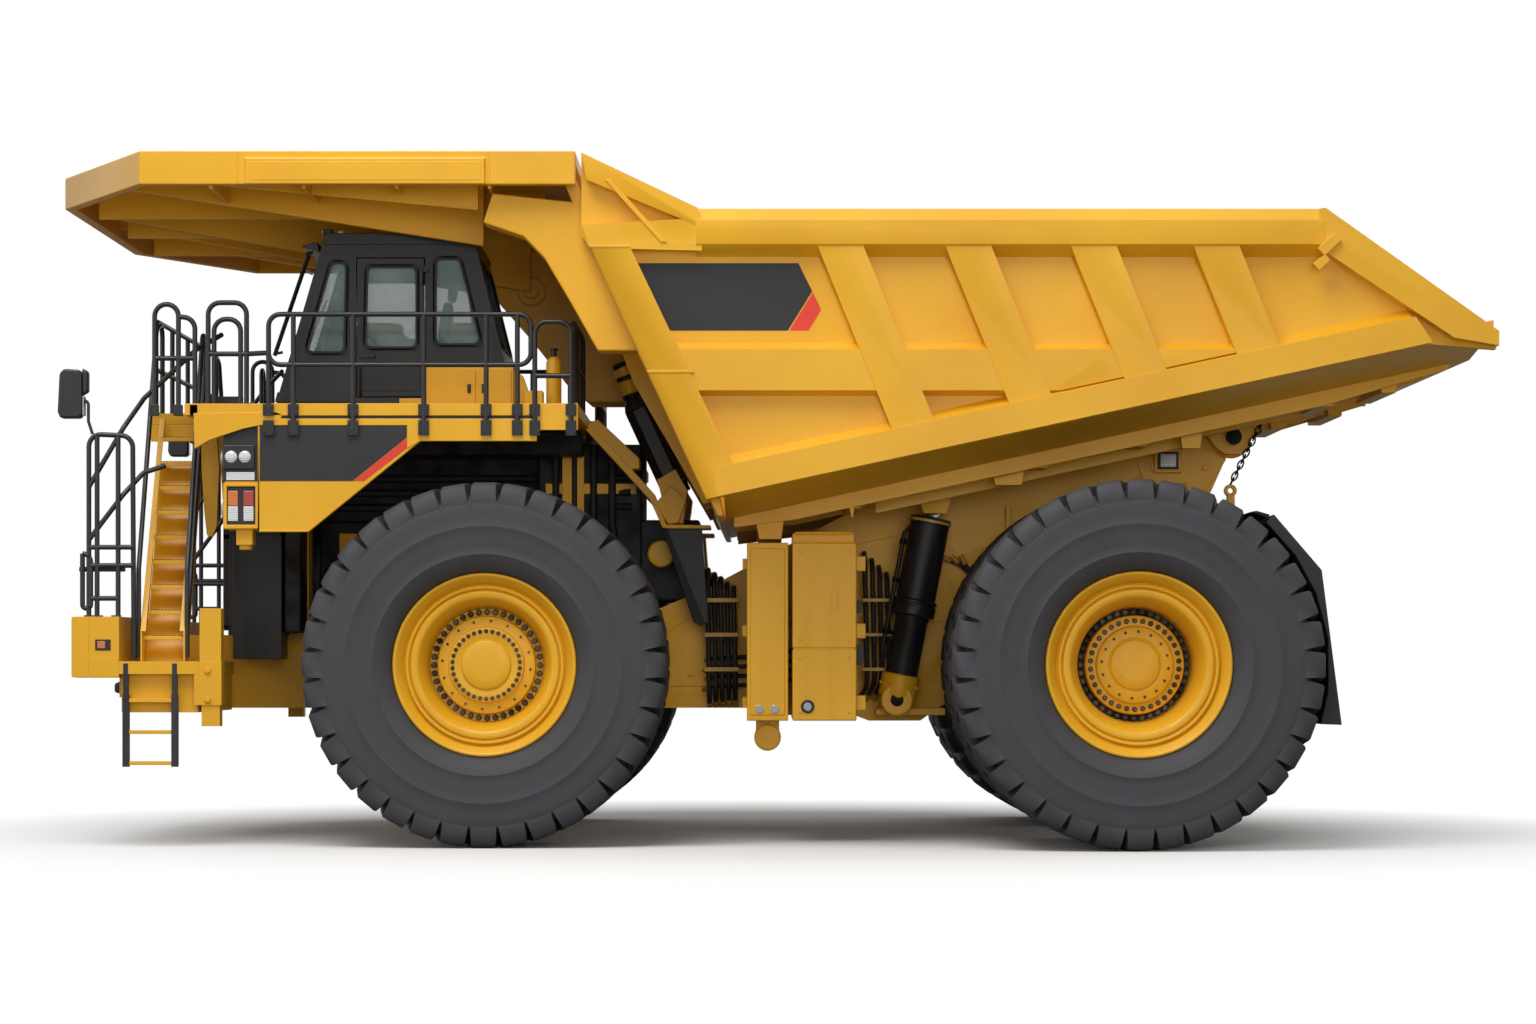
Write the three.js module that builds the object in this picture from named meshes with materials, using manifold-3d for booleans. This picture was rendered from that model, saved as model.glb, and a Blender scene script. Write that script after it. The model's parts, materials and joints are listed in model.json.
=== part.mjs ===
// Mining dump truck: rigid frame, two axles, tipping bed, cab on the left of the front deck.
// Millimetres, +Z up, front of the truck toward -X, its left side toward -Y.
// Distances "behind the front axle" grow toward the tail. The last group moves the origin
// to the ground under the middle of the overall length.
import * as THREE from "three";
import { mergeVertices } from "three/addons/utils/BufferGeometryUtils.js";
import Module from "manifold-3d";

const wasm = await Module();
wasm.setup();

// ---------------------------------------------------------------- driving dimensions

const seatGap = 0.3;              // between faces that rest on each other
const runningGap = 6;             // between faces that move past each other

// Wheels and axles
const wheelbase = 7085;
const tyreRadius = 2000;          // to the flat that stands on the ground
const tyreWidth = 1520;
const rimRadius = 1010;
const beadInset = 200;            // rim flange inside the tyre's side wall
const shoulderWidth = 140;
const wheelSegments = 32;
const kingpinY = 2000;
const frontWheelY = 3262;
const rearOuterY = 3985;
const rearInnerY = 2245;
const spindleRadius = 400;
const strutRadius = 280;
const strutRodRadius = 200;
const strutBottomZ = 2600;
const strutTopZ = 3650;
const steeringArmReach = 800;
const tieRodDrop = 750;           // tie rod below the axles
const tieRodRadius = 65;

// Frame
const railInnerY = 720;
const railOuterY = 1060;
const railDrop = 500;             // underside of the rails below the axles
const railTopZ = 2350;
const frameFront = -4000;         // rear face of the bumper beam
const padHeight = 95;             // pads between bed floor and frame
const engineDrop = 280;           // underside of the engine below the axles
const archFrontZ = 3100;          // underside of the rails over the rear axle
const archRearZ = 3300;

// Bed
const pivotBehindRearAxle = 1415;
const pivotZ = 4650;
const pivotPinRadius = 110;
const floorOverPivot = 232;       // underside of the floor above the pivot
const floorSlope = 0.2155;
const floorThickness = 120;
const floorRise = 200;            // how far the sides of the floor stand above its middle
const floorFlatY = 2900;          // half width of the flat middle of the floor
const bedHalfWidth = 4650;
const sideThickness = 150;
const railProud = 200;            // side rails and ribs stand out from the side panel
const bedAheadOfPivot = 5914;     // from the foot of the front wall to the pivot
const tailOverhang = 2440;        // tail behind the pivot
const bedTopZ = 6905;
const canopyTopZ = 7520;
const canopyFront = -4870;        // ahead of the front axle
const canopyInset = 90;           // canopy's edge inside the bed's side rails
const canopyLip = 360;
const canopyPlate = 130;
const frontWallThickness = 120;

// Hoist cylinders
const hoistY = 1700;
const hoistAheadOfPivot = 3923;   // from the lower pin to the bed's pivot
const hoistDrop = 400;            // lower pin below the axles
const hoistLean = THREE.MathUtils.degToRad(10.8);
const hoistLength = 2330;         // lower pin to rod eye, bed down
const hoistPinRadius = 90;
const hoistBarrelRadius = 235;
const hoistEyeHalf = 205;         // half width of the barrel's lower eye

// Front deck and cab
const deckTopZ = 4850;
const deckThickness = 130;
const deckHalfWidth = 3950;
const deckFront = -3890;
const deckRear = 1030;
const cabLeftY = 2900;
const cabRightY = 800;
const cabLift = 80;               // cab's underside above the deck
const cabHeight = 1880;
const cabWall = 80;
const doorGap = 12;
const glassThickness = 20;
const doorHingeRadius = 22;
const railTube = 28;              // radius of the handrail tube

// Bumper and stairs
const bumperFront = -4520;
const bumperHalfWidth = 3800;
const bumperBottomZ = 1860;
const bumperTopZ = 2530;
const walkwayTopZ = 2040;
const stairRear = -3300;
const stairFront = -3790;
const stairTreads = 9;

// ---------------------------------------------------------------- derived places

const rearAxleX = wheelbase;
const pivotX = rearAxleX + pivotBehindRearAxle;
const tailX = pivotX + tailOverhang;
const axleZ = tyreRadius;
const cabBaseZ = deckTopZ + cabLift;
const cabRoofZ = cabBaseZ + cabHeight;
const tieRodZ = axleZ - tieRodDrop;
const railBottomZ = axleZ - railDrop;
const engineBottomZ = axleZ - engineDrop;
const bedFront = pivotX - bedAheadOfPivot;        // foot of the front wall
const hoistFootX = pivotX - hoistAheadOfPivot;    // lower pin of the hoists
const hoistFootZ = axleZ - hoistDrop;
const canopyHalfWidth = bedHalfWidth - canopyInset;
const floorUndersideZ = (x) => pivotZ + floorOverPivot + floorSlope * (x - pivotX);
const frameTopZ = (x) => floorUndersideZ(x) - padHeight - runningGap;
const railLowerZ = (x) => floorUndersideZ(x) + floorRise;
const sidePanelY = bedHalfWidth - railProud;

// ---------------------------------------------------------------- finishes

const finish = (color, roughness, metalness) => new THREE.MeshStandardMaterial({ color, roughness, metalness });
const yellowPaint = finish(0xe5ac2e, 0.45, 0.1);
const blackPaint = finish(0x222326, 0.5, 0.1);
const rubber = finish(0x4a4a4f, 0.9, 0);
const glass = finish(0x7fa3a3, 0.1, 0);
const darkSteel = finish(0x35373a, 0.5, 0.7);
const seatFabric = finish(0x2a2b2e, 0.9, 0);

// ---------------------------------------------------------------- solids

/** Turns a closed three.js geometry into a solid with its faces pointing out. */
function solidOf(geometry) {
  const bare = geometry.clone();
  bare.deleteAttribute("normal");
  bare.deleteAttribute("uv");
  const merged = mergeVertices(bare, 1e-3);
  const corners = merged.index.array;
  const triangles = [];
  for (let i = 0; i < corners.length; i += 3) {
    const [a, b, c] = [corners[i], corners[i + 1], corners[i + 2]];
    if (a !== b && b !== c && c !== a) triangles.push(a, b, c);
  }
  const build = (order) => new wasm.Manifold(new wasm.Mesh({
    numProp: 3,
    vertProperties: new Float32Array(merged.attributes.position.array),
    triVerts: new Uint32Array(order),
  }));
  const solid = build(triangles);
  return solid.volume() > 0 ? solid : build(triangles.reverse());
}

const join = (...parts) => parts.flat().reduce((all, part) => all.add(part));
const cut = (body, ...tools) => tools.flat().reduce((left, tool) => left.subtract(tool), body);

/** A box between two opposite corners given as pairs along each axis. */
function box([x0, x1], [y0, y1], [z0, z1]) {
  const geometry = new THREE.BoxGeometry(Math.abs(x1 - x0), Math.abs(y1 - y0), Math.abs(z1 - z0));
  geometry.translate((x0 + x1) / 2, (y0 + y1) / 2, (z0 + z1) / 2);
  return solidOf(geometry);
}

/** Extrudes an outline; `basis` holds the directions of the outline's axes and of the extrusion. */
function prism(outline, from, to, basis) {
  const shape = new THREE.Shape(outline.map(([u, v]) => new THREE.Vector2(u, v)));
  const low = Math.min(from, to);
  const geometry = new THREE.ExtrudeGeometry(shape, { depth: Math.abs(to - from), bevelEnabled: false });
  geometry.translate(0, 0, low);
  geometry.applyMatrix4(new THREE.Matrix4().makeBasis(...basis));
  return solidOf(geometry);
}

const [axisX, axisY, axisZ] = [
  new THREE.Vector3(1, 0, 0), new THREE.Vector3(0, 1, 0), new THREE.Vector3(0, 0, 1),
];
const alongX = (outline, from, to) => prism(outline, from, to, [axisY, axisZ, axisX]);
const alongY = (outline, from, to) => prism(outline, from, to, [axisX, axisZ, axisY]);
const alongZ = (outline, from, to) => prism(outline, from, to, [axisX, axisY, axisZ]);

/** A round bar between two points. */
function bar(start, end, radius, sides = 16, endRadius = radius) {
  const [a, b] = [new THREE.Vector3(...start), new THREE.Vector3(...end)];
  const geometry = new THREE.CylinderGeometry(endRadius, radius, a.distanceTo(b), sides);
  const direction = b.clone().sub(a).normalize();
  geometry.applyQuaternion(new THREE.Quaternion().setFromUnitVectors(axisY, direction));
  const middle = a.add(b).multiplyScalar(0.5);
  geometry.translate(middle.x, middle.y, middle.z);
  return solidOf(geometry);
}

/** Bars through a list of points, joined. */
function railing(points, radius = railTube) {
  const bars = [];
  for (let i = 1; i < points.length; i += 1) bars.push(bar(points[i - 1], points[i], radius, 6));
  return join(bars);
}

/** A body of revolution about Y, with a flat of the given phase toward the ground. */
function turned(profile, segments = wheelSegments) {
  const grow = 1 / Math.cos(Math.PI / segments);
  const outline = profile.map(([radius, y]) => new THREE.Vector2(radius * grow, y));
  const geometry = new THREE.LatheGeometry(outline, segments);
  geometry.rotateY(Math.PI / segments);
  return solidOf(geometry);
}

/** Half of an outline given for one side, mirrored to both. */
const bothSides = (make) => [-1, 1].map((side) => make(side));

/** A named mesh of a solid. */
function node(name, solid, material) {
  const { vertProperties, triVerts } = solid.getMesh();
  const geometry = new THREE.BufferGeometry();
  geometry.setAttribute("position", new THREE.BufferAttribute(new Float32Array(vertProperties), 3));
  geometry.setIndex(new THREE.BufferAttribute(new Uint32Array(triVerts), 1));
  geometry.computeVertexNormals();
  const mesh = new THREE.Mesh(geometry, material);
  mesh.name = name;
  return mesh;
}

/** A group at a place, holding meshes made about their own origin. */
function placed(x, y, z, ...meshes) {
  const group = new THREE.Group();
  group.position.set(x, y, z);
  group.add(...meshes);
  return group;
}

const sideName = (side) => (side < 0 ? "left" : "right");

// ---------------------------------------------------------------- wheels

/** Tyre section between its beads, as radius and distance from its middle plane. */
function tyreSolid() {
  const half = tyreWidth / 2;
  const bead = half - beadInset;
  const [wallFoot, shoulder] = [rimRadius + 230, tyreRadius - 200];
  return turned([
    [rimRadius + seatGap, -bead], [wallFoot, -half], [shoulder, -half],
    [tyreRadius, -half + shoulderWidth], [tyreRadius, half - shoulderWidth], [shoulder, half],
    [wallFoot, half], [rimRadius + seatGap, bead], [rimRadius + seatGap, -bead],
  ]);
}

const flange = tyreWidth / 2 - beadInset;   // rim flange from the tyre's middle plane

/** Front rim: open toward the truck for the spindle, stepped on its outer face. */
function frontRimSolid(side) {
  const seat = -(frontWheelY - 3000);
  const profile = [
    [0, 330], [280, 330], [300, 290], [540, 290], [560, 180], [740, 180], [800, flange],
    [rimRadius, flange], [rimRadius, -flange], [880, -flange], [860, seat], [0, seat],
  ];
  return turned(profile.map(([radius, y]) => [radius, y * side]));
}

/** Rear rims of one twin wheel, one behind the other, about the outer tyre's middle plane. */
function rearRimSolid(side) {
  const apart = rearOuterY - rearInnerY;
  const seat = -(rearOuterY - 2000);
  const profile = [
    [0, 150], [280, 150], [300, 110], [540, 110], [560, -40], [740, -40], [800, flange],
    [rimRadius, flange], [rimRadius, -flange], [900, -flange], [900, flange - apart],
    [rimRadius, flange - apart], [rimRadius, -flange - apart], [900, -flange - apart], [880, seat], [0, seat],
  ];
  return turned(profile.map(([radius, y]) => [radius, y * side]));
}

function frontWheel(side) {
  const name = sideName(side);
  return placed(0, side * frontWheelY, axleZ,
    node(`front_${name}_tyre`, tyreSolid(), rubber),
    node(`front_${name}_rim`, frontRimSolid(side), yellowPaint));
}

function rearWheel(side) {
  const name = sideName(side);
  const inner = node(`rear_${name}_inner_tyre`, tyreSolid(), rubber);
  inner.position.y = -side * (rearOuterY - rearInnerY);
  return placed(rearAxleX, side * rearOuterY, axleZ,
    node(`rear_${name}_outer_tyre`, tyreSolid(), rubber),
    inner,
    node(`rear_${name}_rim`, rearRimSolid(side), yellowPaint));
}

// ---------------------------------------------------------------- front suspension and steering

/** Knuckle about the kingpin: post, spindle and steering arm. */
function knuckleSolid(side) {
  const armZ = tieRodZ - axleZ;
  const spindleEnd = side * (3000 - kingpinY - seatGap);
  return join(
    bar([0, 0, armZ - 90], [0, 0, strutBottomZ - axleZ - seatGap], strutRodRadius, 16),
    bar([0, 0, -380], [0, 0, 380], 330, 16),
    bar([0, 0, 0], [0, side * 500, 0], spindleRadius - 40, 16),
    bar([0, side * 400, 0], [0, spindleEnd, 0], spindleRadius, 16),
    box([0, steeringArmReach], [-110, 110], [armZ - 90, armZ + 20]),
    bar([steeringArmReach, 0, armZ - 90], [steeringArmReach, 0, armZ + 20], 150, 16),
  );
}

/** Upper strut, bolted to the frame rail through its bracket. */
function strutSolid(side) {
  return join(
    bar([0, side * kingpinY, strutBottomZ], [0, side * kingpinY, strutTopZ], strutRadius, 16),
    box([-330, 330], [side * (railOuterY + seatGap), side * (kingpinY - 150)], [2780, 3450]),
    box([-330, 330], [side * (railInnerY), side * (railOuterY + 60)], [railTopZ + seatGap, 3450]),
  );
}

/** Tie rod between the two steering arms, opened at the right-hand pin. */
function tieRodSolid() {
  const z = tieRodZ + 20 + seatGap + 70;
  const half = kingpinY;
  return join(
    bar([steeringArmReach, -half, z], [steeringArmReach, half, z], tieRodRadius, 16),
    ...bothSides((side) => bar(
      [steeringArmReach, side * half, z - 70], [steeringArmReach, side * half, z + 90], 120, 16)),
  );
}

// ---------------------------------------------------------------- frame

function frameRail(side) {
  const arc = [60, 20, -20, -60, -100].map((degrees) => {
    const angle = THREE.MathUtils.degToRad(degrees);
    return [pivotX + 195 * Math.cos(angle), pivotZ + 195 * Math.sin(angle)];
  });
  const outline = [
    [frameFront + seatGap, railBottomZ + 350], [frameFront + seatGap, railTopZ],
    [1100, railTopZ], [2400, 2900], [hoistFootX - 400, frameTopZ(hoistFootX - 400)],
    [pivotX - 400, frameTopZ(pivotX - 400)], [pivotX - 100, pivotZ + 165],
    ...arc,
    [pivotX - 350, 3750], [rearAxleX + 800, archRearZ], [rearAxleX - 900, archFrontZ], [hoistFootX + 850, 2600],
    [hoistFootX + 800, 1700], [hoistFootX + 300, railBottomZ - 150], [hoistFootX - 300, railBottomZ - 150],
    [hoistFootX - 700, railBottomZ], [-3500, railBottomZ],
  ];
  return alongY(outline, side * railInnerY, side * railOuterY);
}

const tankFront = 2865;
const tankRear = 4085;
const tankInnerY = 1550;
const tankOuterY = 3150;
const tankBottomZ = 1380;
const tankTopZ = 3360;

function tankBracket(side, z) {
  const y = [side * (railOuterY - 20), side * (tankInnerY - seatGap)];
  return box([tankFront + 100, tankRear - 100], y, [z, z + 140]);
}

function mainFrameSolid() {
  const inner = railInnerY + 20;
  const across = (x, z) => box(x, [-inner, inner], z);
  const bossY = hoistY - hoistEyeHalf - runningGap;
  return join(
    bothSides(frameRail),
    across([frameFront + 150, frameFront + 550], [1750, 2250]),
    across([-2150, -1950], [railBottomZ, engineBottomZ - seatGap]),
    across([-200, 50], [railBottomZ, engineBottomZ - seatGap]),
    across([1250, 1600], [railBottomZ, railBottomZ + 250]),
    across([hoistFootX - 1350, hoistFootX - 1050], [2700, 3300]),
    across([pivotX - 900, pivotX - 600], [3800, 4300]),
    bar([hoistFootX, -bossY, hoistFootZ], [hoistFootX, bossY, hoistFootZ], 190, 20),
    bar([hoistFootX, -hoistY - hoistEyeHalf, hoistFootZ], [hoistFootX, hoistY + hoistEyeHalf, hoistFootZ],
      hoistPinRadius, 32),
    bar([pivotX, -railOuterY - 290, pivotZ], [pivotX, railOuterY + 290, pivotZ], pivotPinRadius, 32),
    bothSides((side) => [tankBracket(side, tankBottomZ + 170), tankBracket(side, 2500)]).flat(),
    bothSides((side) => box(
      [-2490, -2260], [side * railInnerY, side * railOuterY], [railTopZ - 20, deckTopZ - deckThickness - seatGap])),
    bothSides((side) => box(
      [700, 950], [side * railInnerY, side * railOuterY], [railTopZ - 20, deckTopZ - deckThickness - seatGap])),
  );
}

// ---------------------------------------------------------------- rear axle and driveline

function rearAxleSolid() {
  const hub = 2000 - seatGap;
  return join(
    bar([0, -hub, 0], [0, hub, 0], 480, 24),
    bar([0, -620, 0], [0, 620, 0], 760, 24),
    box([-1500, -500], [-330, 330], [-280, 280]),
    bothSides((side) => box([200, 900], [side * railInnerY, side * railOuterY], [-150, 150])),
  );
}

const rearStrutX = 700;

function rearStrutSolid(side) {
  const y = side * (railInnerY + railOuterY) / 2;
  const rodRadius = 120;
  const seat = archFrontZ + (archRearZ - archFrontZ) * (rearStrutX - rodRadius + 900) / 1700;
  return join(
    bar([rearStrutX, y, 150 + seatGap], [rearStrutX, y, 800], 160, 20),
    bar([rearStrutX, y, 700], [rearStrutX, y, seat - seatGap - axleZ], rodRadius, 20),
  );
}

function driveLineSolid() {
  const rear = rearAxleX - 1500 - seatGap;
  return join(
    bar([400 + seatGap, 0, axleZ], [rear, 0, axleZ], 110, 16),
    box([3300, 4900], [-420, 420], [axleZ - 180, axleZ + 450]),
  );
}

const engineSolid = () => box([-2200, 400], [-610, 610], [engineBottomZ, 3700]);

function radiatorSolid() {
  return join(
    box([-3100, -2520], [-1650, 1650], [railTopZ + seatGap, deckTopZ - 250]),
    box([-3150, -3090], [-1500, 1500], [railTopZ + 100, deckTopZ - 350]),
    bothSides((side) => box([-3060, -2500], [side * 1120, side * 1662], [railTopZ - 280, railTopZ + 1150])),
  );
}

// ---------------------------------------------------------------- tanks

function leftTankSolids() {
  const z = [tankBottomZ, tankTopZ];
  const pipeZ = tankBottomZ - 190;
  return {
    front: join(
      box([tankFront, tankFront + 460], [-tankOuterY, -tankInnerY], z),
      bar([tankFront + 230, -2900, pipeZ], [tankFront + 230, -2500, pipeZ], 150, 20),
      box([tankFront + 100, tankFront + 360], [-2850, -2550], [z[0] - 150, z[0] + 10])),
    rear: join(
      box([tankFront + 505, tankRear], [-tankOuterY, -tankInnerY], z),
      box([tankFront + 505, tankRear - 20], [-3050, -tankInnerY - 60], [z[1] - 10, z[1] + 110])),
  };
}

function fuelTankSolid() {
  const outline = [
    [tankInnerY, tankBottomZ], [tankOuterY - 200, tankBottomZ], [tankOuterY, tankBottomZ + 220],
    [tankOuterY, tankTopZ - 260], [tankOuterY - 200, tankTopZ], [tankInnerY, tankTopZ],
  ];
  return alongX(outline, tankFront, tankRear);
}

// ---------------------------------------------------------------- bed

/** Moves every point up by its distance behind the pivot times the floor's slope. */
function slopedAlongX(section, from, to) {
  const slope = new THREE.Vector3(1, 0, floorSlope);
  return prism(section, from - pivotX, to - pivotX, [axisY, axisZ, slope]);
}

function bedFloorSolid() {
  const wallY = sidePanelY - sideThickness - seatGap;
  const section = [
    [-wallY, floorRise], [-floorFlatY, 0], [floorFlatY, 0], [wallY, floorRise],
    [wallY, floorRise + floorThickness], [floorFlatY, floorThickness], [-floorFlatY, floorThickness],
    [-wallY, floorRise + floorThickness],
  ];
  const front = bedFront + 40;
  const floor = slopedAlongX(section, front, tailX).translate([pivotX, 0, pivotZ + floorOverPivot]);
  const beam = (y0, y1, from, to, depth) => {
    const outline = [
      [from, floorUndersideZ(from) + 60], [from, floorUndersideZ(from) - depth],
      [to, floorUndersideZ(to) - depth], [to, floorUndersideZ(to) + 60],
    ];
    return alongY(outline, y0, y1);
  };
  const pads = bothSides((side) => beam(
    side * (railInnerY + 20), side * (railOuterY - 20), hoistFootX - 300, pivotX - 700, padHeight));
  const ribs = bothSides((side) => beam(side * 2150, side * 2250, front + 1700, pivotX - 500, 260));
  const lugs = bothSides((side) => {
    const outline = [
      [pivotX - 420, floorUndersideZ(pivotX - 420) + 60], [pivotX - 190, pivotZ - 130],
      [pivotX - 80, pivotZ - 200], [pivotX + 80, pivotZ - 200], [pivotX + 190, pivotZ - 110],
      [pivotX + 330, floorUndersideZ(pivotX + 330) + 60],
    ];
    return alongY(outline, side * (railOuterY + runningGap), side * (railOuterY + 230));
  });
  const eyes = bothSides((side) => [1, -1].map((hand) => {
    const middle = side * hoistY + hand * 155;
    return alongY([
      [hoistEyeX - 230, floorUndersideZ(hoistEyeX - 230) + 60], [hoistEyeX - 130, hoistEyeZ - 150],
      [hoistEyeX + 130, hoistEyeZ - 150], [hoistEyeX + 300, floorUndersideZ(hoistEyeX + 300) + 60],
    ], middle - 20, middle + 20);
  })).flat();
  const pinHole = bar([pivotX, -bedHalfWidth, pivotZ], [pivotX, bedHalfWidth, pivotZ],
    (pivotPinRadius + seatGap) / Math.cos(Math.PI / 32), 32);
  return cut(join(floor, pads, ribs, lugs, eyes), pinHole);
}

const hoistEyeX = hoistFootX + hoistLength * Math.sin(hoistLean);
const hoistEyeZ = hoistFootZ + hoistLength * Math.cos(hoistLean);

// Corner points of the bed's side, as distance behind the front axle and height.
const slopeTop = [1090, canopyTopZ - 20];
const slopeFoot = [2320, bedTopZ];
const postTopX = 1172;
const rearCorner = [tailX - 1870, bedTopZ];
const railTopBandZ = 6509;
const midRail = [4945, 5384];
const ribTops = [3610, 4980, 6325, 7640];
const ribWidth = 490;
const ribLean = Math.tan(THREE.MathUtils.degToRad(22.5));
const bottomRailHeight = 320;

function bedSideSolid(side) {
  const inner = side * (sidePanelY - sideThickness);
  const panel = side * sidePanelY;
  const front = bedFront - 150;
  const upper = (x) => railLowerZ(x) + bottomRailHeight;
  const lower = (x) => railLowerZ(x) + 4;
  const rearEdge = [tailX, 5577];
  const proud = (outline, back) => alongY(outline, panel - side * 20, side * (bedHalfWidth - back));
  const panelOutline = [
    slopeTop, slopeFoot, rearCorner, rearEdge, [tailX, 5400], [tailX - 718, railLowerZ(tailX - 718)],
    [front, railLowerZ(front)], [postTopX, 6500], [slopeTop[0], 6620],
  ];
  const topRail = alongX([
    [panel - side * 20, bedTopZ - 3], [side * (bedHalfWidth - 130), bedTopZ - 3],
    [side * bedHalfWidth, bedTopZ - 139],
    [side * bedHalfWidth, railTopBandZ], [panel - side * 20, railTopBandZ - 130],
  ], slopeFoot[0] + 10, rearCorner[0] - 10);
  const slopeRail = proud([
    [slopeTop[0] + 8, slopeTop[1] - 8], [slopeFoot[0] + 30, bedTopZ - 8], [slopeFoot[0] + 60, bedTopZ - 210],
    [slopeTop[0] + 68, canopyTopZ - 320],
  ], 8);
  const shelf = proud([
    [slopeTop[0] + 16, 6720], [slopeFoot[0] + 70, 6790], [slopeFoot[0] + 70, 6440], [postTopX + 12, 6470],
  ], 12);
  const rearRail = proud([
    [rearCorner[0] - 60, bedTopZ - 16], [rearCorner[0] + 4, bedTopZ - 6], [rearEdge[0] - 6, rearEdge[1] + 2],
    [tailX - 6, 5424], [tailX - 486, lower(tailX - 486)], [rearCorner[0] - 60, 6470],
  ], 5);
  const post = proud([
    [postTopX + 6, 6530], [postTopX + 426, 6530],
    [front + 428, lower(front + 428)], [front + 8, lower(front)],
  ], 16);
  const bottomRail = proud([
    [bedFront - 30, lower(bedFront - 30)], [tailX - 718, lower(tailX - 718)], [tailX - 900, upper(tailX - 900)],
    [bedFront - 80, upper(bedFront - 80)],
  ], 0);
  const midEnd = (z) => bedFront + (z - upper(bedFront) - 30) / floorSlope;
  const midRailSolid = proud([
    [front - 560, midRail[1]], [midEnd(midRail[1]), midRail[1]], [midEnd(midRail[0]), midRail[0]],
    [front - 380, midRail[0]],
  ], 34);
  const ribs = ribTops.map((x) => {
    const foot = upper(x + 700) - 60;
    const lean = (railTopBandZ - foot) * ribLean;
    return proud([
      [x, railTopBandZ + 40], [x + ribWidth, railTopBandZ + 40], [x + ribWidth + lean, foot], [x + lean, foot],
    ], 22);
  });
  return join(
    alongY(panelOutline, inner, panel), topRail, slopeRail, shelf, rearRail, post, bottomRail, midRailSolid,
    ribs,
  );
}

function bedFrontWallSolid() {
  const wallY = sidePanelY - sideThickness - seatGap;
  const foot = [bedFront - 30, floorUndersideZ(bedFront)];
  const knee = [1150, 6600];
  const head = [820, canopyTopZ - canopyPlate - seatGap];
  const footHeight = 330;
  const wall = alongY([
    foot, knee, head, [head[0] + frontWallThickness + 30, head[1]],
    [knee[0] + frontWallThickness + 15, knee[1]],
    [bedFront + 40 - seatGap - footHeight * floorSlope, foot[1] + footHeight],
    [bedFront + 40 - seatGap, foot[1]],
  ], -wallY, wallY);
  const beams = bothSides((side) => alongY([
    [20, 6780], [455, 6630], [680, 6400], [970, 5910], [1260, 5395], [1760, 5395],
    [1540, 5910], [1240, 6520], [1040, 7000], [120, 7100],
  ], side * (wallY - 420), side * wallY));
  return join(wall, beams);
}

function canopySolid() {
  const rear = slopeTop[0] - 60;
  const cornerX = -3650;
  const frontHalf = 2300;
  const outline = [
    [canopyFront, -frontHalf], [cornerX, -canopyHalfWidth], [rear, -canopyHalfWidth],
    [rear, canopyHalfWidth], [cornerX, canopyHalfWidth], [canopyFront, frontHalf],
  ];
  const inset = 130;
  const innerOutline = [
    [canopyFront + inset, -frontHalf + 40], [cornerX + 60, -canopyHalfWidth + inset],
    [rear + 300, -canopyHalfWidth + inset], [rear + 300, canopyHalfWidth - inset],
    [cornerX + 60, canopyHalfWidth - inset], [canopyFront + inset, frontHalf - 40],
  ];
  const slab = cut(
    alongZ(outline, canopyTopZ - canopyLip, canopyTopZ),
    alongZ(innerOutline, canopyTopZ - canopyLip - 50, canopyTopZ - canopyPlate),
  );
  const rib = (y, thickness, frontX, frontDepth, rearX, rearDepth) => bothSides((side) => alongY([
    [frontX, canopyTopZ - 100], [frontX, canopyTopZ - frontDepth],
    [rearX, canopyTopZ - rearDepth], [rearX, canopyTopZ - 100],
  ], side * y, side * (y + thickness)));
  const doubler = bothSides((side) => box(
    [-2510, 60], [side * (canopyHalfWidth - 20), side * (canopyHalfWidth + 40)],
    [canopyTopZ - canopyLip, canopyTopZ - 80]));
  return join(
    slab,
    rib(3820, 90, -3400, 240, -60, 560),
    rib(3020, 110, -4000, 240, -60, 860),
    rib(500, 110, canopyFront + 60, 220, 300, 1120),
    doubler,
  );
}

// ---------------------------------------------------------------- hoists

/** Barrel of a hoist about its lower pin, along +Z before it leans. */
function hoistBarrelSolid() {
  const eyeHole = bar([0, -300, 0], [0, 300, 0], (hoistPinRadius + seatGap) / Math.cos(Math.PI / 32), 32);
  const bore = bar([0, 0, 420], [0, 0, hoistLength], 175, 24);
  const body = join(
    bar([0, -hoistEyeHalf, 0], [0, hoistEyeHalf, 0], 185, 20),
    bar([0, 0, 60], [0, 0, 1050], 200, 20),
    bar([0, 0, 960], [0, 0, 1160], 255, 20),
    bar([0, 0, 1120], [0, 0, 2130], hoistBarrelRadius, 20),
  );
  return cut(body, bore, eyeHole);
}

function hoistStageSolid() {
  const outside = bar([0, 0, 440], [0, 0, 2140], 174.5, 24);
  return cut(outside, bar([0, 0, 560], [0, 0, 2400], 121, 24));
}

function hoistRodSolid() {
  return join(
    bar([0, 0, 580], [0, 0, hoistLength - 100], 120.4, 24),
    bar([0, -125, hoistLength], [0, 125, hoistLength], 130, 24),
  );
}

function hoist(side) {
  const name = sideName(side);
  const group = placed(hoistFootX, side * hoistY, hoistFootZ,
    node(`hoist_barrel_${name}`, hoistBarrelSolid(), blackPaint),
    node(`hoist_stage_${name}`, hoistStageSolid(), darkSteel),
    node(`hoist_rod_${name}`, hoistRodSolid(), darkSteel));
  group.rotation.y = hoistLean;
  return group;
}

// ---------------------------------------------------------------- front deck

const fenderRear = -690;
const headlampFront = -2830;
const fenderFront = -2460;
const fasciaHeight = 410;         // fascia below the deck's top
const fenderHeight = 1400;        // fender's foot below the deck's top
const guardTopZ = deckTopZ - 1230;

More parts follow.
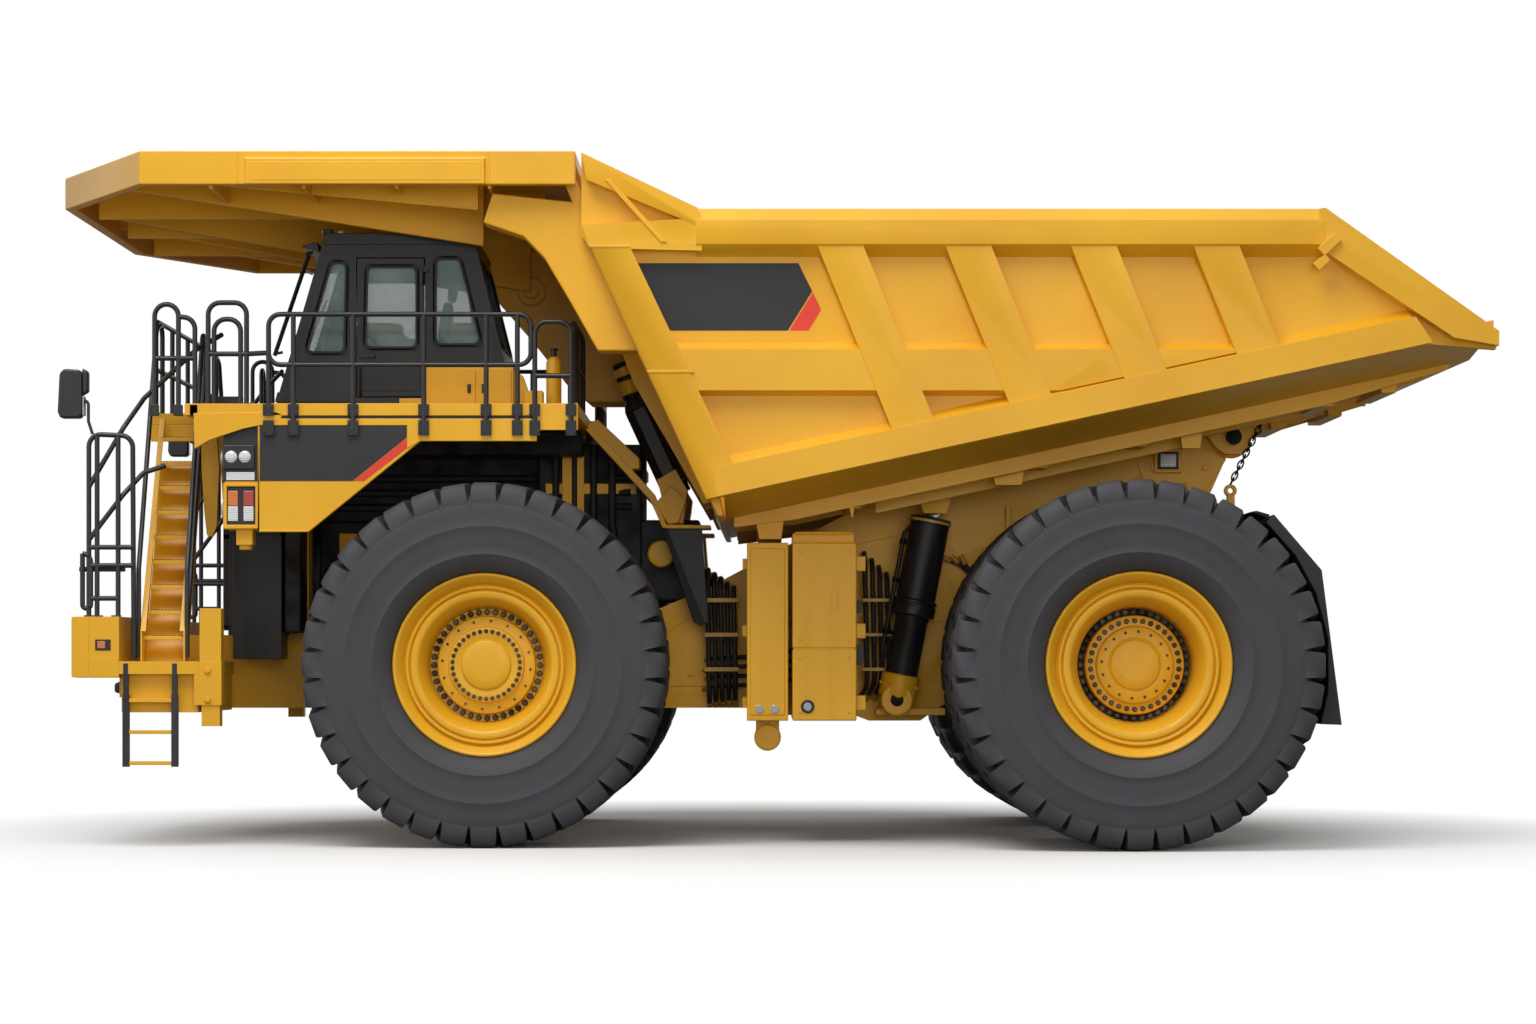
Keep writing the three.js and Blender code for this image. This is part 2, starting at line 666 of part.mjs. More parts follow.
function deckSolid() {
  const under = deckTopZ - deckThickness;
  const notch = (side) => box(
    [deckFront - 10, stairRear + 40], [side * 2350, side * (deckHalfWidth + 10)], [under - 10, deckTopZ + 10]);
  const plate = cut(
    box([deckFront, deckRear], [-deckHalfWidth, deckHalfWidth], [under, deckTopZ]),
    bothSides(notch),
  );
  const fender = (side) => alongY([
    [fenderFront, under + 20], [deckRear - 450, under + 20], [deckRear - 450, deckTopZ - fasciaHeight],
    [fenderRear, deckTopZ - fasciaHeight], [-1910, deckTopZ - fenderHeight],
    [fenderFront, deckTopZ - fenderHeight],
  ], side * (deckHalfWidth - 80), side * deckHalfWidth);
  const lamp = (side) => box(
    [headlampFront, fenderFront + 20], [side * 3400, side * (deckHalfWidth - 50)], [deckTopZ - 1370, under + 20]);
  const guard = (side) => alongY([
    [deckRear - 60, under + 20], [1740, deckTopZ - 950], [1890, deckTopZ - 1280], [2440, deckTopZ - 1280],
    [2440, deckTopZ - 1240], [1930, guardTopZ], [1790, deckTopZ - 880], [deckRear, deckTopZ - 40],
  ], side * (railOuterY + 10), side * 1650);
  const splash = (side) => alongY([
    [1900, deckTopZ - 1260], [2330, deckTopZ - 1260], [2420, deckTopZ - 2370], [2300, deckTopZ - 2370],
  ], side * (railOuterY + 10), side * 1600);
  const cabinet = box([doorRear + 20, cabRearFoot], [-3150, -cabLeftY - runningGap], [deckTopZ - 20, deckTopZ + 460]);
  return join(plate, bothSides(fender), bothSides(lamp), bothSides(guard), bothSides(splash), cabinet);
}

function stairwaySolid(side) {
  const rise = (deckTopZ - walkwayTopZ) / (stairTreads + 1);
  const [footY, headY] = [3600, 2350 + seatGap];
  const going = (footY - headY) / stairTreads;
  const stringer = (x) => alongX([
    [side * (footY + 60), walkwayTopZ + seatGap], [side * (footY + 60), walkwayTopZ + 330],
    [side * headY, deckTopZ - 60], [side * headY, deckTopZ - 420],
    [side * (footY - 150), walkwayTopZ + seatGap],
  ], x, x + 35);
  const treads = [];
  for (let i = 0; i < stairTreads; i += 1) {
    const z = walkwayTopZ + rise * (i + 1);
    const y = footY - going * i;
    treads.push(box([stairFront + 10, stairRear - 10], [side * y, side * (y - going * 1.3)], [z - 35, z]));
  }
  return join(stringer(stairFront), stringer(stairRear - 35), treads);
}

/** Ladder below the left end of the bumper. */
function lowerLadderSolid() {
  const stile = (x) => box([x, x + 70], [-3795, -3740], [900, bumperBottomZ + 60]);
  const rungs = [930, 1270, 1610].map((z) => box([-3950, -3400], [-3795, -3690], [z - 25, z + 25]));
  return join(stile(-3960), stile(-3430), rungs);
}

function bumperSolid() {
  const plateZ = walkwayTopZ - 140;
  const beam = box([bumperFront, frameFront], [-bumperHalfWidth, bumperHalfWidth], [bumperBottomZ, bumperTopZ]);
  const wing = (side) => join(
    box([frameFront - 20, -3130], [side * (railOuterY + 40), side * bumperHalfWidth], [plateZ, walkwayTopZ]),
    box([frameFront + 10, -3150], [side * (railOuterY + 60), side * 3690], [plateZ - 420, plateZ + 20]),
    box([-3180, -2880], [side * 3560, side * (bumperHalfWidth - 3)], [plateZ - 340, walkwayTopZ - 5]),
    box([-3120, -2885], [side * 3565, side * (bumperHalfWidth - 10)], [walkwayTopZ - 20, walkwayTopZ + 580]),
    box([-3100, -2900], [side * 3580, side * (bumperHalfWidth - 20)], [plateZ - 570, plateZ - 320]),
  );
  return join(beam, bothSides(wing), lowerLadderSolid());
}

// ---------------------------------------------------------------- cab

const cabFrontFoot = -2400;
const cabFrontHead = -1850;
const cabRearFoot = 270;
const cabRearHead = -200;
const doorFront = -1506;
const doorRear = -735;
const doorBottom = cabBaseZ + 60;
const doorTop = cabBaseZ + 1630;
const doorHingeHeights = [200, 1250];
const doorHingeLength = 140;

/** Front and rear faces of the cab at a height, moved inward by a depth. */
function cabFace(z, depth) {
  const share = (z - cabBaseZ) / (cabRoofZ - cabBaseZ);
  return [
    cabFrontFoot + (cabFrontHead - cabFrontFoot) * share + depth,
    cabRearFoot + (cabRearHead - cabRearFoot) * share - depth,
  ];
}

function cabOutline(bottom, top, depth) {
  const [frontLow, rearLow] = cabFace(bottom, depth);
  const [frontHigh, rearHigh] = cabFace(top, depth);
  return [[frontLow, bottom], [frontHigh, top], [rearHigh, top], [rearLow, bottom]];
}

// Corners of the side windows, as distance behind the front axle and height.
const window = (corners) => corners.map(([x, height]) => [x, cabBaseZ + height]);
const quarterWindow = window([[-2076, 558], [-1629, 558], [-1607, 1576], [-1786, 1576]]);
const leftRearWindow = window([[-623, 648], [-97, 648], [-343, 1620], [-623, 1620]]);
const rightWindow = window([[-1900, 560], [-300, 560], [-420, 1570], [-1620, 1570]]);
const windscreen = { y: [-2740, -960], z: [cabBaseZ + 550, cabBaseZ + 1670] };
const rearWindow = { y: [-2600, -1100], z: [cabBaseZ + 650, cabBaseZ + 1620] };

function cabShellSolid() {
  const outer = alongY(cabOutline(cabBaseZ, cabRoofZ, 0), -cabLeftY, -cabRightY);
  const inside = alongY(
    cabOutline(cabBaseZ + cabWall, cabRoofZ - cabWall, cabWall), -cabLeftY + cabWall, -cabRightY - cabWall);
  const leftWall = [-cabLeftY - 20, -cabLeftY + cabWall + 20];
  const rightWall = [-cabRightY - cabWall - 20, -cabRightY + 20];
  const door = [[doorFront, doorBottom], [doorRear, doorBottom], [doorRear, doorTop], [doorFront, doorTop]];
  const feet = [cabFrontFoot + 250, cabRearFoot - 500].flatMap((x) => [-cabLeftY + 150, -cabRightY - 400].map(
    (y) => box([x, x + 250], [y, y + 250], [deckTopZ + seatGap, cabBaseZ + 10])));
  const hingeX = doorRear - doorGap - doorHingeRadius;
  const hingeY = -cabLeftY - doorHingeRadius - runningGap;
  const knuckles = doorHingeHeights.map((height) => {
    const z = doorBottom + doorGap + height + doorHingeLength + seatGap;
    return join(
      bar([hingeX, hingeY, z], [hingeX, hingeY, z + 60], doorHingeRadius, 12),
      box([hingeX, doorRear + 45], [hingeY - 15, hingeY + 15], [z, z + 60]),
      box([doorRear + 6, doorRear + 45], [hingeY - 15, -cabLeftY + 5], [z, z + 60]));
  });
  return join(cut(
    outer, inside,
    alongY(door, ...leftWall), alongY(quarterWindow, ...leftWall), alongY(leftRearWindow, ...leftWall),
    alongY(rightWindow, ...rightWall),
    box([cabFrontFoot - 50, cabFrontHead + 250], windscreen.y, windscreen.z),
    box([cabRearHead - 250, cabRearFoot + 50], rearWindow.y, rearWindow.z),
  ), feet, knuckles);
}

/** Insets an outline's corners toward its middle so that a pane fits with a gap. */
function paneOutline(outline, gap) {
  const shape = outline.map(([x, z]) => new THREE.Vector2(x, z));
  const middle = shape.reduce((sum, point) => sum.add(point), new THREE.Vector2()).divideScalar(shape.length);
  return shape.map((point) => {
    const away = point.clone().sub(middle);
    return [point.x - Math.sign(away.x) * gap * 1.3, point.y - Math.sign(away.y) * gap];
  });
}

function slopedPane(face, { y, z }, inward) {
  const [low, high] = [z[0] + seatGap, z[1] - seatGap];
  const at = (height, depth) => cabFace(height, depth)[face];
  const near = inward;
  const far = inward + glassThickness;
  return alongY(
    [[at(low, near), low], [at(high, near), high], [at(high, far), high], [at(low, far), low]],
    y[0] + seatGap, y[1] - seatGap);
}

function cabGlass() {
  const left = [-cabLeftY + 30, -cabLeftY + 30 + glassThickness];
  const right = [-cabRightY - 30 - glassThickness, -cabRightY - 30];
  return [
    node("windscreen", slopedPane(0, windscreen, 30), glass),
    node("rear_glass", slopedPane(1, rearWindow, 30), glass),
    node("quarter_glass", alongY(paneOutline(quarterWindow, seatGap), ...left), glass),
    node("left_rear_glass", alongY(paneOutline(leftRearWindow, seatGap), ...left), glass),
    node("right_glass", alongY(paneOutline(rightWindow, seatGap), ...right), glass),
  ];
}

/** Door about its hinge line at the rear edge, reaching forward. */
function cabDoor() {
  const width = doorRear - doorFront - 2 * doorGap;
  const height = doorTop - doorBottom - 2 * doorGap;
  const thickness = cabWall - 10;
  const pane = [[-width + 75, 540], [-75, 540], [-75, height - 90], [-width + 95, height - 90]];
  const leaf = cut(
    box([-width, 0], [0, thickness], [0, height]),
    alongY(pane, -20, thickness + 20));
  const [hingeX, hingeY] = [-doorHingeRadius, -doorHingeRadius - runningGap];
  const hinges = doorHingeHeights.map((z) => join(
    bar([hingeX, hingeY, z], [hingeX, hingeY, z + doorHingeLength], doorHingeRadius, 12),
    box([hingeX - 12, hingeX + 12], [hingeY, 5], [z, z + doorHingeLength])));
  const handle = join(
    box([-width + 40, -width + 200], [-40, -15], [430, 470]),
    box([-width + 60, -width + 90], [-20, 5], [430, 470]),
    box([-width + 150, -width + 180], [-20, 5], [430, 470]));
  return placed(doorRear - doorGap, -cabLeftY, doorBottom + doorGap,
    node("cab_door", join(leaf, hinges, handle), blackPaint),
    node("door_glass", alongY(paneOutline(pane, seatGap), 25, 25 + glassThickness), glass));
}

function operatorSeatSolid() {
  const [x, y, floor] = [-1150, -1900, cabBaseZ + cabWall + seatGap];
  return join(
    box([x, x + 420], [y - 180, y + 180], [floor, floor + 330]),
    box([x - 60, x + 540], [y - 290, y + 290], [floor + 320, floor + 480]),
    alongY([[x + 440, floor + 420], [x + 560, floor + 420], [x + 660, floor + 1150], [x + 540, floor + 1150]],
      y - 270, y + 270),
    bothSides((hand) => box([x + 60, x + 500], [y + hand * 300, y + hand * 370], [floor + 620, floor + 690])),
    bothSides((hand) => box([x + 430, x + 560], [y + hand * 200, y + hand * 350], [floor + 600, floor + 690])),
  );
}

function steeringColumnSolid() {
  const [x, y, floor] = [-1720, -1900, cabBaseZ + cabWall + seatGap];
  const hub = [x + 210, y, floor + 780];
  const [radius, lean] = [230, 0.7];
  const wheel = new THREE.TorusGeometry(radius, 20, 6, 20);
  wheel.rotateY(lean);
  wheel.translate(...hub);
  const spokes = [90, 210, 330].map((degrees) => {
    const angle = THREE.MathUtils.degToRad(degrees);
    const reach = new THREE.Vector3(radius * Math.cos(angle), radius * Math.sin(angle), 0);
    reach.applyAxisAngle(axisY, lean);
    return bar(hub, reach.add(new THREE.Vector3(...hub)).toArray(), 14, 6);
  });
  return join(
    bar([x, y, floor], [x, y, floor + 430], 60, 12),
    bar([x, y, floor + 400], hub, 34, 12),
    box([x - 300, x - 20], [y - 620, y + 500], [floor + 380, floor + 560]),
    solidOf(wheel),
    spokes,
  );
}

// ---------------------------------------------------------------- deck equipment

function airCleanerSolid() {
  const z = deckTopZ + seatGap;
  return join(
    box([-2200, -200], [1200, 2700], [z, z + 350]),
    [-1750, -650].map((x) => bar([x, 1950, z + 300], [x, 1950, z + 1250], 420, 24)),
    [-1750, -650].map((x) => bar([x, 1950, z + 1200], [x, 1950, z + 1400], 300, 24)),
    box([-1750, -650], [1830, 2070], [z + 500, z + 760]),
  );
}

function exhaustSolid(side) {
  const y = side * 1370;
  return join(
    bar([2020, y, deckTopZ - 790], [1590, y, deckTopZ + 140], 180, 8),
    bar([1620, y, deckTopZ + 80], [1410, y, deckTopZ + 660], 150, 8),
    box([1945, 2120], [y - 180, y + 180], [guardTopZ + seatGap, deckTopZ - 750]),
  );
}

/** Mirror head on an arm that rises from the corner of the bumper rail. */
function mirrorSolid(x, y, foot) {
  return join(
    box([x - 330, x - 50], [y - 90, y + 90], [foot + 170, foot + 700]),
    bar([x - 70, y, foot + 370], [x, y, foot + 110], 26, 8),
    bar([x, y, foot + 130], [x, y, foot - 20], 26, 8),
  );
}

// ---------------------------------------------------------------- handrails

function deckHandrailSolid(side) {
  const y = side * (deckHalfWidth + seatGap + railTube);
  const [top, middle, foot] = [deckTopZ + 970, deckTopZ + 420, deckTopZ - 320];
  const posts = [-2070, -1420, -650, 30, 370, 940];
  const run = (z) => railing([[-2340, y, z], [940, y, z]]);
  const hoopY = side * (deckHalfWidth - 120);
  const [hoopTop, hoopFoot] = [deckTopZ + 1110, deckTopZ + seatGap];
  return join(
    run(top), run(middle),
    posts.map((x) => railing([[x, y, top], [x, y, foot]])),
    railing([[-2340, y, top + 10], [-2340, y, deckTopZ + 100]]),
    railing([
      [-3020, hoopY, hoopFoot], [-3020, hoopY, hoopTop], [-2600, hoopY, hoopTop], [-2600, hoopY, hoopFoot]]),
    railing([[-3020, hoopY, hoopTop - 560], [-2600, hoopY, hoopTop - 560], [-2340, y, middle]]),
  );
}

function frontHandrailSolid() {
  const x = deckFront + 50;
  const foot = deckTopZ + seatGap;
  const [top, middle] = [deckTopZ + 1050, deckTopZ + 500];
  const across = (z) => railing([[x, -2300, z], [x, 2300, z]]);
  const posts = [-2300, -1150, 0, 1150, 2300].map((y) => railing([[x, y, top], [x, y, foot]]));
  return join(across(top), across(middle), posts);
}

/** Bumper platform rail, the stair rails that climb from it to the deck, and the mirror. */
function accessRailSolid(side) {
  const y = side * (bumperHalfWidth - 60);
  const foot = bumperTopZ + seatGap;
  const [top, front, rear] = [4530, -4340, -4040];
  const x = stairFront - railTube - seatGap;
  const [footY, headY] = [side * 3600, side * 2400];
  return join(
    railing([[front, y, foot], [front, y, top], [rear, y, top], [rear, y, foot]]),
    railing([[front + 100, y, foot], [front + 100, y, top]]),
    railing([[front, y, 3900], [rear, y, 3900]]),
    railing([[front, y, 3200], [rear, y, 3200], [x, footY, 3200]]),
    railing([
      [x, footY, walkwayTopZ + 110], [x, footY, 3200],
      [x, headY, deckTopZ + 1000], [x, headY, deckTopZ - 200]]),
    railing([[x, footY, walkwayTopZ + 560], [x, headY, deckTopZ + 500]]),
    mirrorSolid(front, y, top),
  );
}

// ---------------------------------------------------------------- mud flaps

/** Flap that follows the back of the rear tyres, on an arm from the frame rail. */
function mudflapSolid(side) {
  const clear = tyreRadius + 60;
  const inside = [-18, -8, 8, 22, 35, 48].map((degrees) => {
    const angle = THREE.MathUtils.degToRad(degrees);
    return [rearAxleX + clear * Math.cos(angle), axleZ + clear * Math.sin(angle)];
  });
  const flap = alongY([
    ...inside, [rearAxleX + 1455, axleZ + 1620], [rearAxleX + 1970, axleZ + 1020], [rearAxleX + 2185, axleZ - 645],
  ], side * 1250, side * 4500);
  const arm = box(
    [rearAxleX + 850, rearAxleX + 1430], [side * (railOuterY + seatGap), side * 1300], [axleZ + 1450, axleZ + 1570]);
  return join(flap, arm);
}

// ---------------------------------------------------------------- the truck

const truck = new THREE.Group();

truck.add(
  node("main_frame", mainFrameSolid(), yellowPaint),
  node("front_bumper", bumperSolid(), yellowPaint),
  node("engine", engineSolid(), darkSteel),
  node("radiator", radiatorSolid(), blackPaint),
  node("drive_line", driveLineSolid(), darkSteel),
  placed(rearAxleX, 0, axleZ,
    node("rear_axle", rearAxleSolid(), yellowPaint),
    ...bothSides((side) => node(`rear_strut_${sideName(side)}`, rearStrutSolid(side), darkSteel))),
  node("upper_deck", deckSolid(), yellowPaint),
  node("cab_shell", cabShellSolid(), blackPaint),
  ...cabGlass(),
  cabDoor(),
  node("operator_seat", operatorSeatSolid(), seatFabric),
  node("steering_column", steeringColumnSolid(), blackPaint),
  node("air_cleaner", airCleanerSolid(), yellowPaint),
  node("front_handrail", frontHandrailSolid(), blackPaint),
  node("hydraulic_tank", leftTankSolids().front, yellowPaint),
  node("hoist_oil_tank", leftTankSolids().rear, yellowPaint),
  node("fuel_tank", fuelTankSolid(), yellowPaint),
  placed(0, 0, 0, node("tie_rod", tieRodSolid(), darkSteel)),
  node("bed_floor", bedFloorSolid(), yellowPaint),
  node("bed_front_wall", bedFrontWallSolid(), yellowPaint),
  node("bed_canopy", canopySolid(), yellowPaint),
);

for (const side of [-1, 1]) {
  const name = sideName(side);
  truck.add(
    node(`bed_side_${name}`, bedSideSolid(side), yellowPaint),
    node(`front_strut_${name}`, strutSolid(side), darkSteel),
    placed(0, side * kingpinY, axleZ, node(`knuckle_${name}`, knuckleSolid(side), darkSteel)),
    frontWheel(side),
    rearWheel(side),
    hoist(side),
    node(`stairway_${name}`, stairwaySolid(side), yellowPaint),
    node(`deck_handrail_${name}`, deckHandrailSolid(side), blackPaint),
    node(`access_rail_${name}`, accessRailSolid(side), blackPaint),
    node(`exhaust_${name}`, exhaustSolid(side), blackPaint),
    node(`mudflap_${name}`, mudflapSolid(side), rubber),
  );
}

truck.position.x = -(canopyFront + tailX) / 2;

export default truck;
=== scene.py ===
"""Looks of a mining dump truck: paint, rubber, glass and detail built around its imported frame.

Places are in metres. Along the truck they are counted back from the front axle, so that a
piece's numbers read like a workshop drawing; Shape.piece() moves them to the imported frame.
"""

import json
import logging
import math
from dataclasses import dataclass
from enum import Enum
from typing import Callable, Iterable, Sequence

import bmesh
import bpy
from mathutils import Matrix, Vector

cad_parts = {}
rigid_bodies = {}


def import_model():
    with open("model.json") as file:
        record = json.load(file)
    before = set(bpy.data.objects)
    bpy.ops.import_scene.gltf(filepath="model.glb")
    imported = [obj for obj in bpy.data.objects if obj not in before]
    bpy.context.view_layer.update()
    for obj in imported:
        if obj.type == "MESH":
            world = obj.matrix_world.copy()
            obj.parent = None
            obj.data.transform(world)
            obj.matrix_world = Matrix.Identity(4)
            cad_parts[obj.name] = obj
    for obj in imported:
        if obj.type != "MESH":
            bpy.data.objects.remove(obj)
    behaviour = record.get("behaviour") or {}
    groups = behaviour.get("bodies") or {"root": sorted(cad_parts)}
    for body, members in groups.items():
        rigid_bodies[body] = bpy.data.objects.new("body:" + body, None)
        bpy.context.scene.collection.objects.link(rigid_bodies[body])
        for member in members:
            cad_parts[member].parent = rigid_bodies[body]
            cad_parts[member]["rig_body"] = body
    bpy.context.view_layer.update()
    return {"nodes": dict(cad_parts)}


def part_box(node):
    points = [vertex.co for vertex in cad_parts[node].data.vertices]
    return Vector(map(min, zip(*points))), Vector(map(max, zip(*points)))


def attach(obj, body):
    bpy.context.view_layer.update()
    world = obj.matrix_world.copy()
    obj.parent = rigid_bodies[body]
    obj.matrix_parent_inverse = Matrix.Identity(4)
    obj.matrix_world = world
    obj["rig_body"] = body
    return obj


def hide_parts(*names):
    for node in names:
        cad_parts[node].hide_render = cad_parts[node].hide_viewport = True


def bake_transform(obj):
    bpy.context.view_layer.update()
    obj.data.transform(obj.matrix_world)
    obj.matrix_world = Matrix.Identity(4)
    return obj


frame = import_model()
LOG = logging.getLogger("dump_truck")

FRAME = "chassis"
SIDES = (-1, 1)
SMOOTH_ANGLE = math.radians(38)
EDGE_ANGLE = math.radians(32)

Point = Sequence[float]
Outline = Sequence[tuple[float, float]]


class Slot(Enum):
    """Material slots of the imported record."""

    YELLOW = "paint_yellow"
    BLACK = "paint_black"
    TYRE = "tyre_rubber"
    FLAP = "flap_rubber"
    GLASS = "cab_glass"
    STEEL = "dark_steel"
    SEAT = "seat_fabric"


def side_name(side: int) -> str:
    """Name of a side: left is toward -Y."""
    return "left" if side < 0 else "right"


def middle_of(node: str) -> Vector:
    """Middle of a CAD node's box at rest."""
    low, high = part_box(node)
    return (low + high) / 2


FRONT_AXLE = middle_of("front_left_rim").x
REAR_AXLE = middle_of("rear_left_rim").x - FRONT_AXLE
SHIFT = Vector((FRONT_AXLE, 0, 0))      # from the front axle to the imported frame


# Finishes


def linear(colour: str) -> tuple[float, float, float, float]:
    """Linear colour of an sRGB hex value.

    Args:
        colour: Six hex digits after a hash.

    Returns:
        Red, green, blue and an alpha of one.
    """
    parts = [int(colour[i : i + 2], 16) / 255 for i in (1, 3, 5)]
    red, green, blue = (p / 12.92 if p <= 0.04045 else ((p + 0.055) / 1.055) ** 2.4 for p in parts)
    return (red, green, blue, 1.0)


def add_node(tree: bpy.types.NodeTree, kind: str, values: dict | None = None,
        links: dict | None = None, **settings: object) -> bpy.types.Node:
    """Adds a node to a tree.

    Args:
        tree: Tree that gets the node.
        kind: Blender's name for the node's type.
        values: Value of each input socket, by its name or index.
        links: Output socket that feeds each input socket, by its name or index.
        settings: Properties of the node itself.

    Returns:
        The new node.
    """
    made = tree.nodes.new(kind)
    for name, value in settings.items():
        setattr(made, name, value)
    for name, value in (values or {}).items():
        made.inputs[name].default_value = value
    for name, source in (links or {}).items():
        tree.links.new(source, made.inputs[name])
    return made


def new_material(name: str) -> tuple[bpy.types.Material, bpy.types.NodeTree]:
    """An empty node material and its tree."""
    material = bpy.data.materials.new(name)
    material.use_nodes = True
    material.node_tree.nodes.clear()
    return material, material.node_tree


def place_of(tree: bpy.types.NodeTree) -> bpy.types.NodeSocket:
    """Socket with the object coordinates, in metres."""
    return add_node(tree, "ShaderNodeTexCoord").outputs["Object"]


def surface(tree: bpy.types.NodeTree, shader: bpy.types.Node) -> None:
    """Ends a material's tree with its shader."""
    add_node(tree, "ShaderNodeOutputMaterial", links={"Surface": shader.outputs[0]})


def blend_colours(tree: bpy.types.NodeTree, share: bpy.types.NodeSocket, first: object,
        second: object) -> bpy.types.NodeSocket:
    """Mixes two colours, each given as a value or as a socket, by a share from 0 to 1."""
    mix = add_node(tree, "ShaderNodeMix", links={0: share}, data_type="RGBA")
    for index, colour in ((6, first), (7, second)):
        if isinstance(colour, bpy.types.NodeSocket):
            tree.links.new(colour, mix.inputs[index])
        else:
            mix.inputs[index].default_value = colour
    return mix.outputs[2]


def ranged(tree: bpy.types.NodeTree, source: bpy.types.NodeSocket, low: float, high: float,
        to_low: float = 0.0, to_high: float = 1.0) -> bpy.types.NodeSocket:
    """Maps a value from one range to another, held at both ends."""
    sockets = {1: low, 2: high, 3: to_low, 4: to_high}
    return add_node(tree, "ShaderNodeMapRange", sockets, {0: source}).outputs[0]


@dataclass(frozen=True)
class MachineEnamel:
    """Sprayed two-pack machine enamel on steel plate.

    The spray leaves a fine orange peel that breaks up reflections, the film's thickness
    shifts its colour a little from plate to plate, and road dust dulls the lower faces.
    """

    name: str
    colour: str
    shade: str          # where the film is thin or the plate is in a seam
    dust: str
    roughness: float = 0.4
    coat: float = 0.25
    dusty: float = 0.12
    peel_mm: float = 9.0        # pitch of the orange peel
    cloud_m: float = 1.6        # pitch of the colour shift
    ior: float = 1.5

    def make(self) -> bpy.types.Material:
        """Builds the material."""
        material, tree = new_material(self.name)
        place = place_of(tree)
        cloud = add_node(tree, "ShaderNodeTexNoise", {"Scale": 1 / self.cloud_m, "Detail": 4.0},
            {"Vector": place}).outputs[0]
        film = blend_colours(tree, ranged(tree, cloud, 0.36, 0.66), linear(self.shade),
            linear(self.colour))
        flow = add_node(tree, "ShaderNodeMapping", {"Scale": (7.0, 7.0, 0.9)}, {"Vector": place})
        runs = add_node(tree, "ShaderNodeTexNoise", {"Scale": 1.0, "Detail": 5.0},
            {"Vector": flow.outputs[0]}).outputs[0]
        height = add_node(tree, "ShaderNodeSeparateXYZ", links={0: place}).outputs[2]
        low = ranged(tree, height, 1.0, 4.6, 1.0, 0.25)
        streak = add_node(tree, "ShaderNodeMath", links={0: ranged(tree, runs, 0.42, 0.75),
            1: low}, operation="MULTIPLY").outputs[0]
        share = add_node(tree, "ShaderNodeMath", {1: self.dusty}, {0: streak},
            operation="MULTIPLY").outputs[0]
        colour = blend_colours(tree, share, film, linear(self.dust))
        peel = add_node(tree, "ShaderNodeTexNoise", {"Scale": 1000 / self.peel_mm, "Detail": 1.0},
            {"Vector": place}).outputs[0]
        bump = add_node(tree, "ShaderNodeBump", {"Strength": 0.05, "Distance": 0.002},
            {"Height": peel})
        rough = ranged(tree, streak, 0.0, 0.8, self.roughness, self.roughness + 0.16)
        shader = add_node(tree, "ShaderNodeBsdfPrincipled", {"IOR": self.ior,
            "Coat Weight": self.coat, "Coat Roughness": 0.18}, {"Base Color": colour,
            "Roughness": rough, "Normal": bump.outputs[0]})
        surface(tree, shader)
        return material


@dataclass(frozen=True)
class MouldedRubber:
    """Carbon-black rubber cured in a steel mould.

    The mould leaves a fine matt grain; dust sits in the grain and pales the dark rubber.
    """

    name: str
    colour: str
    dust: str
    grain_mm: float = 6.0
    cloud_m: float = 0.5
    roughness: float = 0.72
    bump: float = 0.25

    def make(self) -> bpy.types.Material:
        """Builds the material."""
        material, tree = new_material(self.name)
        place = place_of(tree)
        cloud = add_node(tree, "ShaderNodeTexNoise", {"Scale": 1 / self.cloud_m, "Detail": 6.0,
            "Roughness": 0.6}, {"Vector": place}).outputs[0]
        colour = blend_colours(tree, ranged(tree, cloud, 0.35, 0.75, 0.0, 0.55),
            linear(self.colour), linear(self.dust))
        grain = add_node(tree, "ShaderNodeTexNoise", {"Scale": 1000 / self.grain_mm,
            "Detail": 3.0}, {"Vector": place}).outputs[0]
        bump = add_node(tree, "ShaderNodeBump", {"Strength": self.bump, "Distance": 0.002},
            {"Height": grain})
        rough = ranged(tree, cloud, 0.3, 0.7, self.roughness - 0.08, self.roughness + 0.1)
        shader = add_node(tree, "ShaderNodeBsdfPrincipled", {"IOR": 1.52},
            {"Base Color": colour, "Roughness": rough, "Normal": bump.outputs[0]})
        surface(tree, shader)
        return material


@dataclass(frozen=True)
class MachinedMetal:
    """Bare or plated metal, from oiled cast iron to bright chrome.

    Casting or turning leaves a grain that spreads the highlight; oil darkens it in patches.
    """

    name: str
    colour: str
    stain: str
    metallic: float = 1.0
    roughness: float = 0.35
    grain_mm: float = 4.0
    bump: float = 0.15

    def make(self) -> bpy.types.Material:
        """Builds the material."""
        material, tree = new_material(self.name)
        place = place_of(tree)
        patch = add_node(tree, "ShaderNodeTexNoise", {"Scale": 3.0, "Detail": 6.0},
            {"Vector": place}).outputs[0]
        colour = blend_colours(tree, ranged(tree, patch, 0.4, 0.7), linear(self.colour),
            linear(self.stain))
        grain = add_node(tree, "ShaderNodeTexNoise", {"Scale": 1000 / self.grain_mm,
            "Detail": 2.0}, {"Vector": place}).outputs[0]
        bump = add_node(tree, "ShaderNodeBump", {"Strength": self.bump, "Distance": 0.001},
            {"Height": grain})
        rough = ranged(tree, patch, 0.3, 0.7, self.roughness, self.roughness + 0.15)
        shader = add_node(tree, "ShaderNodeBsdfPrincipled", {"Metallic": self.metallic},
            {"Base Color": colour, "Roughness": rough, "Normal": bump.outputs[0]})
        surface(tree, shader)
        return material


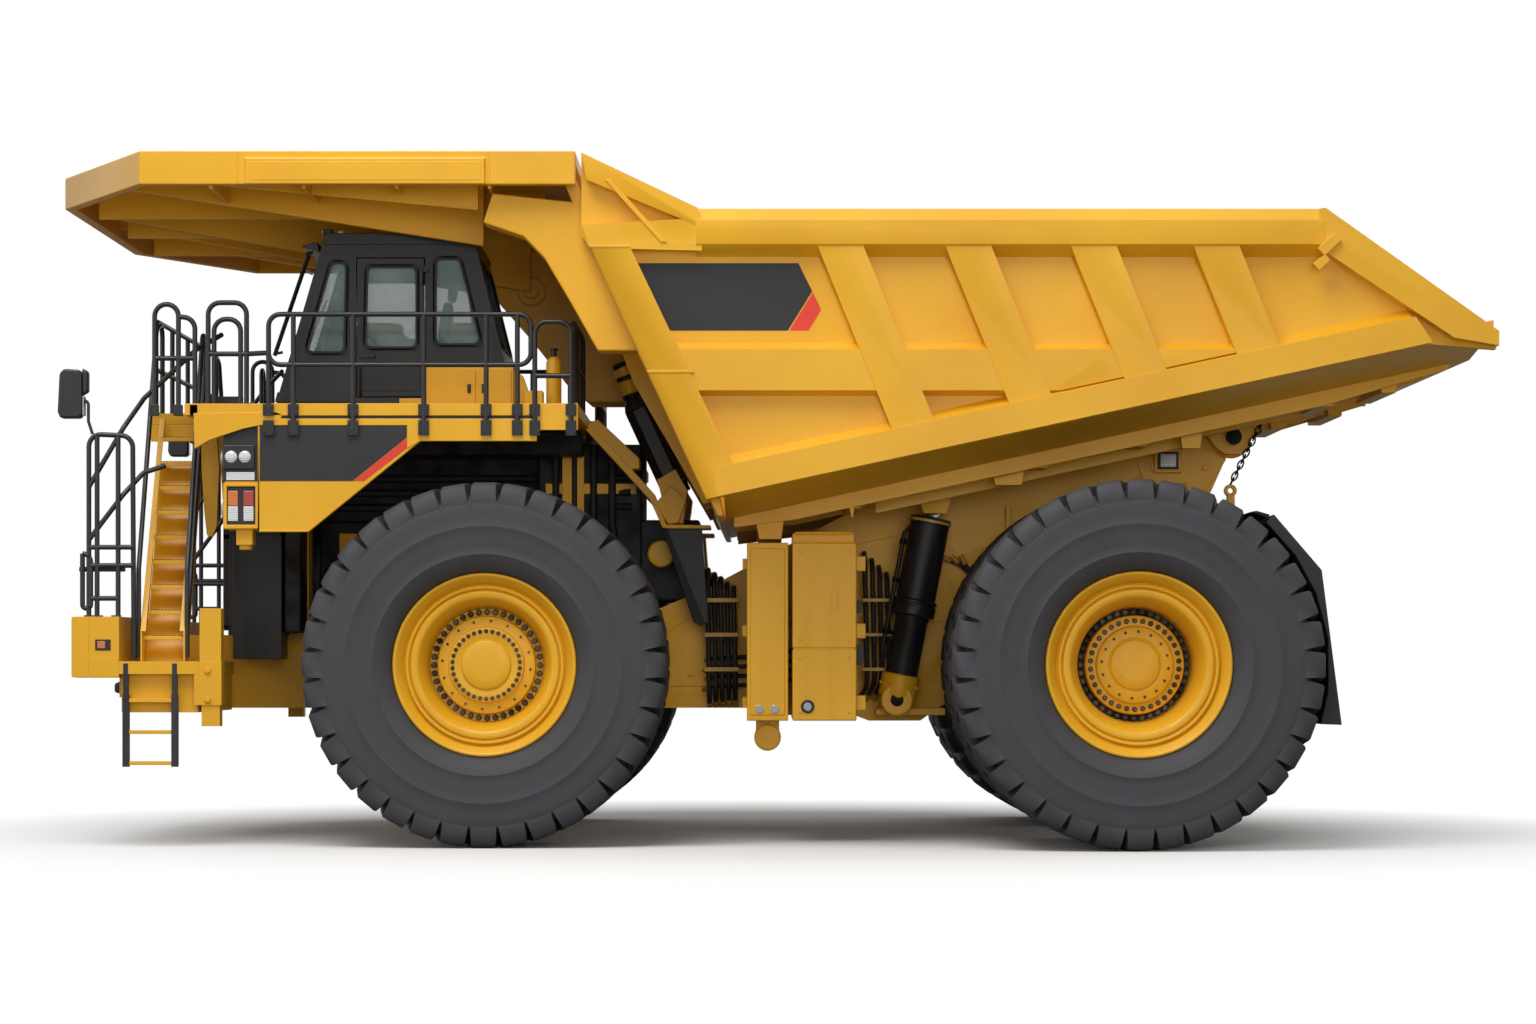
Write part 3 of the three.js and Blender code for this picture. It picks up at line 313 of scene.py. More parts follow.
@dataclass(frozen=True)
class TintedGlass:
    """Laminated safety glass with a green-grey tint and a thin film of dust."""

    name: str
    colour: str
    dust: str
    alpha: float = 0.34

    def make(self) -> bpy.types.Material:
        """Builds the material."""
        material, tree = new_material(self.name)
        place = place_of(tree)
        film = add_node(tree, "ShaderNodeTexNoise", {"Scale": 2.2, "Detail": 5.0},
            {"Vector": place}).outputs[0]
        colour = blend_colours(tree, ranged(tree, film, 0.35, 0.75, 0.0, 0.5), linear(self.colour),
            linear(self.dust))
        alpha = ranged(tree, film, 0.3, 0.8, self.alpha, self.alpha + 0.14)
        shader = add_node(tree, "ShaderNodeBsdfPrincipled", {"IOR": 1.52, "Roughness": 0.05},
            {"Base Color": colour, "Alpha": alpha})
        surface(tree, shader)
        return material


@dataclass(frozen=True)
class MouldedLens:
    """Polycarbonate lamp lens with moulded flutes in front of a bright reflector; painted shade darkens the
    troughs of the flutes.
    """

    name: str
    colour: str
    shade: str
    flute_mm: float = 12.0

    def make(self) -> bpy.types.Material:
        """Builds the material."""
        material, tree = new_material(self.name)
        flutes = add_node(tree, "ShaderNodeTexWave", {"Scale": 1000 / self.flute_mm / 6.3,
            "Distortion": 0.4}, {"Vector": place_of(tree)}, bands_direction="Z").outputs[1]
        # Painted shade: the flute bands give the ridges the lens colour and the troughs a darker shade colour.
        colour = blend_colours(tree, flutes, linear(self.shade), linear(self.colour))
        bump = add_node(tree, "ShaderNodeBump", {"Strength": 0.4, "Distance": 0.003},
            {"Height": flutes})
        shader = add_node(tree, "ShaderNodeBsdfPrincipled", {"IOR": 1.58, "Roughness": 0.12,
            "Coat Weight": 1.0, "Coat Roughness": 0.05}, {"Base Color": colour,
            "Normal": bump.outputs[0]})
        surface(tree, shader)
        return material


@dataclass(frozen=True)
class WovenFabric:
    """Flat-woven polyester seat cloth: two crossed waves of thread over foam."""

    name: str
    colour: str
    thread: str
    thread_mm: float = 6.0      # real threads are 0.6 mm; drawn ten times as coarse to show

    def make(self) -> bpy.types.Material:
        """Builds the material."""
        material, tree = new_material(self.name)
        place = place_of(tree)
        waves = [add_node(tree, "ShaderNodeTexWave", {"Scale": 1000 / self.thread_mm / 6.3},
            {"Vector": place}, bands_direction=axis).outputs[1] for axis in "XZ"]
        weave = add_node(tree, "ShaderNodeMath", links={0: waves[0], 1: waves[1]},
            operation="MULTIPLY").outputs[0]
        colour = blend_colours(tree, weave, linear(self.colour), linear(self.thread))
        bump = add_node(tree, "ShaderNodeBump", {"Strength": 0.35, "Distance": 0.002},
            {"Height": weave})
        shader = add_node(tree, "ShaderNodeBsdfPrincipled", {"Roughness": 0.9, "Sheen Weight": 0.3,
            "Sheen Roughness": 0.4}, {"Base Color": colour, "Normal": bump.outputs[0]})
        surface(tree, shader)
        return material


class Finish(Enum):
    """The truck's finishes."""

    YELLOW = MachineEnamel("yellow_machine_enamel", "#E9AE1E", "#DFA318", "#86744A",
        roughness=0.42, coat=0.12, dusty=0.1)
    BLACK = MachineEnamel("black_machine_enamel", "#1B1C1E", "#151618", "#5A554C", roughness=0.42,
        coat=0.15, dusty=0.25)
    BLACK_FILM = MachineEnamel("black_vinyl_film", "#242527", "#1F2022", "#3A3A3A", roughness=0.5,
        coat=0.0, dusty=0.08)
    RED_FILM = MachineEnamel("red_vinyl_film", "#E2402C", "#D63A28", "#A05A48", roughness=0.45,
        coat=0.0, dusty=0.08)
    ZINC = MachineEnamel("yellow_zinc_flake", "#C79A3A", "#B08430", "#6E5A30", roughness=0.35)
    TYRE = MouldedRubber("tyre_rubber", "#37373A", "#4B4B51")
    FLAP = MouldedRubber("flap_rubber", "#1D1E20", "#34363A", grain_mm=10.0)
    HOSE = MouldedRubber("hose_rubber", "#17181A", "#2E3033", roughness=0.5, bump=0.1)
    GASKET = MouldedRubber("window_seal_rubber", "#101112", "#222325", roughness=0.45, bump=0.05)
    CAST_IRON = MachinedMetal("oiled_cast_iron", "#3A3B3D", "#1E1C19", 0.6, 0.5)
    DARK_STEEL = MachinedMetal("black_oxide_steel", "#2B2C2F", "#151515", 0.8, 0.4)
    BOLT = MachinedMetal("phosphated_bolt_steel", "#6A5F4C", "#2A241A", 0.8, 0.35)
    CHROME = MachinedMetal("chromed_rod_steel", "#B9BCBF", "#8E9093", 1.0, 0.12, bump=0.02)
    MIRROR = MachinedMetal("silvered_glass", "#C9CFD2", "#B5BBBE", 1.0, 0.04, bump=0.0)
    CLEAR_LENS = MouldedLens("clear_lamp_lens", "#E6E8E6", "#B4B9B8")
    AMBER_LENS = MouldedLens("amber_lamp_lens", "#E07A18", "#B0560C")
    RED_LENS = MouldedLens("red_lamp_lens", "#C02A1C", "#8A1810")
    GLASS = TintedGlass("tinted_safety_glass", "#7FA09E", "#C3D2CF")
    CLOTH = WovenFabric("woven_seat_cloth", "#1D1F22", "#3A3D42")


SLOT_OF = {**dict.fromkeys((Finish.BLACK, Finish.BLACK_FILM, Finish.RED_FILM, Finish.HOSE,
    Finish.GASKET), Slot.BLACK), **dict.fromkeys((Finish.ZINC, Finish.CAST_IRON, Finish.DARK_STEEL,
    Finish.BOLT, Finish.CHROME, Finish.MIRROR), Slot.STEEL), **dict.fromkeys((Finish.CLEAR_LENS,
    Finish.AMBER_LENS, Finish.RED_LENS, Finish.GLASS), Slot.GLASS), Finish.YELLOW: Slot.YELLOW,
    Finish.TYRE: Slot.TYRE, Finish.FLAP: Slot.FLAP, Finish.CLOTH: Slot.SEAT}
MATERIALS: dict[Finish, bpy.types.Material] = {}


def material_of(finish: Finish) -> bpy.types.Material:
    """The one material of a finish, made when it is first asked for."""
    if finish not in MATERIALS:
        MATERIALS[finish] = finish.value.make()
    return MATERIALS[finish]


# Shapes


class Shape:
    """Corners and faces of one piece while it is built, x counted back from the front axle."""

    def __init__(self, finish: Finish | None = None) -> None:
        """Starts empty, with the finish of the first faces."""
        self.points: list[Vector] = []
        self.faces: list[tuple[list[int], int]] = []
        self.finishes: list[Finish] = [finish] if finish else []
        self.current = 0

    def use(self, finish: Finish) -> "Shape":
        """Faces added from now on have this finish."""
        if finish not in self.finishes:
            self.finishes.append(finish)
        self.current = self.finishes.index(finish)
        return self

    def add(self, points: Iterable[Point], faces: Iterable[Sequence[int]]) -> None:
        """Adds corners and the faces between them."""
        start = len(self.points)
        self.points.extend(Vector(p) for p in points)
        self.faces.extend(([start + i for i in face], self.current) for face in faces)

    def merge(self, other: "Shape", matrix: Matrix = Matrix.Identity(4)) -> "Shape":
        """Adds another shape's faces, moved by a matrix, in the current finish."""
        self.add([matrix @ p for p in other.points], [face for face, _ in other.faces])
        return self

    def loft(self, rings: Sequence[Sequence[Point]], closed: bool = False,
            caps: bool = True) -> "Shape":
        """Joins rings of as many corners each, in order.

        Args:
            rings: Rings of corners.
            closed: Whether the last ring joins the first.
            caps: Whether the first and last ring are filled.

        Returns:
            This shape.
        """
        count, sides = len(rings), len(rings[0])
        faces = []
        for i in range(count if closed else count - 1):
            a, b = i * sides, (i + 1) % count * sides
            faces += [(a + j, a + (j + 1) % sides, b + (j + 1) % sides,
                b + j) for j in range(sides)]
        if caps and not closed:
            faces += [tuple(range(sides)), tuple(range((count - 1) * sides, count * sides))]
        self.add([p for ring in rings for p in ring], faces)
        return self

    def prism(self, outline: Outline, axis: str, start: float, end: float,
            top: Outline | None = None) -> "Shape":
        """Extrudes an outline along an axis.

        Args:
            outline: Corners along the other two axes, in the order x, y, z.
            axis: Axis of the extrusion.
            start: Where it starts.
            end: Where it ends.
            top: Outline at the end, if it differs.

        Returns:
            This shape.
        """
        def ring(corners: Outline, at: float) -> list[Point]:
            spots = {"x": lambda u, v: (at, u, v), "y": lambda u, v: (u, at, v), "z": lambda u,
                v: (u, v, at)}
            return [spots[axis](u, v) for u, v in corners]

        return self.loft([ring(outline, start), ring(top or outline, end)])

    def block(self, x: Outline, y: Outline, z: Outline) -> "Shape":
        """A box between two values along each axis."""
        return self.prism([(x[0], y[0]), (x[1], y[0]), (x[1], y[1]), (x[0], y[1])], "z", *z)

    def blocks(self, *boxes: tuple[Outline, Outline, Outline]) -> None:
        """Several boxes."""
        for box in boxes:
            self.block(*box)

    def turned(self, profile: Outline, origin: Point, axis: Point, segments: int = 48) -> "Shape":
        """Turns a profile about an axis.

        Args:
            profile: Radius and distance along the axis of each corner; a closed outline or
                one that starts and ends on the axis gives a closed solid.
            origin: Where the distances along the axis start.
            axis: Direction of the axis.
            segments: Sides of the turned shape.

        Returns:
            This shape.
        """
        matrix = Matrix.Translation(origin) @ Vector(axis).to_track_quat("Z",
            "Y").to_matrix().to_4x4()
        turns = [2 * math.pi * (i + 0.5) / segments for i in range(segments)]
        rings = [[matrix @ Vector((r * math.cos(t), r * math.sin(t), h)) for r,
            h in profile] for t in turns]
        loose = profile[0] != profile[-1]
        count = len(profile)
        faces = []
        for i in range(segments):
            a, b = i * count, (i + 1) % segments * count
            faces += [(a + j, a + j + 1, b + j + 1, b + j) for j in range(count - 1)]
            if loose and profile[0][0] > 0 and profile[-1][0] > 0:
                faces.append((a + count - 1, a, b, b + count - 1))
        self.add([p for ring in rings for p in ring], faces)
        return self

    def rod(self, start: Point, end: Point, radius: float, sides: int = 20,
            end_radius: float | None = None, chamfer: float = 0.0) -> "Shape":
        """A round bar between two points, with chamfered ends."""
        line = Vector(end) - Vector(start)
        last = radius if end_radius is None else end_radius
        profile = [(0.0, 0.0), (radius - chamfer, 0.0), (radius, chamfer),
            (last, line.length - chamfer), (last - chamfer, line.length), (0.0, line.length)]
        kept = [p for i, p in enumerate(profile) if i == 0 or p != profile[i - 1]]
        return self.turned(kept, start, line, sides)

    def nut(self, at: Point, axis: Point, width: float, height: float,
            washer: bool = True) -> "Shape":
        """A hexagon head with a domed top on a washer."""
        r = width / math.sqrt(3)
        if washer:
            self.turned([(0, 0), (r * 1.18, 0), (r * 1.18, height * 0.14), (0, height * 0.14)], at,
                axis, 12)
        self.turned([(0, height * 0.1), (r, height * 0.1), (r, height * 0.85), (r * 0.82, height),
            (0, height)], at, axis, 6)
        return self

    def tube(self, path: Sequence[Point], radius: float, sides: int = 12, bend: float = 0.0,
            steps: int = 6) -> "Shape":
        """Sweeps a circle along a path whose corners are rounded.

        Args:
            path: Corners of the path.
            radius: Radius of the tube.
            sides: Sides of the tube.
            bend: Radius of the rounded corners.
            steps: Pieces of each rounded corner.

        Returns:
            This shape.
        """
        line = rounded(path, bend, steps) if bend > 0 else [Vector(p) for p in path]
        normal = None
        rings = []
        for i, spot in enumerate(line):
            ahead = line[min(i + 1, len(line) - 1)] - spot
            behind = spot - line[max(i - 1, 0)]
            along = (ahead.normalized() + behind.normalized()).normalized()
            if normal is None:
                normal = along.orthogonal().normalized()
            normal = (normal - along * normal.dot(along)).normalized()
            other = along.cross(normal)
            turns = [2 * math.pi * j / sides for j in range(sides)]
            rings.append([spot + normal * radius * math.cos(t) + other * radius * math.sin(t)
                for t in turns])
        return self.loft(rings)

    def mesh(self, name: str) -> bpy.types.Mesh:
        """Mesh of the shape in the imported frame, its faces pointing out."""
        built = bmesh.new()
        corners = [built.verts.new(p + SHIFT) for p in self.points]
        for face, finish in self.faces:
            distinct = list(dict.fromkeys(face))
            if len(distinct) > 2:
                try:
                    built.faces.new([corners[i] for i in distinct]).material_index = finish
                except ValueError:
                    continue
        bmesh.ops.remove_doubles(built, verts=built.verts, dist=1e-5)
        bmesh.ops.dissolve_degenerate(built, edges=built.edges, dist=1e-6)
        bmesh.ops.recalc_face_normals(built, faces=built.faces)
        mesh = bpy.data.meshes.new(name)
        built.to_mesh(mesh)
        built.free()
        return mesh

    def piece(self, name: str, replaces: Sequence[str] = (), bevel: float = 0.0, segments: int = 2,
            smooth: float = SMOOTH_ANGLE, body: str = FRAME,
            slot: Slot | None = None) -> bpy.types.Object:
        """Makes the shape a finished piece that rides on a body.

        Args:
            name: Name of the piece.
            replaces: CAD nodes that it stands for.
            bevel: Width of its broken edges.
            segments: Steps across a broken edge.
            smooth: Edges flatter than this angle are shaded smooth.
            body: Body that carries it.
            slot: Slot of the record, where it isn't the first finish's own; not used.

        Returns:
            The piece.
        """
        made = bpy.data.objects.new(name, self.mesh(name))
        for finish in self.finishes:
            made.data.materials.append(material_of(finish))
        return finished(made, body, replaces, bevel, segments,
            smooth)


def rounded(path: Sequence[Point], bend: float, steps: int = 6) -> list[Vector]:
    """Rounds the corners of a path.

    Args:
        path: Corners of the path.
        bend: Radius of the rounding, less where a run is short.
        steps: Pieces of each rounded corner.

    Returns:
        Points of the rounded path.
    """
    spots = [Vector(p) for p in path]
    line = [spots[0]]
    for before, corner, after in zip(spots, spots[1:], spots[2:]):
        back, on = (before - corner), (after - corner)
        angle = back.angle(on)
        if angle > math.radians(175):
            line.append(corner)
            continue
        reach = min(bend / math.tan(angle / 2), back.length * 0.48, on.length * 0.48)
        a, b = corner + back.normalized() * reach, corner + on.normalized() * reach
        for i in range(steps + 1):
            t = i / steps
            line.append(a * (1 - t) ** 2 + corner * 2 * t * (1 - t) + b * t * t)
    line.append(spots[-1])
    return line


def finished(made: bpy.types.Object, body: str,
        replaces: Sequence[str] = (), bevel: float = 0.0, segments: int = 2,
        smooth: float = SMOOTH_ANGLE) -> bpy.types.Object:
    """Shades a new object, breaks its edges and lets it ride on a body."""
    bpy.context.scene.collection.objects.link(made)
    made.data.shade_smooth()
    made.data.set_sharp_from_angle(angle=smooth)
    if bevel > 0:
        edge = made.modifiers.new("edges", "BEVEL")
        edge.width = bevel
        edge.segments = segments
        edge.limit_method = "ANGLE"
        edge.angle_limit = EDGE_ANGLE
        edge.harden_normals = True
    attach(made, body)
    if replaces:
        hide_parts(*replaces)
    LOG.info("%s rides on %s", made.name, body)
    return made


def refined(node: str, finish: Finish, bevel: float = 0.012, areas: Sequence[tuple[Finish,
        Callable[[Vector], bool]]] = ()) -> bpy.types.Object:
    """A copy of a CAD node with broken edges, which stands for it.

    Args:
        node: CAD node.
        finish: Its finish.
        bevel: Width of the broken edges.
        areas: Other finishes and the test that picks their faces, by the face's middle
            with x counted back from the front axle.

    Returns:
        The piece.
    """
    built = bmesh.new()
    built.from_mesh(frame["nodes"][node].data)
    bmesh.ops.remove_doubles(built, verts=built.verts, dist=2e-5)
    bmesh.ops.dissolve_limit(built, angle_limit=math.radians(0.6), verts=built.verts,
        edges=built.edges)
    for face in built.faces:
        middle = face.calc_center_median() - SHIFT
        face.material_index = next((i + 1 for i, (_, test) in enumerate(areas) if test(middle)), 0)
    mesh = bpy.data.meshes.new(node + "_refined")
    built.to_mesh(mesh)
    built.free()
    made = bpy.data.objects.new(node + "_finished", mesh)
    for each in (finish, *(f for f, _ in areas)):
        mesh.materials.append(material_of(each))
    return finished(made, frame["nodes"][node]["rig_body"], (node,), bevel)


def paint(node: str, finish: Finish) -> None:
    """Gives a CAD node that stays in view its finish."""
    mesh = frame["nodes"][node].data
    mesh.materials.clear()
    mesh.materials.append(material_of(finish))
    LOG.info("%s keeps its packed shape", node)


# Repeated by node trees


class Tree:
    """A geometry node tree with named inputs, applied to a mesh."""

    def __init__(self, name: str, inputs: dict[str, tuple[str, object]]) -> None:
        """Starts a tree.

        Args:
            name: Name of the tree.
            inputs: Socket type and default of each named input.
        """
        self.tree = bpy.data.node_groups.new(name, "GeometryNodeTree")
        face = self.tree.interface
        face.new_socket("Geometry", in_out="INPUT", socket_type="NodeSocketGeometry")
        self.sockets = {}
        for label, (kind, default) in inputs.items():
            socket = face.new_socket(label, in_out="INPUT", socket_type=kind)
            if default is not None:
                socket.default_value = default
            self.sockets[label] = socket.identifier
        face.new_socket("Geometry", in_out="OUTPUT", socket_type="NodeSocketGeometry")
        self.start = self.tree.nodes.new("NodeGroupInput")

    def node(self, kind: str, values: dict | None = None, links: dict | None = None,
            **settings: object) -> bpy.types.Node:
        """Adds a node."""
        return add_node(self.tree, kind, values, links, **settings)

    def finish(self, geometry: bpy.types.NodeSocket) -> None:
        """Ends the tree: instances become real and take the material."""
        real = self.node("GeometryNodeRealizeInstances", links={0: geometry})
        dressed = self.node("GeometryNodeSetMaterial", links={0: real.outputs[0],
            "Material": self.start.outputs["Finish"]})
        self.node("NodeGroupOutput", links={0: dressed.outputs[0]})

    def apply(self, name: str, base: bpy.types.Mesh, values: dict[str, object]) -> bpy.types.Mesh:
        """Runs the tree on a mesh.

        Args:
            name: Name of the new mesh.
            base: Mesh that the tree starts from.
            values: Value of each named input.

        Returns:
            The result as a plain mesh.
        """
        carrier = bpy.data.objects.new(name + "_carrier", base)
        bpy.context.scene.collection.objects.link(carrier)
        modifier = carrier.modifiers.new("tree", "NODES")
        modifier.node_group = self.tree
        for label, value in values.items():
            modifier[self.sockets[label]] = value
        graph = bpy.context.evaluated_depsgraph_get()
        mesh = bpy.data.meshes.new_from_object(carrier.evaluated_get(graph), depsgraph=graph)
        mesh.name = name
        bpy.data.objects.remove(carrier)
        return mesh


def ring_tree() -> Tree:
    """Copies of a part round an axis through the origin, along Y."""
    tree = Tree("ring_of_parts", {"Part": ("NodeSocketObject", None),
        "Count": ("NodeSocketInt", 12), "Radius": ("NodeSocketFloat", 1.0),
        "Phase": ("NodeSocketFloat", 0.0), "Finish": ("NodeSocketMaterial", None)})
    given = tree.start.outputs
    points = tree.node("GeometryNodePoints", links={"Count": given["Count"]})
    index = tree.node("GeometryNodeInputIndex")
    step = tree.node("ShaderNodeMath", {0: 2 * math.pi}, {1: given["Count"]}, operation="DIVIDE")
    turn = tree.node("ShaderNodeMath", links={0: index.outputs[0], 1: step.outputs[0],
        2: given["Phase"]}, operation="MULTIPLY_ADD")
    along = tree.node("ShaderNodeMath", links={0: turn.outputs[0]}, operation="SINE")
    up = tree.node("ShaderNodeMath", links={0: turn.outputs[0]}, operation="COSINE")
    away = [tree.node("ShaderNodeMath", links={0: part.outputs[0], 1: given["Radius"]},
        operation="MULTIPLY") for part in (along, up)]
    spot = tree.node("ShaderNodeCombineXYZ", links={0: away[0].outputs[0], 2: away[1].outputs[0]})
    tree.tree.links.new(spot.outputs[0], points.inputs["Position"])
    facing = tree.node("ShaderNodeCombineXYZ", links={1: turn.outputs[0]})
    part = tree.node("GeometryNodeObjectInfo", links={"Object": given["Part"]})
    copies = tree.node("GeometryNodeInstanceOnPoints", links={"Points": points.outputs[0],
        "Instance": part.outputs["Geometry"], "Rotation": facing.outputs[0]})
    tree.finish(copies.outputs[0])
    return tree


def tube_tree() -> Tree:
    """A round tube along the edges of a wire, its corners bent to a radius."""
    tree = Tree("bent_tube", {"Radius": ("NodeSocketFloat", 0.03), "Bend": ("NodeSocketFloat",
        0.15), "Sides": ("NodeSocketInt", 12), "Finish": ("NodeSocketMaterial", None)})
    given = tree.start.outputs
    line = tree.node("GeometryNodeMeshToCurve", links={0: given["Geometry"]})
    bent = tree.node("GeometryNodeFilletCurve", {"Count": 6, "Limit Radius": True},
        {0: line.outputs[0], "Radius": given["Bend"]}, mode="POLY")
    section = tree.node("GeometryNodeCurvePrimitiveCircle", links={"Radius": given["Radius"],
        "Resolution": given["Sides"]})
    swept = tree.node("GeometryNodeCurveToMesh", {"Fill Caps": True},
        {0: bent.outputs[0], 1: section.outputs[0]})
    tree.finish(swept.outputs[0])
    return tree


def row_tree() -> Tree:
    """Copies of a part spaced evenly along a wire, turned to follow it."""
    tree = Tree("row_of_parts", {"Part": ("NodeSocketObject", None), "Count": ("NodeSocketInt", 8),
        "Finish": ("NodeSocketMaterial", None)})
    given = tree.start.outputs
    line = tree.node("GeometryNodeMeshToCurve", links={0: given["Geometry"]})
    spots = tree.node("GeometryNodeCurveToPoints", links={0: line.outputs[0],
        "Count": given["Count"]})
    part = tree.node("GeometryNodeObjectInfo", links={"Object": given["Part"]})
    copies = tree.node("GeometryNodeInstanceOnPoints", links={"Points": spots.outputs[0],
        "Instance": part.outputs["Geometry"], "Rotation": spots.outputs["Rotation"]})
    tree.finish(copies.outputs[0])
    return tree


RING = ring_tree()
TUBE = tube_tree()
ROW = row_tree()


def wire(name: str, chains: Iterable[Sequence[Point]]) -> bpy.types.Mesh:
    """Mesh of loose edges through each chain of points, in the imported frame."""
    mesh = bpy.data.meshes.new(name)
    points: list[Point] = []
    edges: list[tuple[int, int]] = []
    for chain in chains:
        start = len(points)
        points += [(p[0] + FRONT_AXLE, p[1], p[2]) for p in chain]
        edges += [(start + i, start + i + 1) for i in range(len(chain) - 1)]
    mesh.from_pydata(points, edges, [])
    return mesh


def part_object(shape: Shape) -> bpy.types.Object:
    """An object outside the scene for a tree to copy, about its own origin."""
    mesh = shape.mesh("part")
    mesh.transform(Matrix.Translation((-FRONT_AXLE, 0, 0)))
    return bpy.data.objects.new("part", mesh)


def tubes(name: str, chains: Iterable[Sequence[Point]], radius: float, bend: float, finish: Finish,
        replaces: Sequence[str] = (), sides: int = 14, body: str = FRAME) -> bpy.types.Object:
    """A piece of bent tubes along chains of points."""
    mesh = TUBE.apply(name, wire(name, chains), {"Radius": radius, "Bend": bend, "Sides": sides,
        "Finish": material_of(finish)})
    return finished(bpy.data.objects.new(name, mesh), body, replaces)


def ring(name: str, part: Shape, count: int, radius: float, centre: Point, phase: float, body: str,
        finish: Finish) -> bpy.types.Object:
    """A piece of copies of a part round a wheel's axle.

    Args:
        name: Name of the piece.
        part: Part about its own origin; its Z points away from the axle.
        count: How many.
        radius: Radius of the ring.
        centre: Middle of the ring, x counted back from the front axle.
        phase: Turn of the first copy from straight up, in radians.
        body: Body that carries it.
        finish: Its finish.

    Returns:
        The piece.
    """
    seed = bpy.data.meshes.new(name + "_seed")
    source = part_object(part)
    mesh = RING.apply(name, seed, {"Part": source, "Count": count, "Radius": radius,
        "Phase": phase, "Finish": material_of(finish)})
    bpy.data.objects.remove(source)
    mesh.transform(Matrix.Translation(Vector(centre) + SHIFT))
    return finished(bpy.data.objects.new(name, mesh), body)


def row(name: str, part: Shape, count: int, chains: Iterable[Sequence[Point]], finish: Finish) -> bpy.types.Object:
    """A piece of copies of a part spaced along chains of points."""
    source = part_object(part)
    mesh = ROW.apply(name, wire(name, chains), {"Part": source, "Count": count,
        "Finish": material_of(finish)})
    bpy.data.objects.remove(source)
    return finished(bpy.data.objects.new(name, mesh), FRAME)


# Wheels


@dataclass
class Tyre:
    """Rock tyre with deep shoulder lugs; sizes in metres about its middle plane."""

    radius: float = 2.0
    half_width: float = 0.76
    lugs: int = 36
    chamfer: float = 0.016
    splay: float = 0.022
    slant: float = math.radians(3.2)
    segments: int = 144

    def carcass(self, centre: Point, shape: Shape) -> Shape:
        """Adds the body of the tyre up to the bottom of its grooves, with moulded rings."""
        half = [(1.008, 0.5), (1.012, 0.585), (1.05, 0.64), (1.1, 0.69), (1.17, 0.728),
            (1.2, 0.739), (1.206, 0.743), (1.214, 0.743), (1.22, 0.74), (1.3, 0.748), (1.4, 0.754),
            (1.5, 0.757), (1.506, 0.7595), (1.518, 0.7595), (1.524, 0.757), (1.62, 0.756),
            (1.7, 0.754), (1.76, 0.751), (1.782, 0.742), (1.796, 0.715), (1.812, 0.67),
            (1.84, 0.61), (1.862, 0.56), (1.877, 0.46), (1.882, 0.2)]
        profile = half + [(1.884, 0.0)] + [(r, -y) for r, y in reversed(half)]
        return shape.turned(profile + [profile[0]], centre, (0, 1, 0), self.segments)

    def lug(self) -> Shape:
        """One shoulder block from the sidewall to the middle of the tread, at the top."""
        stations = [
            # outer radius, outer y, inner radius, inner y, half width, turn
            (1.745, 0.753, 1.7, 0.69, 0.14, 0.0), (1.79, 0.757, 1.74, 0.64, 0.141, 0.0),
            (1.86, 0.754, 1.77, 0.6, 0.138, 0.0), (1.935, 0.734, 1.8, 0.56, 0.135, 0.0),
            (1.975, 0.704, 1.82, 0.52, 0.133, 0.02), (1.993, 0.658, 1.84, 0.48, 0.132, 0.06),
            (2.0, 0.56, 1.85, 0.44, 0.13, 0.2), (2.0, 0.34, 1.85, 0.34, 0.126, 0.6),
            (2.0, 0.14, 1.85, 0.14, 0.118, 1.0), (1.99, 0.055, 1.85, 0.055, 0.108, 1.1),
        ]
        rings = []
        for outer, out_y, inner, in_y, width, share in stations:
            turn = self.slant * share
            corners = [(inner, in_y, -width - self.splay), (outer - self.chamfer, out_y, -width),
                (outer, out_y - 0.004, -width + self.chamfer), (outer, out_y - 0.004,
                width - self.chamfer), (outer - self.chamfer, out_y, width),
                (inner, in_y, width + self.splay)]
            ring = []
            for radius, y, along in corners:
                angle = turn + along / radius
                ring.append((radius * math.sin(angle), y, radius * math.cos(angle)))
            rings.append(ring)
        return Shape().loft(rings)

    def build(self, name: str, node: str, body: str, centre: Point) -> None:
        """Builds one tyre in place of its CAD node."""
        lug, tread = self.lug(), Shape(Finish.TYRE)
        pitch = 2 * math.pi / self.lugs
        for hand in SIDES:
            flip = Matrix.Scale(hand, 4, (0, 1, 0))
            mirrored = Shape().merge(lug, flip)
            ring(f"{name}_tread_{side_name(hand)}", mirrored, self.lugs, 0.0, centre,
                pitch / 2 if hand > 0 else 0.0, body, Finish.TYRE)
        self.carcass(centre, tread).piece(f"{name}_carcass", (node,), smooth=math.radians(50),
            body=body, slot=Slot.TYRE)


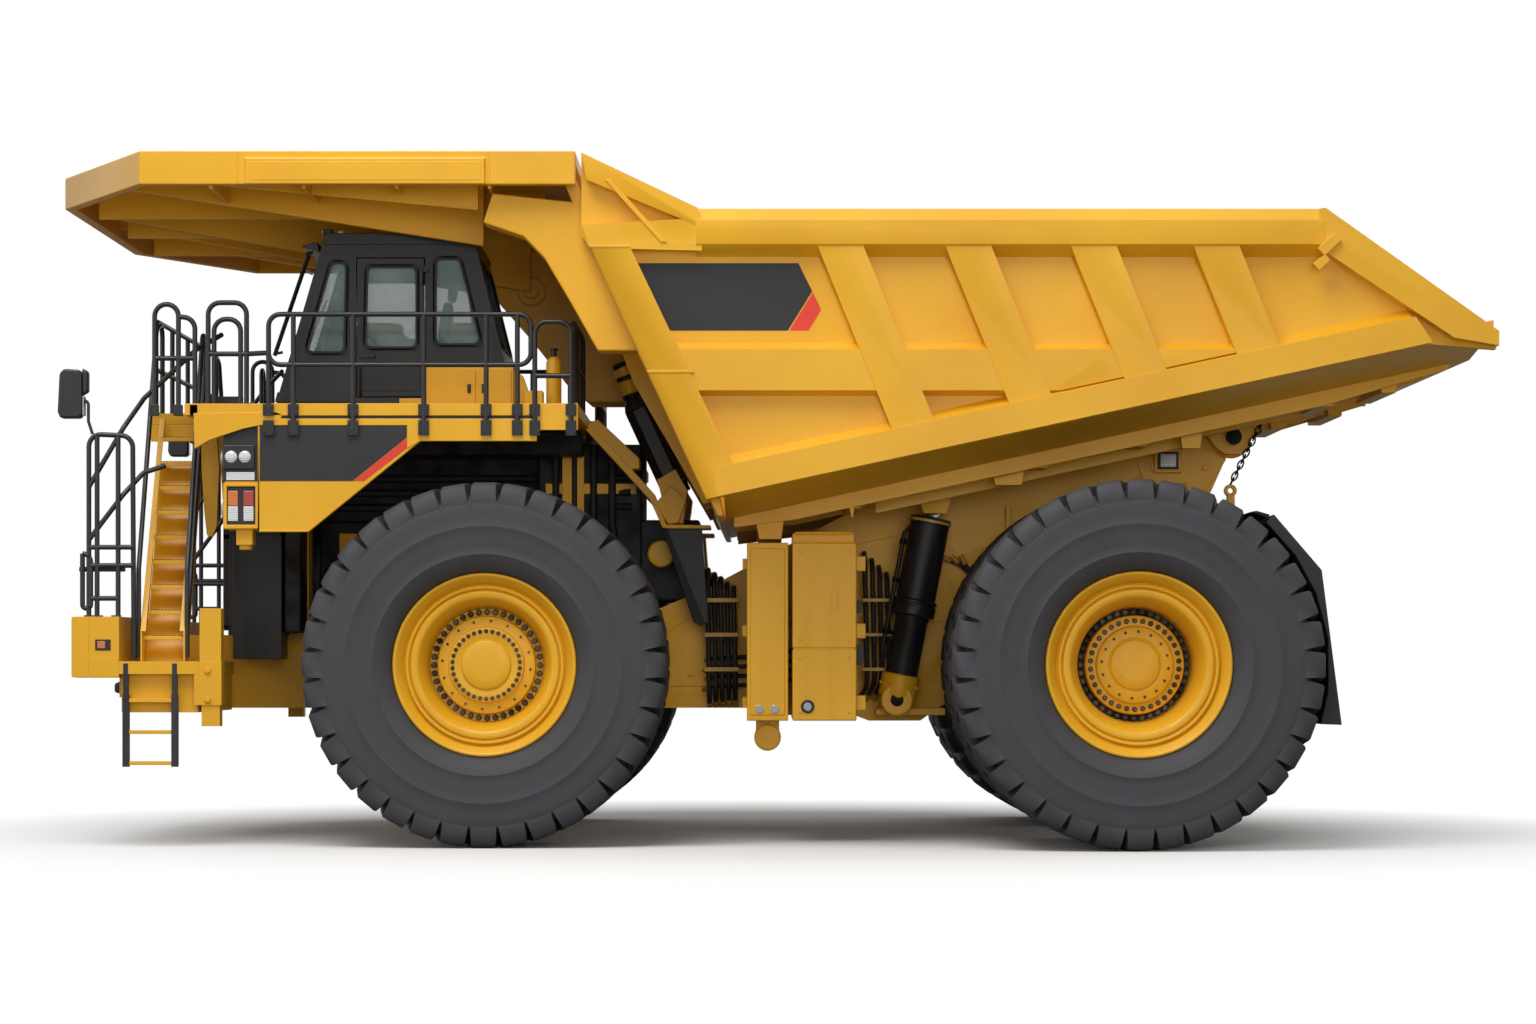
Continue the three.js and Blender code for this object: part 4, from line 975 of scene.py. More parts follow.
@dataclass
class Rim:
    """Dished wheel with a lock ring; sizes in metres from the tyre's middle plane outward."""

    ring_floor: float = 0.15
    segments: int = 96

    OUTER = [(0.632, 0.19), (0.64, 0.26), (0.665, 0.36), (0.695, 0.44), (0.722, 0.495),
        (0.735, 0.512), (0.75, 0.52), (0.79, 0.524), (0.806, 0.52), (0.812, 0.51), (0.814, 0.494),
        (0.822, 0.49), (0.828, 0.494), (0.832, 0.52), (0.838, 0.527), (0.858, 0.529),
        (0.866, 0.522), (0.869, 0.486), (0.876, 0.48), (0.884, 0.484), (0.89, 0.5), (0.93, 0.548),
        (0.962, 0.588), (0.972, 0.598), (0.984, 0.603), (0.996, 0.6), (1.004, 0.59),
        (1.008, 0.572), (1.008, 0.5),]

    def inner_end(self, outer_half: Outline, back: float) -> list[tuple[float, float]]:
        """Closes a rim's profile on the side toward the truck."""
        return [*outer_half, (1.006, -0.5), (1.006, -0.572), (0.985, -0.6), (0.955, -0.585),
            (0.93, -0.55), (0.9, back + 0.1), (0.86, back + 0.02), (0.62, back + 0.02),
            (0.58, back), (0.0, back)]

    def nut(self, width: float, height: float, lift: float, side: int) -> Shape:
        """A nut that faces outward, for a ring whose copies turn with it."""
        return Shape().nut((0, side * lift, 0), (0, side, 0), width, height)


@dataclass
class FrontWheel(Rim):
    """Front wheel: flat hub whose ring of bolts stands round a low cap."""

    back: float = -0.262

    def build(self, side: int) -> None:
        """Builds the wheel of one side."""
        name, body = f"front_{side_name(side)}", f"front_{side_name(side)}_wheel"
        centre = Vector((0, side * 3.262, 2.0))
        Tyre().build(f"{name}_tyre", f"{name}_tyre", body, centre)
        hub = [(0.0, 0.352), (0.16, 0.35), (0.255, 0.344), (0.268, 0.336), (0.274, 0.322),
            (0.28, 0.316), (0.29, 0.316), (0.296, 0.32), (0.4, 0.318), (0.412, 0.312),
            (0.418, 0.29), (0.424, 0.276), (0.52, 0.27), (0.534, 0.262), (0.54, 0.244),
            (0.541, 0.17), (0.545, self.ring_floor), (0.618, self.ring_floor),]
        rim = Shape(Finish.YELLOW)
        rim.turned(self.inner_end([*hub, *self.OUTER], self.back), centre, (0, side, 0),
            self.segments)
        rim.piece(f"{name}_rim_finished", (f"{name}_rim",), body=body)
        floor = Shape(Finish.YELLOW)
        floor.turned([(0.542, 0.154), (0.63, 0.162), (0.636, 0.2), (0.64, 0.2), (0.64, 0.145),
            (0.542, 0.145), (0.542, 0.154)], centre, (0, side, 0), 72)
        floor.piece(f"{name}_stud_seat", body=body)
        ring(f"{name}_stud_nuts", self.nut(0.052, 0.055, 0.155, side), 40, 0.586, centre, 0.0,
            body, Finish.BOLT)
        ring(f"{name}_hub_bolts", self.nut(0.036, 0.026, 0.318, side), 34, 0.372, centre, 0.0,
            body, Finish.BOLT)
        ring(f"{name}_hub_plugs", self.nut(0.022, 0.014, 0.271, side), 16, 0.487, centre, 0.1,
            body, Finish.BOLT)


@dataclass
class RearWheel(Rim):
    """Twin rear wheel: the planetary hub sits deep in the outer rim."""

    back: float = -1.985
    apart: float = 1.74
    sunk: float = 0.24              # hub behind the front wheel's

    def build(self, side: int) -> None:
        """Builds the twin wheel of one side."""
        name, body = f"rear_{side_name(side)}", f"rear_{side_name(side)}_wheel"
        centre = Vector((REAR_AXLE, side * 3.985, 2.0))
        inner = centre - Vector((0, side * self.apart, 0))
        Tyre().build(f"{name}_outer_tyre", f"{name}_outer_tyre", body, centre)
        Tyre().build(f"{name}_inner_tyre", f"{name}_inner_tyre", body, inner)
        hub = [(0.0, 0.392), (0.16, 0.391), (0.256, 0.388), (0.268, 0.38), (0.274, 0.366),
            (0.28, 0.36), (0.29, 0.362), (0.3, 0.372), (0.402, 0.366), (0.418, 0.356),
            (0.425, 0.338), (0.428, 0.322), (0.52, 0.316), (0.534, 0.308), (0.54, 0.292),
            (0.541, 0.17), (0.545, self.ring_floor), (0.618, self.ring_floor),]
        rim = Shape(Finish.YELLOW)
        cover = [(r, h - self.sunk) for r, h in hub]
        profile = [*cover, (0.624, 0.0), (0.628, 0.12), *self.OUTER, (1.006, -0.5),
            (1.006, -0.572), (0.985, -0.6), (0.93, -0.56), (0.9, -0.5), (0.9, 0.5 - self.apart),
            (0.93, 0.56 - self.apart), (0.985, 0.6 - self.apart), (1.006, 0.572 - self.apart),
            (1.006, 0.5 - self.apart), (1.006, -0.5 - self.apart), (1.006, -0.572 - self.apart),
            (0.985, -0.6 - self.apart), (0.93, -0.56 - self.apart), (0.89, self.back + 0.06),
            (0.86, self.back), (0.0, self.back)]
        rim.turned(profile, centre, (0, side, 0), self.segments)
        rim.piece(f"{name}_rim_finished", (f"{name}_rim",), body=body)
        # Painted shade: this seat deep in the sunk bolt ring is dark steel so that the recess reads dark; the part
        # itself is yellow like the rim.
        floor = Shape(Finish.DARK_STEEL)
        low = centre - Vector((0, side * self.sunk, 0))
        floor.turned([(0.542, 0.154), (0.612, 0.158), (0.616, 0.145), (0.542, 0.145),
            (0.542, 0.154)], low, (0, side, 0), 72)
        floor.piece(f"{name}_stud_seat", body=body, slot=Slot.YELLOW)
        ring(f"{name}_stud_nuts", self.nut(0.052, 0.055, 0.155, side), 40, 0.582, low, 0.0, body,
            Finish.BOLT)
        ring(f"{name}_hub_bolts", self.nut(0.044, 0.03, 0.317, side), 34, 0.482, low, 0.0, body,
            Finish.BOLT)
        ring(f"{name}_hub_plugs", self.nut(0.024, 0.014, 0.367, side), 16, 0.362, low, 0.1, body,
            Finish.BOLT)


# Bed


@dataclass
class Bed:
    """Tipping body: side panels with ribs, front wall, canopy, floor and film panels."""

    pivot_x: float = 8.5
    pivot_z: float = 4.65
    slope: float = 0.2155
    side_y: float = 4.45            # outer face of the side panel
    rail_y: float = 4.65
    film: float = 0.004
    rib_tops: tuple[float, ...] = (3.61, 4.98, 6.325, 7.64)
    rib_lean: float = math.tan(math.radians(22.5))
    body: str = "dump_bed"

    def floor_z(self, x: float) -> float:
        """Height of the floor's underside."""
        return self.pivot_z + 0.232 + self.slope * (x - self.pivot_x)

    def plate(self, side: int, outline: Outline, depth: float, shape: Shape) -> None:
        """Adds a flat plate standing on the outer face of the side panel."""
        shape.prism(outline, "y", side * (self.side_y - 0.002), side * (self.side_y + depth))

    def sides(self) -> None:
        """Side panels with broken edges, sloped flanges along the rails and weld beads."""
        for side in SIDES:
            name = side_name(side)
            refined(f"bed_side_{name}", Finish.YELLOW, 0.022)
            flanges = Shape(Finish.YELLOW)
            inner, outer = side * (self.side_y - 0.01), side * (self.rail_y - 0.036)
            for x0, x1, z, rise, drop in ((2.02, 8.9, 5.384, 0.085, 0.0),
                    (2.35, 9.9, 4.945, -0.05, 0.0),):
                flanges.loft([[(x, inner, z), (x, outer, z), (x, inner, z + rise)] for x in (x0,
                    x1 if rise > 0 else x1 - 2.1)])
            bottom = [(x, self.floor_z(x) + 0.2 + 0.32) for x in (2.56, 10.0)]
            flanges.loft([[(x, inner, z - 0.01), (x, side * (self.rail_y - 0.004), z - 0.01),
                (x, inner, z + 0.11)] for x, z in bottom])
            flanges.piece(f"bed_flanges_{name}", bevel=0.004, body=self.body)
            self.welds(side)
            self.corner_details(side)
            self.film_panel(side)

    def welds(self, side: int) -> None:
        """Fillet weld beads along both feet of each rib."""
        y = side * (self.side_y + 0.004)
        top, chains = 6.4, []
        for x in self.rib_tops:
            foot = self.floor_z(x + 0.8) + 0.2 + 0.32
            for edge in (-0.006, 0.496):
                chains.append([(x + edge + (6.509 - z) * self.rib_lean, y, z) for z in (top,
                    5.48)])
                if foot < 4.9:
                    chains.append([(x + edge + (6.509 - z) * self.rib_lean, y, z) for z in (4.9,
                        foot + 0.1)])
        tubes(f"bed_welds_{side_name(side)}", chains, 0.013, 0.0, Finish.YELLOW, sides=6,
            body=self.body)

    def corner_details(self, side: int) -> None:
        """Tail boss, rear gusset, seam plates and the triangle recess under the slope rail."""
        details = Shape(Finish.YELLOW)
        for outline, sunk, proud in (([(8.98, 6.46), (9.16, 6.62), (9.24, 6.55), (9.06, 6.38)],
                0.05, 0.045), ([(8.93, 6.3), (9.07, 6.4), (9.12, 6.33), (9.0, 6.22)], 0.05, 0.04),
                ([(1.35, 7.2), (1.42, 7.2), (2.02, 6.53), (1.95, 6.53)], 0.03, 0.008),
                ([(1.178, 6.5), (1.62, 6.5), (1.63, 6.475), (1.188, 6.475)], 0.03, -0.004),
                ([(1.8, 5.16), (2.3, 5.16), (2.31, 5.13), (1.81, 5.13)], 0.03, -0.006)):
            details.prism(outline, "y", side * (self.rail_y - sunk), side * (self.rail_y + proud))
        details.piece(f"bed_corner_plates_{side_name(side)}", bevel=0.006, body=self.body)

    def film_panel(self, side: int) -> None:
        """Blank black film panel with a red stripe at its pointed end."""
        panel = Shape(Finish.BLACK_FILM)
        self.plate(side, [(1.69, 6.325), (3.427, 6.325), (3.576, 6.025), (3.313, 5.6),
            (2.03, 5.6)], self.film, panel)
        panel.use(Finish.RED_FILM)
        self.plate(side, [(3.583, 6.012), (3.672, 5.825), (3.537, 5.6), (3.33, 5.6)], self.film,
            panel)
        panel.piece(f"bed_film_panel_{side_name(side)}", body=self.body)

    def canopy(self) -> None:
        """Canopy with a rolled edge, seams and stiffeners under the plate."""
        refined("bed_canopy", Finish.YELLOW, 0.028)
        trim = Shape(Finish.YELLOW)
        for side in SIDES:
            for x in (-2.6, 0.1):
                trim.block((x - 0.012, x + 0.012), (side * 4.4, side * 4.566), (7.18, 7.512))
            trim.block((-2.47, 0.02), (side * 4.59, side * 4.604), (7.2, 7.4))
            for x in (-2.9, -1.9, -0.9, 0.1):
                trim.block((x - 0.02, x + 0.02), (side * 3.03, side * 4.44), (7.13, 7.4))
        for y in (-1.9, 0.0, 1.9):
            trim.block((-4.55, 0.55), (y - 0.04, y + 0.04), (7.1, 7.395))
        trim.piece("canopy_stiffeners", bevel=0.005, body=self.body)

    def front_wall(self) -> None:
        """Front wall, its corner beams and the round bosses that the prop pins go through."""
        refined("bed_front_wall", Finish.YELLOW, 0.02)
        bosses = Shape(Finish.YELLOW)
        slant = Vector((-0.967, 0.0, 0.256))
        for side in SIDES:
            foot = Vector((1.3, side * 3.35, 6.17))
            bosses.rod(foot + slant * 0.02, foot + slant * 0.09, 0.2, 8, chamfer=0.01)
            bosses.rod(foot + slant * 0.08, foot + slant * 0.17, 0.12, 24, chamfer=0.015)
            bosses.rod(foot + slant * 0.16, foot + slant * 0.2, 0.055, 24, chamfer=0.008)
        for y in (-2.4, -0.85, 0.05, 0.85, 2.4):
            bosses.loft([[(x, y - 0.06, z), (x, y + 0.06, z), (x - d, y + 0.06, z - d * 0.3),
                (x - d, y - 0.06, z - d * 0.3)] for x, z, d in ((1.17, 6.55, 0.1),
                (1.8, 5.25, 0.22), (2.47, 3.85, 0.1))])
        for y in (-0.36, 0.5):
            bosses.prism([(-0.62, 6.9), (-0.25, 6.48), (0.22, 5.95), (0.66, 5.4), (0.98, 5.12),
                (1.82, 5.12), (1.3, 6.3), (1.1, 6.9)], "y", y - 0.06, y + 0.06)
            bosses.rod((0.3, y - 0.13, 6.42), (0.3, y + 0.13, 6.42), 0.17, 32, chamfer=0.015)
            bosses.rod((0.3, y - 0.17, 6.42), (0.3, y + 0.17, 6.42), 0.09, 24, chamfer=0.012)
        bosses.piece("front_wall_fittings", bevel=0.006, body=self.body)

    def floor(self) -> None:
        """Floor with its cross channels, pads and pivot lugs, plus liner strips inside."""
        refined("bed_floor", Finish.YELLOW, 0.015)
        under = Shape(Finish.YELLOW)
        for x in (3.05, 4.05, 6.15, 7.25, 9.35, 10.05):
            z = self.floor_z(x)
            for ends in ((-2.85, -1.1), (1.1, 2.85)):
                under.loft([[(x - 0.11, y, z + 0.03), (x + 0.11, y, z + 0.03 + 0.22 * self.slope),
                    (x + 0.08, y, z - 0.17), (x - 0.08, y, z - 0.17)] for y in ends])
        for side in SIDES:
            for x0, x1, y, drop in ((2.95, 3.3, 2.75, 0.3), (3.98, 4.1, 2.75, 0.28),
                    (5.6, 6.0, 2.6, 0.26), (7.7, 8.0, 2.6, 0.3)):
                z0, z1 = self.floor_z(x0) + 0.02, self.floor_z(x1) + 0.02
                under.prism([(x0, z0), (x1, z1), (x1 - 0.05, z0 - drop), (x0 + 0.05, z0 - drop)],
                    "y", side * y, side * (y + 0.16))
            for y in (1.35, 2.85):
                under.loft([[(x, side * y, self.floor_z(x) + 0.02), (x, side * (y + 0.09),
                    self.floor_z(x) + 0.02), (x, side * (y + 0.09), self.floor_z(x) - d),
                    (x, side * y, self.floor_z(x) - d)] for x, d in ((2.72, 0.1), (3.4, 0.16),
                    (9.3, 0.16), (10.7, 0.05))])
        under.piece("bed_floor_channels", bevel=0.006, body=self.body)
        liner = Shape(Finish.YELLOW)
        for i in range(9):
            x = 3.1 + 0.82 * i
            liner.loft([[(x, y, self.floor_z(x) + 0.118), (x + 0.04, y,
                self.floor_z(x + 0.04) + 0.118), (x + 0.04, y, self.floor_z(x + 0.04) + 0.134),
                (x, y, self.floor_z(x) + 0.134)] for y in (-2.85, 2.85)])
        liner.piece("bed_floor_liner_seams", body=self.body)
        pins = Shape(Finish.DARK_STEEL)
        for side in SIDES:
            pins.rod((self.pivot_x, side * 1.3, self.pivot_z), (self.pivot_x, side * 1.352,
                self.pivot_z), 0.108, 32, chamfer=0.012)
            pins.rod((self.pivot_x, side * 1.352, self.pivot_z), (self.pivot_x, side * 1.362,
                self.pivot_z), 0.045, 24)
        pins.piece("pivot_pin_ends")

    def build(self) -> None:
        """Builds the bed."""
        self.sides()
        self.canopy()
        self.front_wall()
        self.floor()


# Hoists


@dataclass
class Hoists:
    """Two-stage lifting cylinders between the frame and the bed."""

    foot: tuple[float, float] = (4.577, 1.6)
    side_y: float = 1.7
    lean: float = math.radians(10.8)
    length: float = 2.33

    def axis(self) -> Vector:
        """Direction of the cylinders, bed down."""
        return Vector((math.sin(self.lean), 0, math.cos(self.lean)))

    def build(self) -> None:
        """Builds both cylinders."""
        along = self.axis()
        for side in SIDES:
            name = side_name(side)
            foot = Vector((self.foot[0], side * self.side_y, self.foot[1]))
            body = f"{name}_hoist_barrel"
            barrel = Shape(Finish.BLACK)
            barrel.turned([(0.0, 0.1), (0.176, 0.1), (0.186, 0.16), (0.186, 0.93), (0.196, 0.95),
                (0.196, 0.975), (0.236, 0.985), (0.25, 1.0), (0.25, 1.1), (0.24, 1.115),
                (0.24, 1.13), (0.252, 1.14), (0.252, 1.16), (0.226, 1.18), (0.226, 2.05),
                (0.236, 2.06), (0.236, 2.11), (0.228, 2.13), (0.178, 2.13), (0.178, 0.5),
                (0.0, 0.5)], foot, along, 48)
            barrel.use(Finish.ZINC)
            barrel.turned([(0.2365, 2.07), (0.243, 2.07), (0.243, 2.1), (0.2365, 2.1),
                (0.2365, 2.07)], foot, along, 48)
            barrel.piece(f"hoist_barrel_{name}_finished", (f"hoist_barrel_{name}",), body=body)
            clevis = Shape(Finish.YELLOW)
            clevis.rod(foot + Vector((0, -0.2, 0)), foot + Vector((0, 0.2, 0)), 0.182, 40,
                chamfer=0.015)
            clevis.turned([(0.0, 0.02), (0.215, 0.03), (0.222, 0.06), (0.222, 0.27), (0.21, 0.29),
                (0.18, 0.3), (0.0, 0.3)], foot, along, 40)
            for turn in range(8):
                spin = Matrix.Rotation(turn * math.pi / 4 + 0.3, 4, along)
                out = spin @ Vector((0, 1, 0))
                clevis.nut(foot + along * 0.17 + out * 0.22, out, 0.034, 0.022)
            clevis.piece(f"hoist_clevis_{name}", body=body)
            pin = Shape(Finish.DARK_STEEL)
            for hand in SIDES:
                face = foot + Vector((0, hand * 0.2, 0))
                pin.rod(face, face + Vector((0, hand * 0.014, 0)), 0.075, 28, chamfer=0.006)
            pin.piece(f"hoist_foot_pin_{name}")
            self.stages(side, foot, along)
            self.pipes(side, foot, along)

    def stages(self, side: int, foot: Vector, along: Vector) -> None:
        """The sliding stages: chromed tubes that show when the bed is up."""
        name = side_name(side)
        stage = Shape(Finish.CHROME)
        stage.turned([(0.122, 0.5), (0.173, 0.5), (0.173, 2.12), (0.166, 2.14), (0.122, 2.14),
            (0.122, 0.5)], foot, along, 48)
        stage.piece(f"hoist_stage_{name}_finished", (f"hoist_stage_{name}",),
            body=f"{name}_hoist_stage")
        rod = Shape(Finish.CHROME)
        rod.turned([(0.0, 0.58), (0.119, 0.58), (0.119, 2.17), (0.112, 2.19), (0.0, 2.19)], foot,
            along, 48)
        eye = foot + along * self.length
        rod.use(Finish.BLACK)
        rod.rod(eye + Vector((0, -0.122, 0)), eye + Vector((0, 0.122, 0)), 0.128, 36,
            chamfer=0.012)
        rod.use(Finish.BOLT)
        rod.rod(eye + Vector((0, -0.13, 0)), eye + Vector((0, 0.13, 0)), 0.06, 28)
        rod.piece(f"hoist_rod_{name}_finished", (f"hoist_rod_{name}",), body=f"{name}_hoist_rod")

    def pipes(self, side: int, foot: Vector, along: Vector) -> None:
        """Steel feed pipe strapped along the barrel, with its banjo ends and straps."""
        name = side_name(side)
        back = Vector((-math.cos(self.lean), 0, math.sin(self.lean)))
        out = Vector((0, side, 0))
        offset = back * 0.27 + out * 0.06
        path = [foot + along * 0.45 + back * 0.15, foot + along * 0.5 + offset,
            foot + along * 1.9 + offset, foot + along * 2.0 + back * 0.2]
        tubes(f"hoist_feed_pipe_{name}", [path], 0.026, 0.06, Finish.BLACK,
            body=f"{name}_hoist_barrel")
        straps = Shape(Finish.DARK_STEEL)
        for height in (0.75, 1.35, 1.8):
            at = foot + along * height + offset
            straps.rod(at - along * 0.03, at + along * 0.03, 0.036, 16)
            straps.rod(at, foot + along * height + back * 0.18, 0.02, 10)
        straps.piece(f"hoist_pipe_straps_{name}", body=f"{name}_hoist_barrel")


# Deck


@dataclass
class Deck:
    """Front deck with its fenders, lamps, film panels, guards and cabinet."""

    edge_y: float = 3.95
    top_z: float = 4.85

    def plates(self) -> None:
        """The deck's packed plates with broken edges; splash guards and gutters are black."""
        refined("upper_deck", Finish.YELLOW, 0.01, [(Finish.BLACK, lambda p: 1.8 < p.x < 2.45
            and p.z < 3.585 and abs(p.y) < 1.7), ])
        trim = Shape(Finish.YELLOW)
        grooves = Shape(Finish.GASKET)
        for side in SIDES:
            y = side * self.edge_y
            trim.prism([(-2.33, 4.718), (0.46, 4.718), (0.53, 4.74), (0.545, 4.785), (0.53, 4.83),
                (0.46, 4.852), (-2.33, 4.852)], "y", y - side * 0.03, y + side * 0.012)
            trim.block((0.56, 1.03), (y - side * 0.03, y + side * 0.01), (4.56, 4.852))
            trim.prism([(-2.45, 4.686), (0.54, 4.686), (0.54, 4.441), (-0.69, 4.441),
                (-0.832, 4.36), (-0.832, 4.612), (-2.45, 4.612)], "y", y - side * 0.03,
                y + side * 0.01)
            grooves.block((-2.33, 0.545), (y - side * 0.02, y + side * 0.002), (4.686, 4.718))
            trim.prism([(-3.16, 4.745), (-2.26, 4.757), (-2.21, 4.74), (-2.2, 4.7), (-2.23, 4.655),
                (-2.62, 4.575), (-2.98, 4.455), (-3.15, 4.355)], "y", y - side * 0.035,
                y + side * 0.012)
            for z in (4.74, 4.45):
                trim.block((-2.46, -2.445), (y - side * 0.2, y + side * 0.006), (3.45, z))
            trim.blocks(((-2.45, -1.925), (y - side * 0.01, y + side * 0.006), (3.45, 3.475)),
                ((-3.89, -3.15), (side * 2.345, side * 2.36), (4.53, 4.72)))
            trim.prism([(-3.24, 4.72), (-3.07, 4.72), (-3.03, 4.2), (-3.06, 3.55), (-3.11, 3.43),
                (-3.17, 3.45), (-3.2, 3.7), (-3.23, 4.2)], "y", side * 2.86, side * 2.93)
        trim.piece("deck_edge_plates", bevel=0.006)
        grooves.piece("deck_edge_seals")

    def film_panels(self) -> None:
        """Blank black film on both fenders with a red stripe along the wheel arch."""
        for side in SIDES:
            inner, outer = side * (self.edge_y - 0.002), side * (self.edge_y + 0.004)
            film = Shape(Finish.BLACK_FILM)
            film.prism([(-2.44, 4.612), (-0.836, 4.612), (-0.836, 4.48), (-1.427, 4.005),
                (-2.44, 4.005)], "y", inner, outer)
            film.prism([(-2.84, 4.6), (-2.465, 4.7), (-2.465, 4.005), (-2.84, 4.005)], "y",
                side * (self.edge_y - 0.052), side * (self.edge_y - 0.046))
            film.use(Finish.RED_FILM)
            film.prism([(-0.836, 4.474), (-0.836, 4.362), (-1.302, 4.005), (-1.418, 4.005)], "y",
                inner, outer)
            film.piece(f"fender_film_{side_name(side)}")

    def lamps(self) -> None:
        """Head lamps, side lamps and turn lamps, toward the side and toward the front."""
        for side in SIDES:
            name = side_name(side)
            y = side * (self.edge_y - 0.05)
            housing = Shape(Finish.BLACK)
            housing.blocks(((-2.845, -2.5), (y - side * 0.03, y + side * 0.035), (4.135, 4.4)),
                ((-2.815, -2.48), (y - side * 0.03, y + side * 0.02), (3.53, 3.945)),
                ((-2.86, -2.83), (side * 3.42, side * 3.88), (4.12, 4.42)),
                ((-2.855, -2.83), (side * 3.44, side * 3.86), (3.55, 3.93)))
            housing.piece(f"lamp_housings_{name}", bevel=0.02, segments=3)
            clear = Shape(Finish.CLEAR_LENS)
            for x in (-2.755, -2.605):
                clear.turned([(0, 0.0), (0.068, 0.0), (0.068, 0.014), (0.055, 0.026),
                    (0.03, 0.033), (0, 0.035)], (x, y + side * 0.028, 4.27), (0, side, 0), 24)
            clear.block((-2.81, -2.5), (y, y + side * 0.016), (4.015, 4.105))
            for x in (-2.735, -2.565):
                clear.block((x - 0.055, x + 0.055), (y, y + side * 0.034), (3.57, 3.73))
            for lamp_y in (3.54, 3.76):
                for x, z in ((-2.856, 4.27), (-2.852, 3.7)):
                    clear.turned([(0, 0.0), (0.09, 0.0), (0.09, 0.014), (0.06, 0.03), (0, 0.036)],
                        (x, side * lamp_y, z), (-1, 0, 0), 24)
            clear.use(Finish.AMBER_LENS)
            clear.blocks(((-2.79, -2.68), (y, y + side * 0.034), (3.735, 3.9)),
                ((-2.88, -2.84), (side * 3.58, side * 3.72), (3.83, 3.91)))
            clear.use(Finish.RED_LENS)
            clear.block((-2.62, -2.51), (y, y + side * 0.034), (3.735, 3.9))
            clear.piece(f"lamp_lenses_{name}", bevel=0.008)
            stub = Shape(Finish.YELLOW)
            stub.block((-2.71, -2.53), (side * 3.62, side * 3.86), (3.31, 3.49))
            stub.rod((-2.62, side * 3.74, 3.32), (-2.62, side * 3.74, 3.26), 0.07, 16)
            frame_x = ((-2.84, -2.8), (-2.49, -2.455))
            for x in frame_x:
                stub.block(x, (y - side * 0.02, y + side * 0.045), (3.49, 3.98))
            for z in ((3.485, 3.53), (3.945, 3.985)):
                stub.block((-2.84, -2.455), (y - side * 0.02, y + side * 0.046), z)
            stub.piece(f"lamp_brackets_{name}", bevel=0.008)

    def tread_plate(self) -> None:
        """Raised five-bar studs on the walking areas of the deck."""
        stud = Shape()
        stud.prism([(-0.008, -0.034), (0.008, -0.034), (0.008, 0.034), (-0.008, 0.034)], "y",
            -0.006, 0.006)
        chains = []
        for i in range(9):
            y = -3.86 + 0.1 * i
            chains.append([(-2.28 + 0.05 * (i % 2), y, self.top_z), (0.95, y, self.top_z)])
        for i in range(24):
            y = 2.85 + 0.045 * i
            chains.append([(-2.28 + 0.05 * (i % 2), y, self.top_z), (0.95, y, self.top_z)])
        row("deck_tread_studs", stud, 34, chains, Finish.YELLOW)

    def equipment(self) -> None:
        """Cabinet doors, kick plate, hatch, fire bottle and the box behind the cab."""
        front, rear = -0.715, 0.27
        y = -3.156
        doors = Shape(Finish.YELLOW)
        doors.blocks(((front + 0.02, -0.15), (y - 0.012, y + 0.01), (4.88, 5.285)),
            ((-0.125, rear - 0.02), (y - 0.012, y + 0.01), (4.88, 5.285)),
            ((-1.0, -0.74), (-3.14, -2.93), (4.851, 4.965)))
        doors.prism([(rear, 5.28), (rear + 0.1, 5.22), (rear + 0.16, 5.05), (rear + 0.16, 4.87),
            (rear, 4.87)], "y", -3.1, -2.95)
        doors.block((0.42, 0.62), (-3.55, -3.3), (4.851, 5.02))
        doors.turned([(0, 0), (0.085, 0), (0.085, 0.5), (0.05, 0.56), (0, 0.57)],
            (0.72, -3.15, 4.86), (0, 0, 1), 24)
        doors.piece("deck_cabinet_doors", bevel=0.01)
        small = Shape(Finish.BLACK)
        for x in (-0.22, -0.06):
            small.block((x - 0.02, x + 0.02), (y - 0.03, y - 0.01), (5.02, 5.12))
        small.turned([(0, 0.57), (0.03, 0.57), (0.03, 0.63), (0.045, 0.64), (0.045, 0.66),
            (0, 0.66)], (0.72, -3.15, 4.86), (0, 0, 1), 16)
        small.block((-3.05, -2.7), (-3.5, -3.36), (4.852, 4.96))
        small.piece("deck_small_fittings", bevel=0.005)

    def guards(self) -> None:
        """Bolted boxes on the diagonal guards and the rubber splash curtains behind them."""
        boxes = Shape(Finish.YELLOW)
        rubber = Shape(Finish.FLAP)
        for side in SIDES:
            y0, y1 = side * 1.2, side * 1.655
            boxes.prism([(1.03, 4.78), (1.14, 4.83), (1.62, 4.38), (1.62, 4.26), (1.52, 4.25)],
                "y", y0, y1)
            boxes.prism([(1.8, 3.86), (1.98, 4.06), (2.16, 3.9), (2.07, 3.64), (1.95, 3.62)], "y",
                y0, y1)
            rubber.prism([(1.885, 3.58), (1.93, 3.58), (2.36, 2.5), (2.32, 2.46), (2.24, 2.5)],
                "y", side * 1.08, side * 1.66)
        boxes.piece("guard_boxes", bevel=0.012)
        rubber.piece("splash_curtains", bevel=0.008)

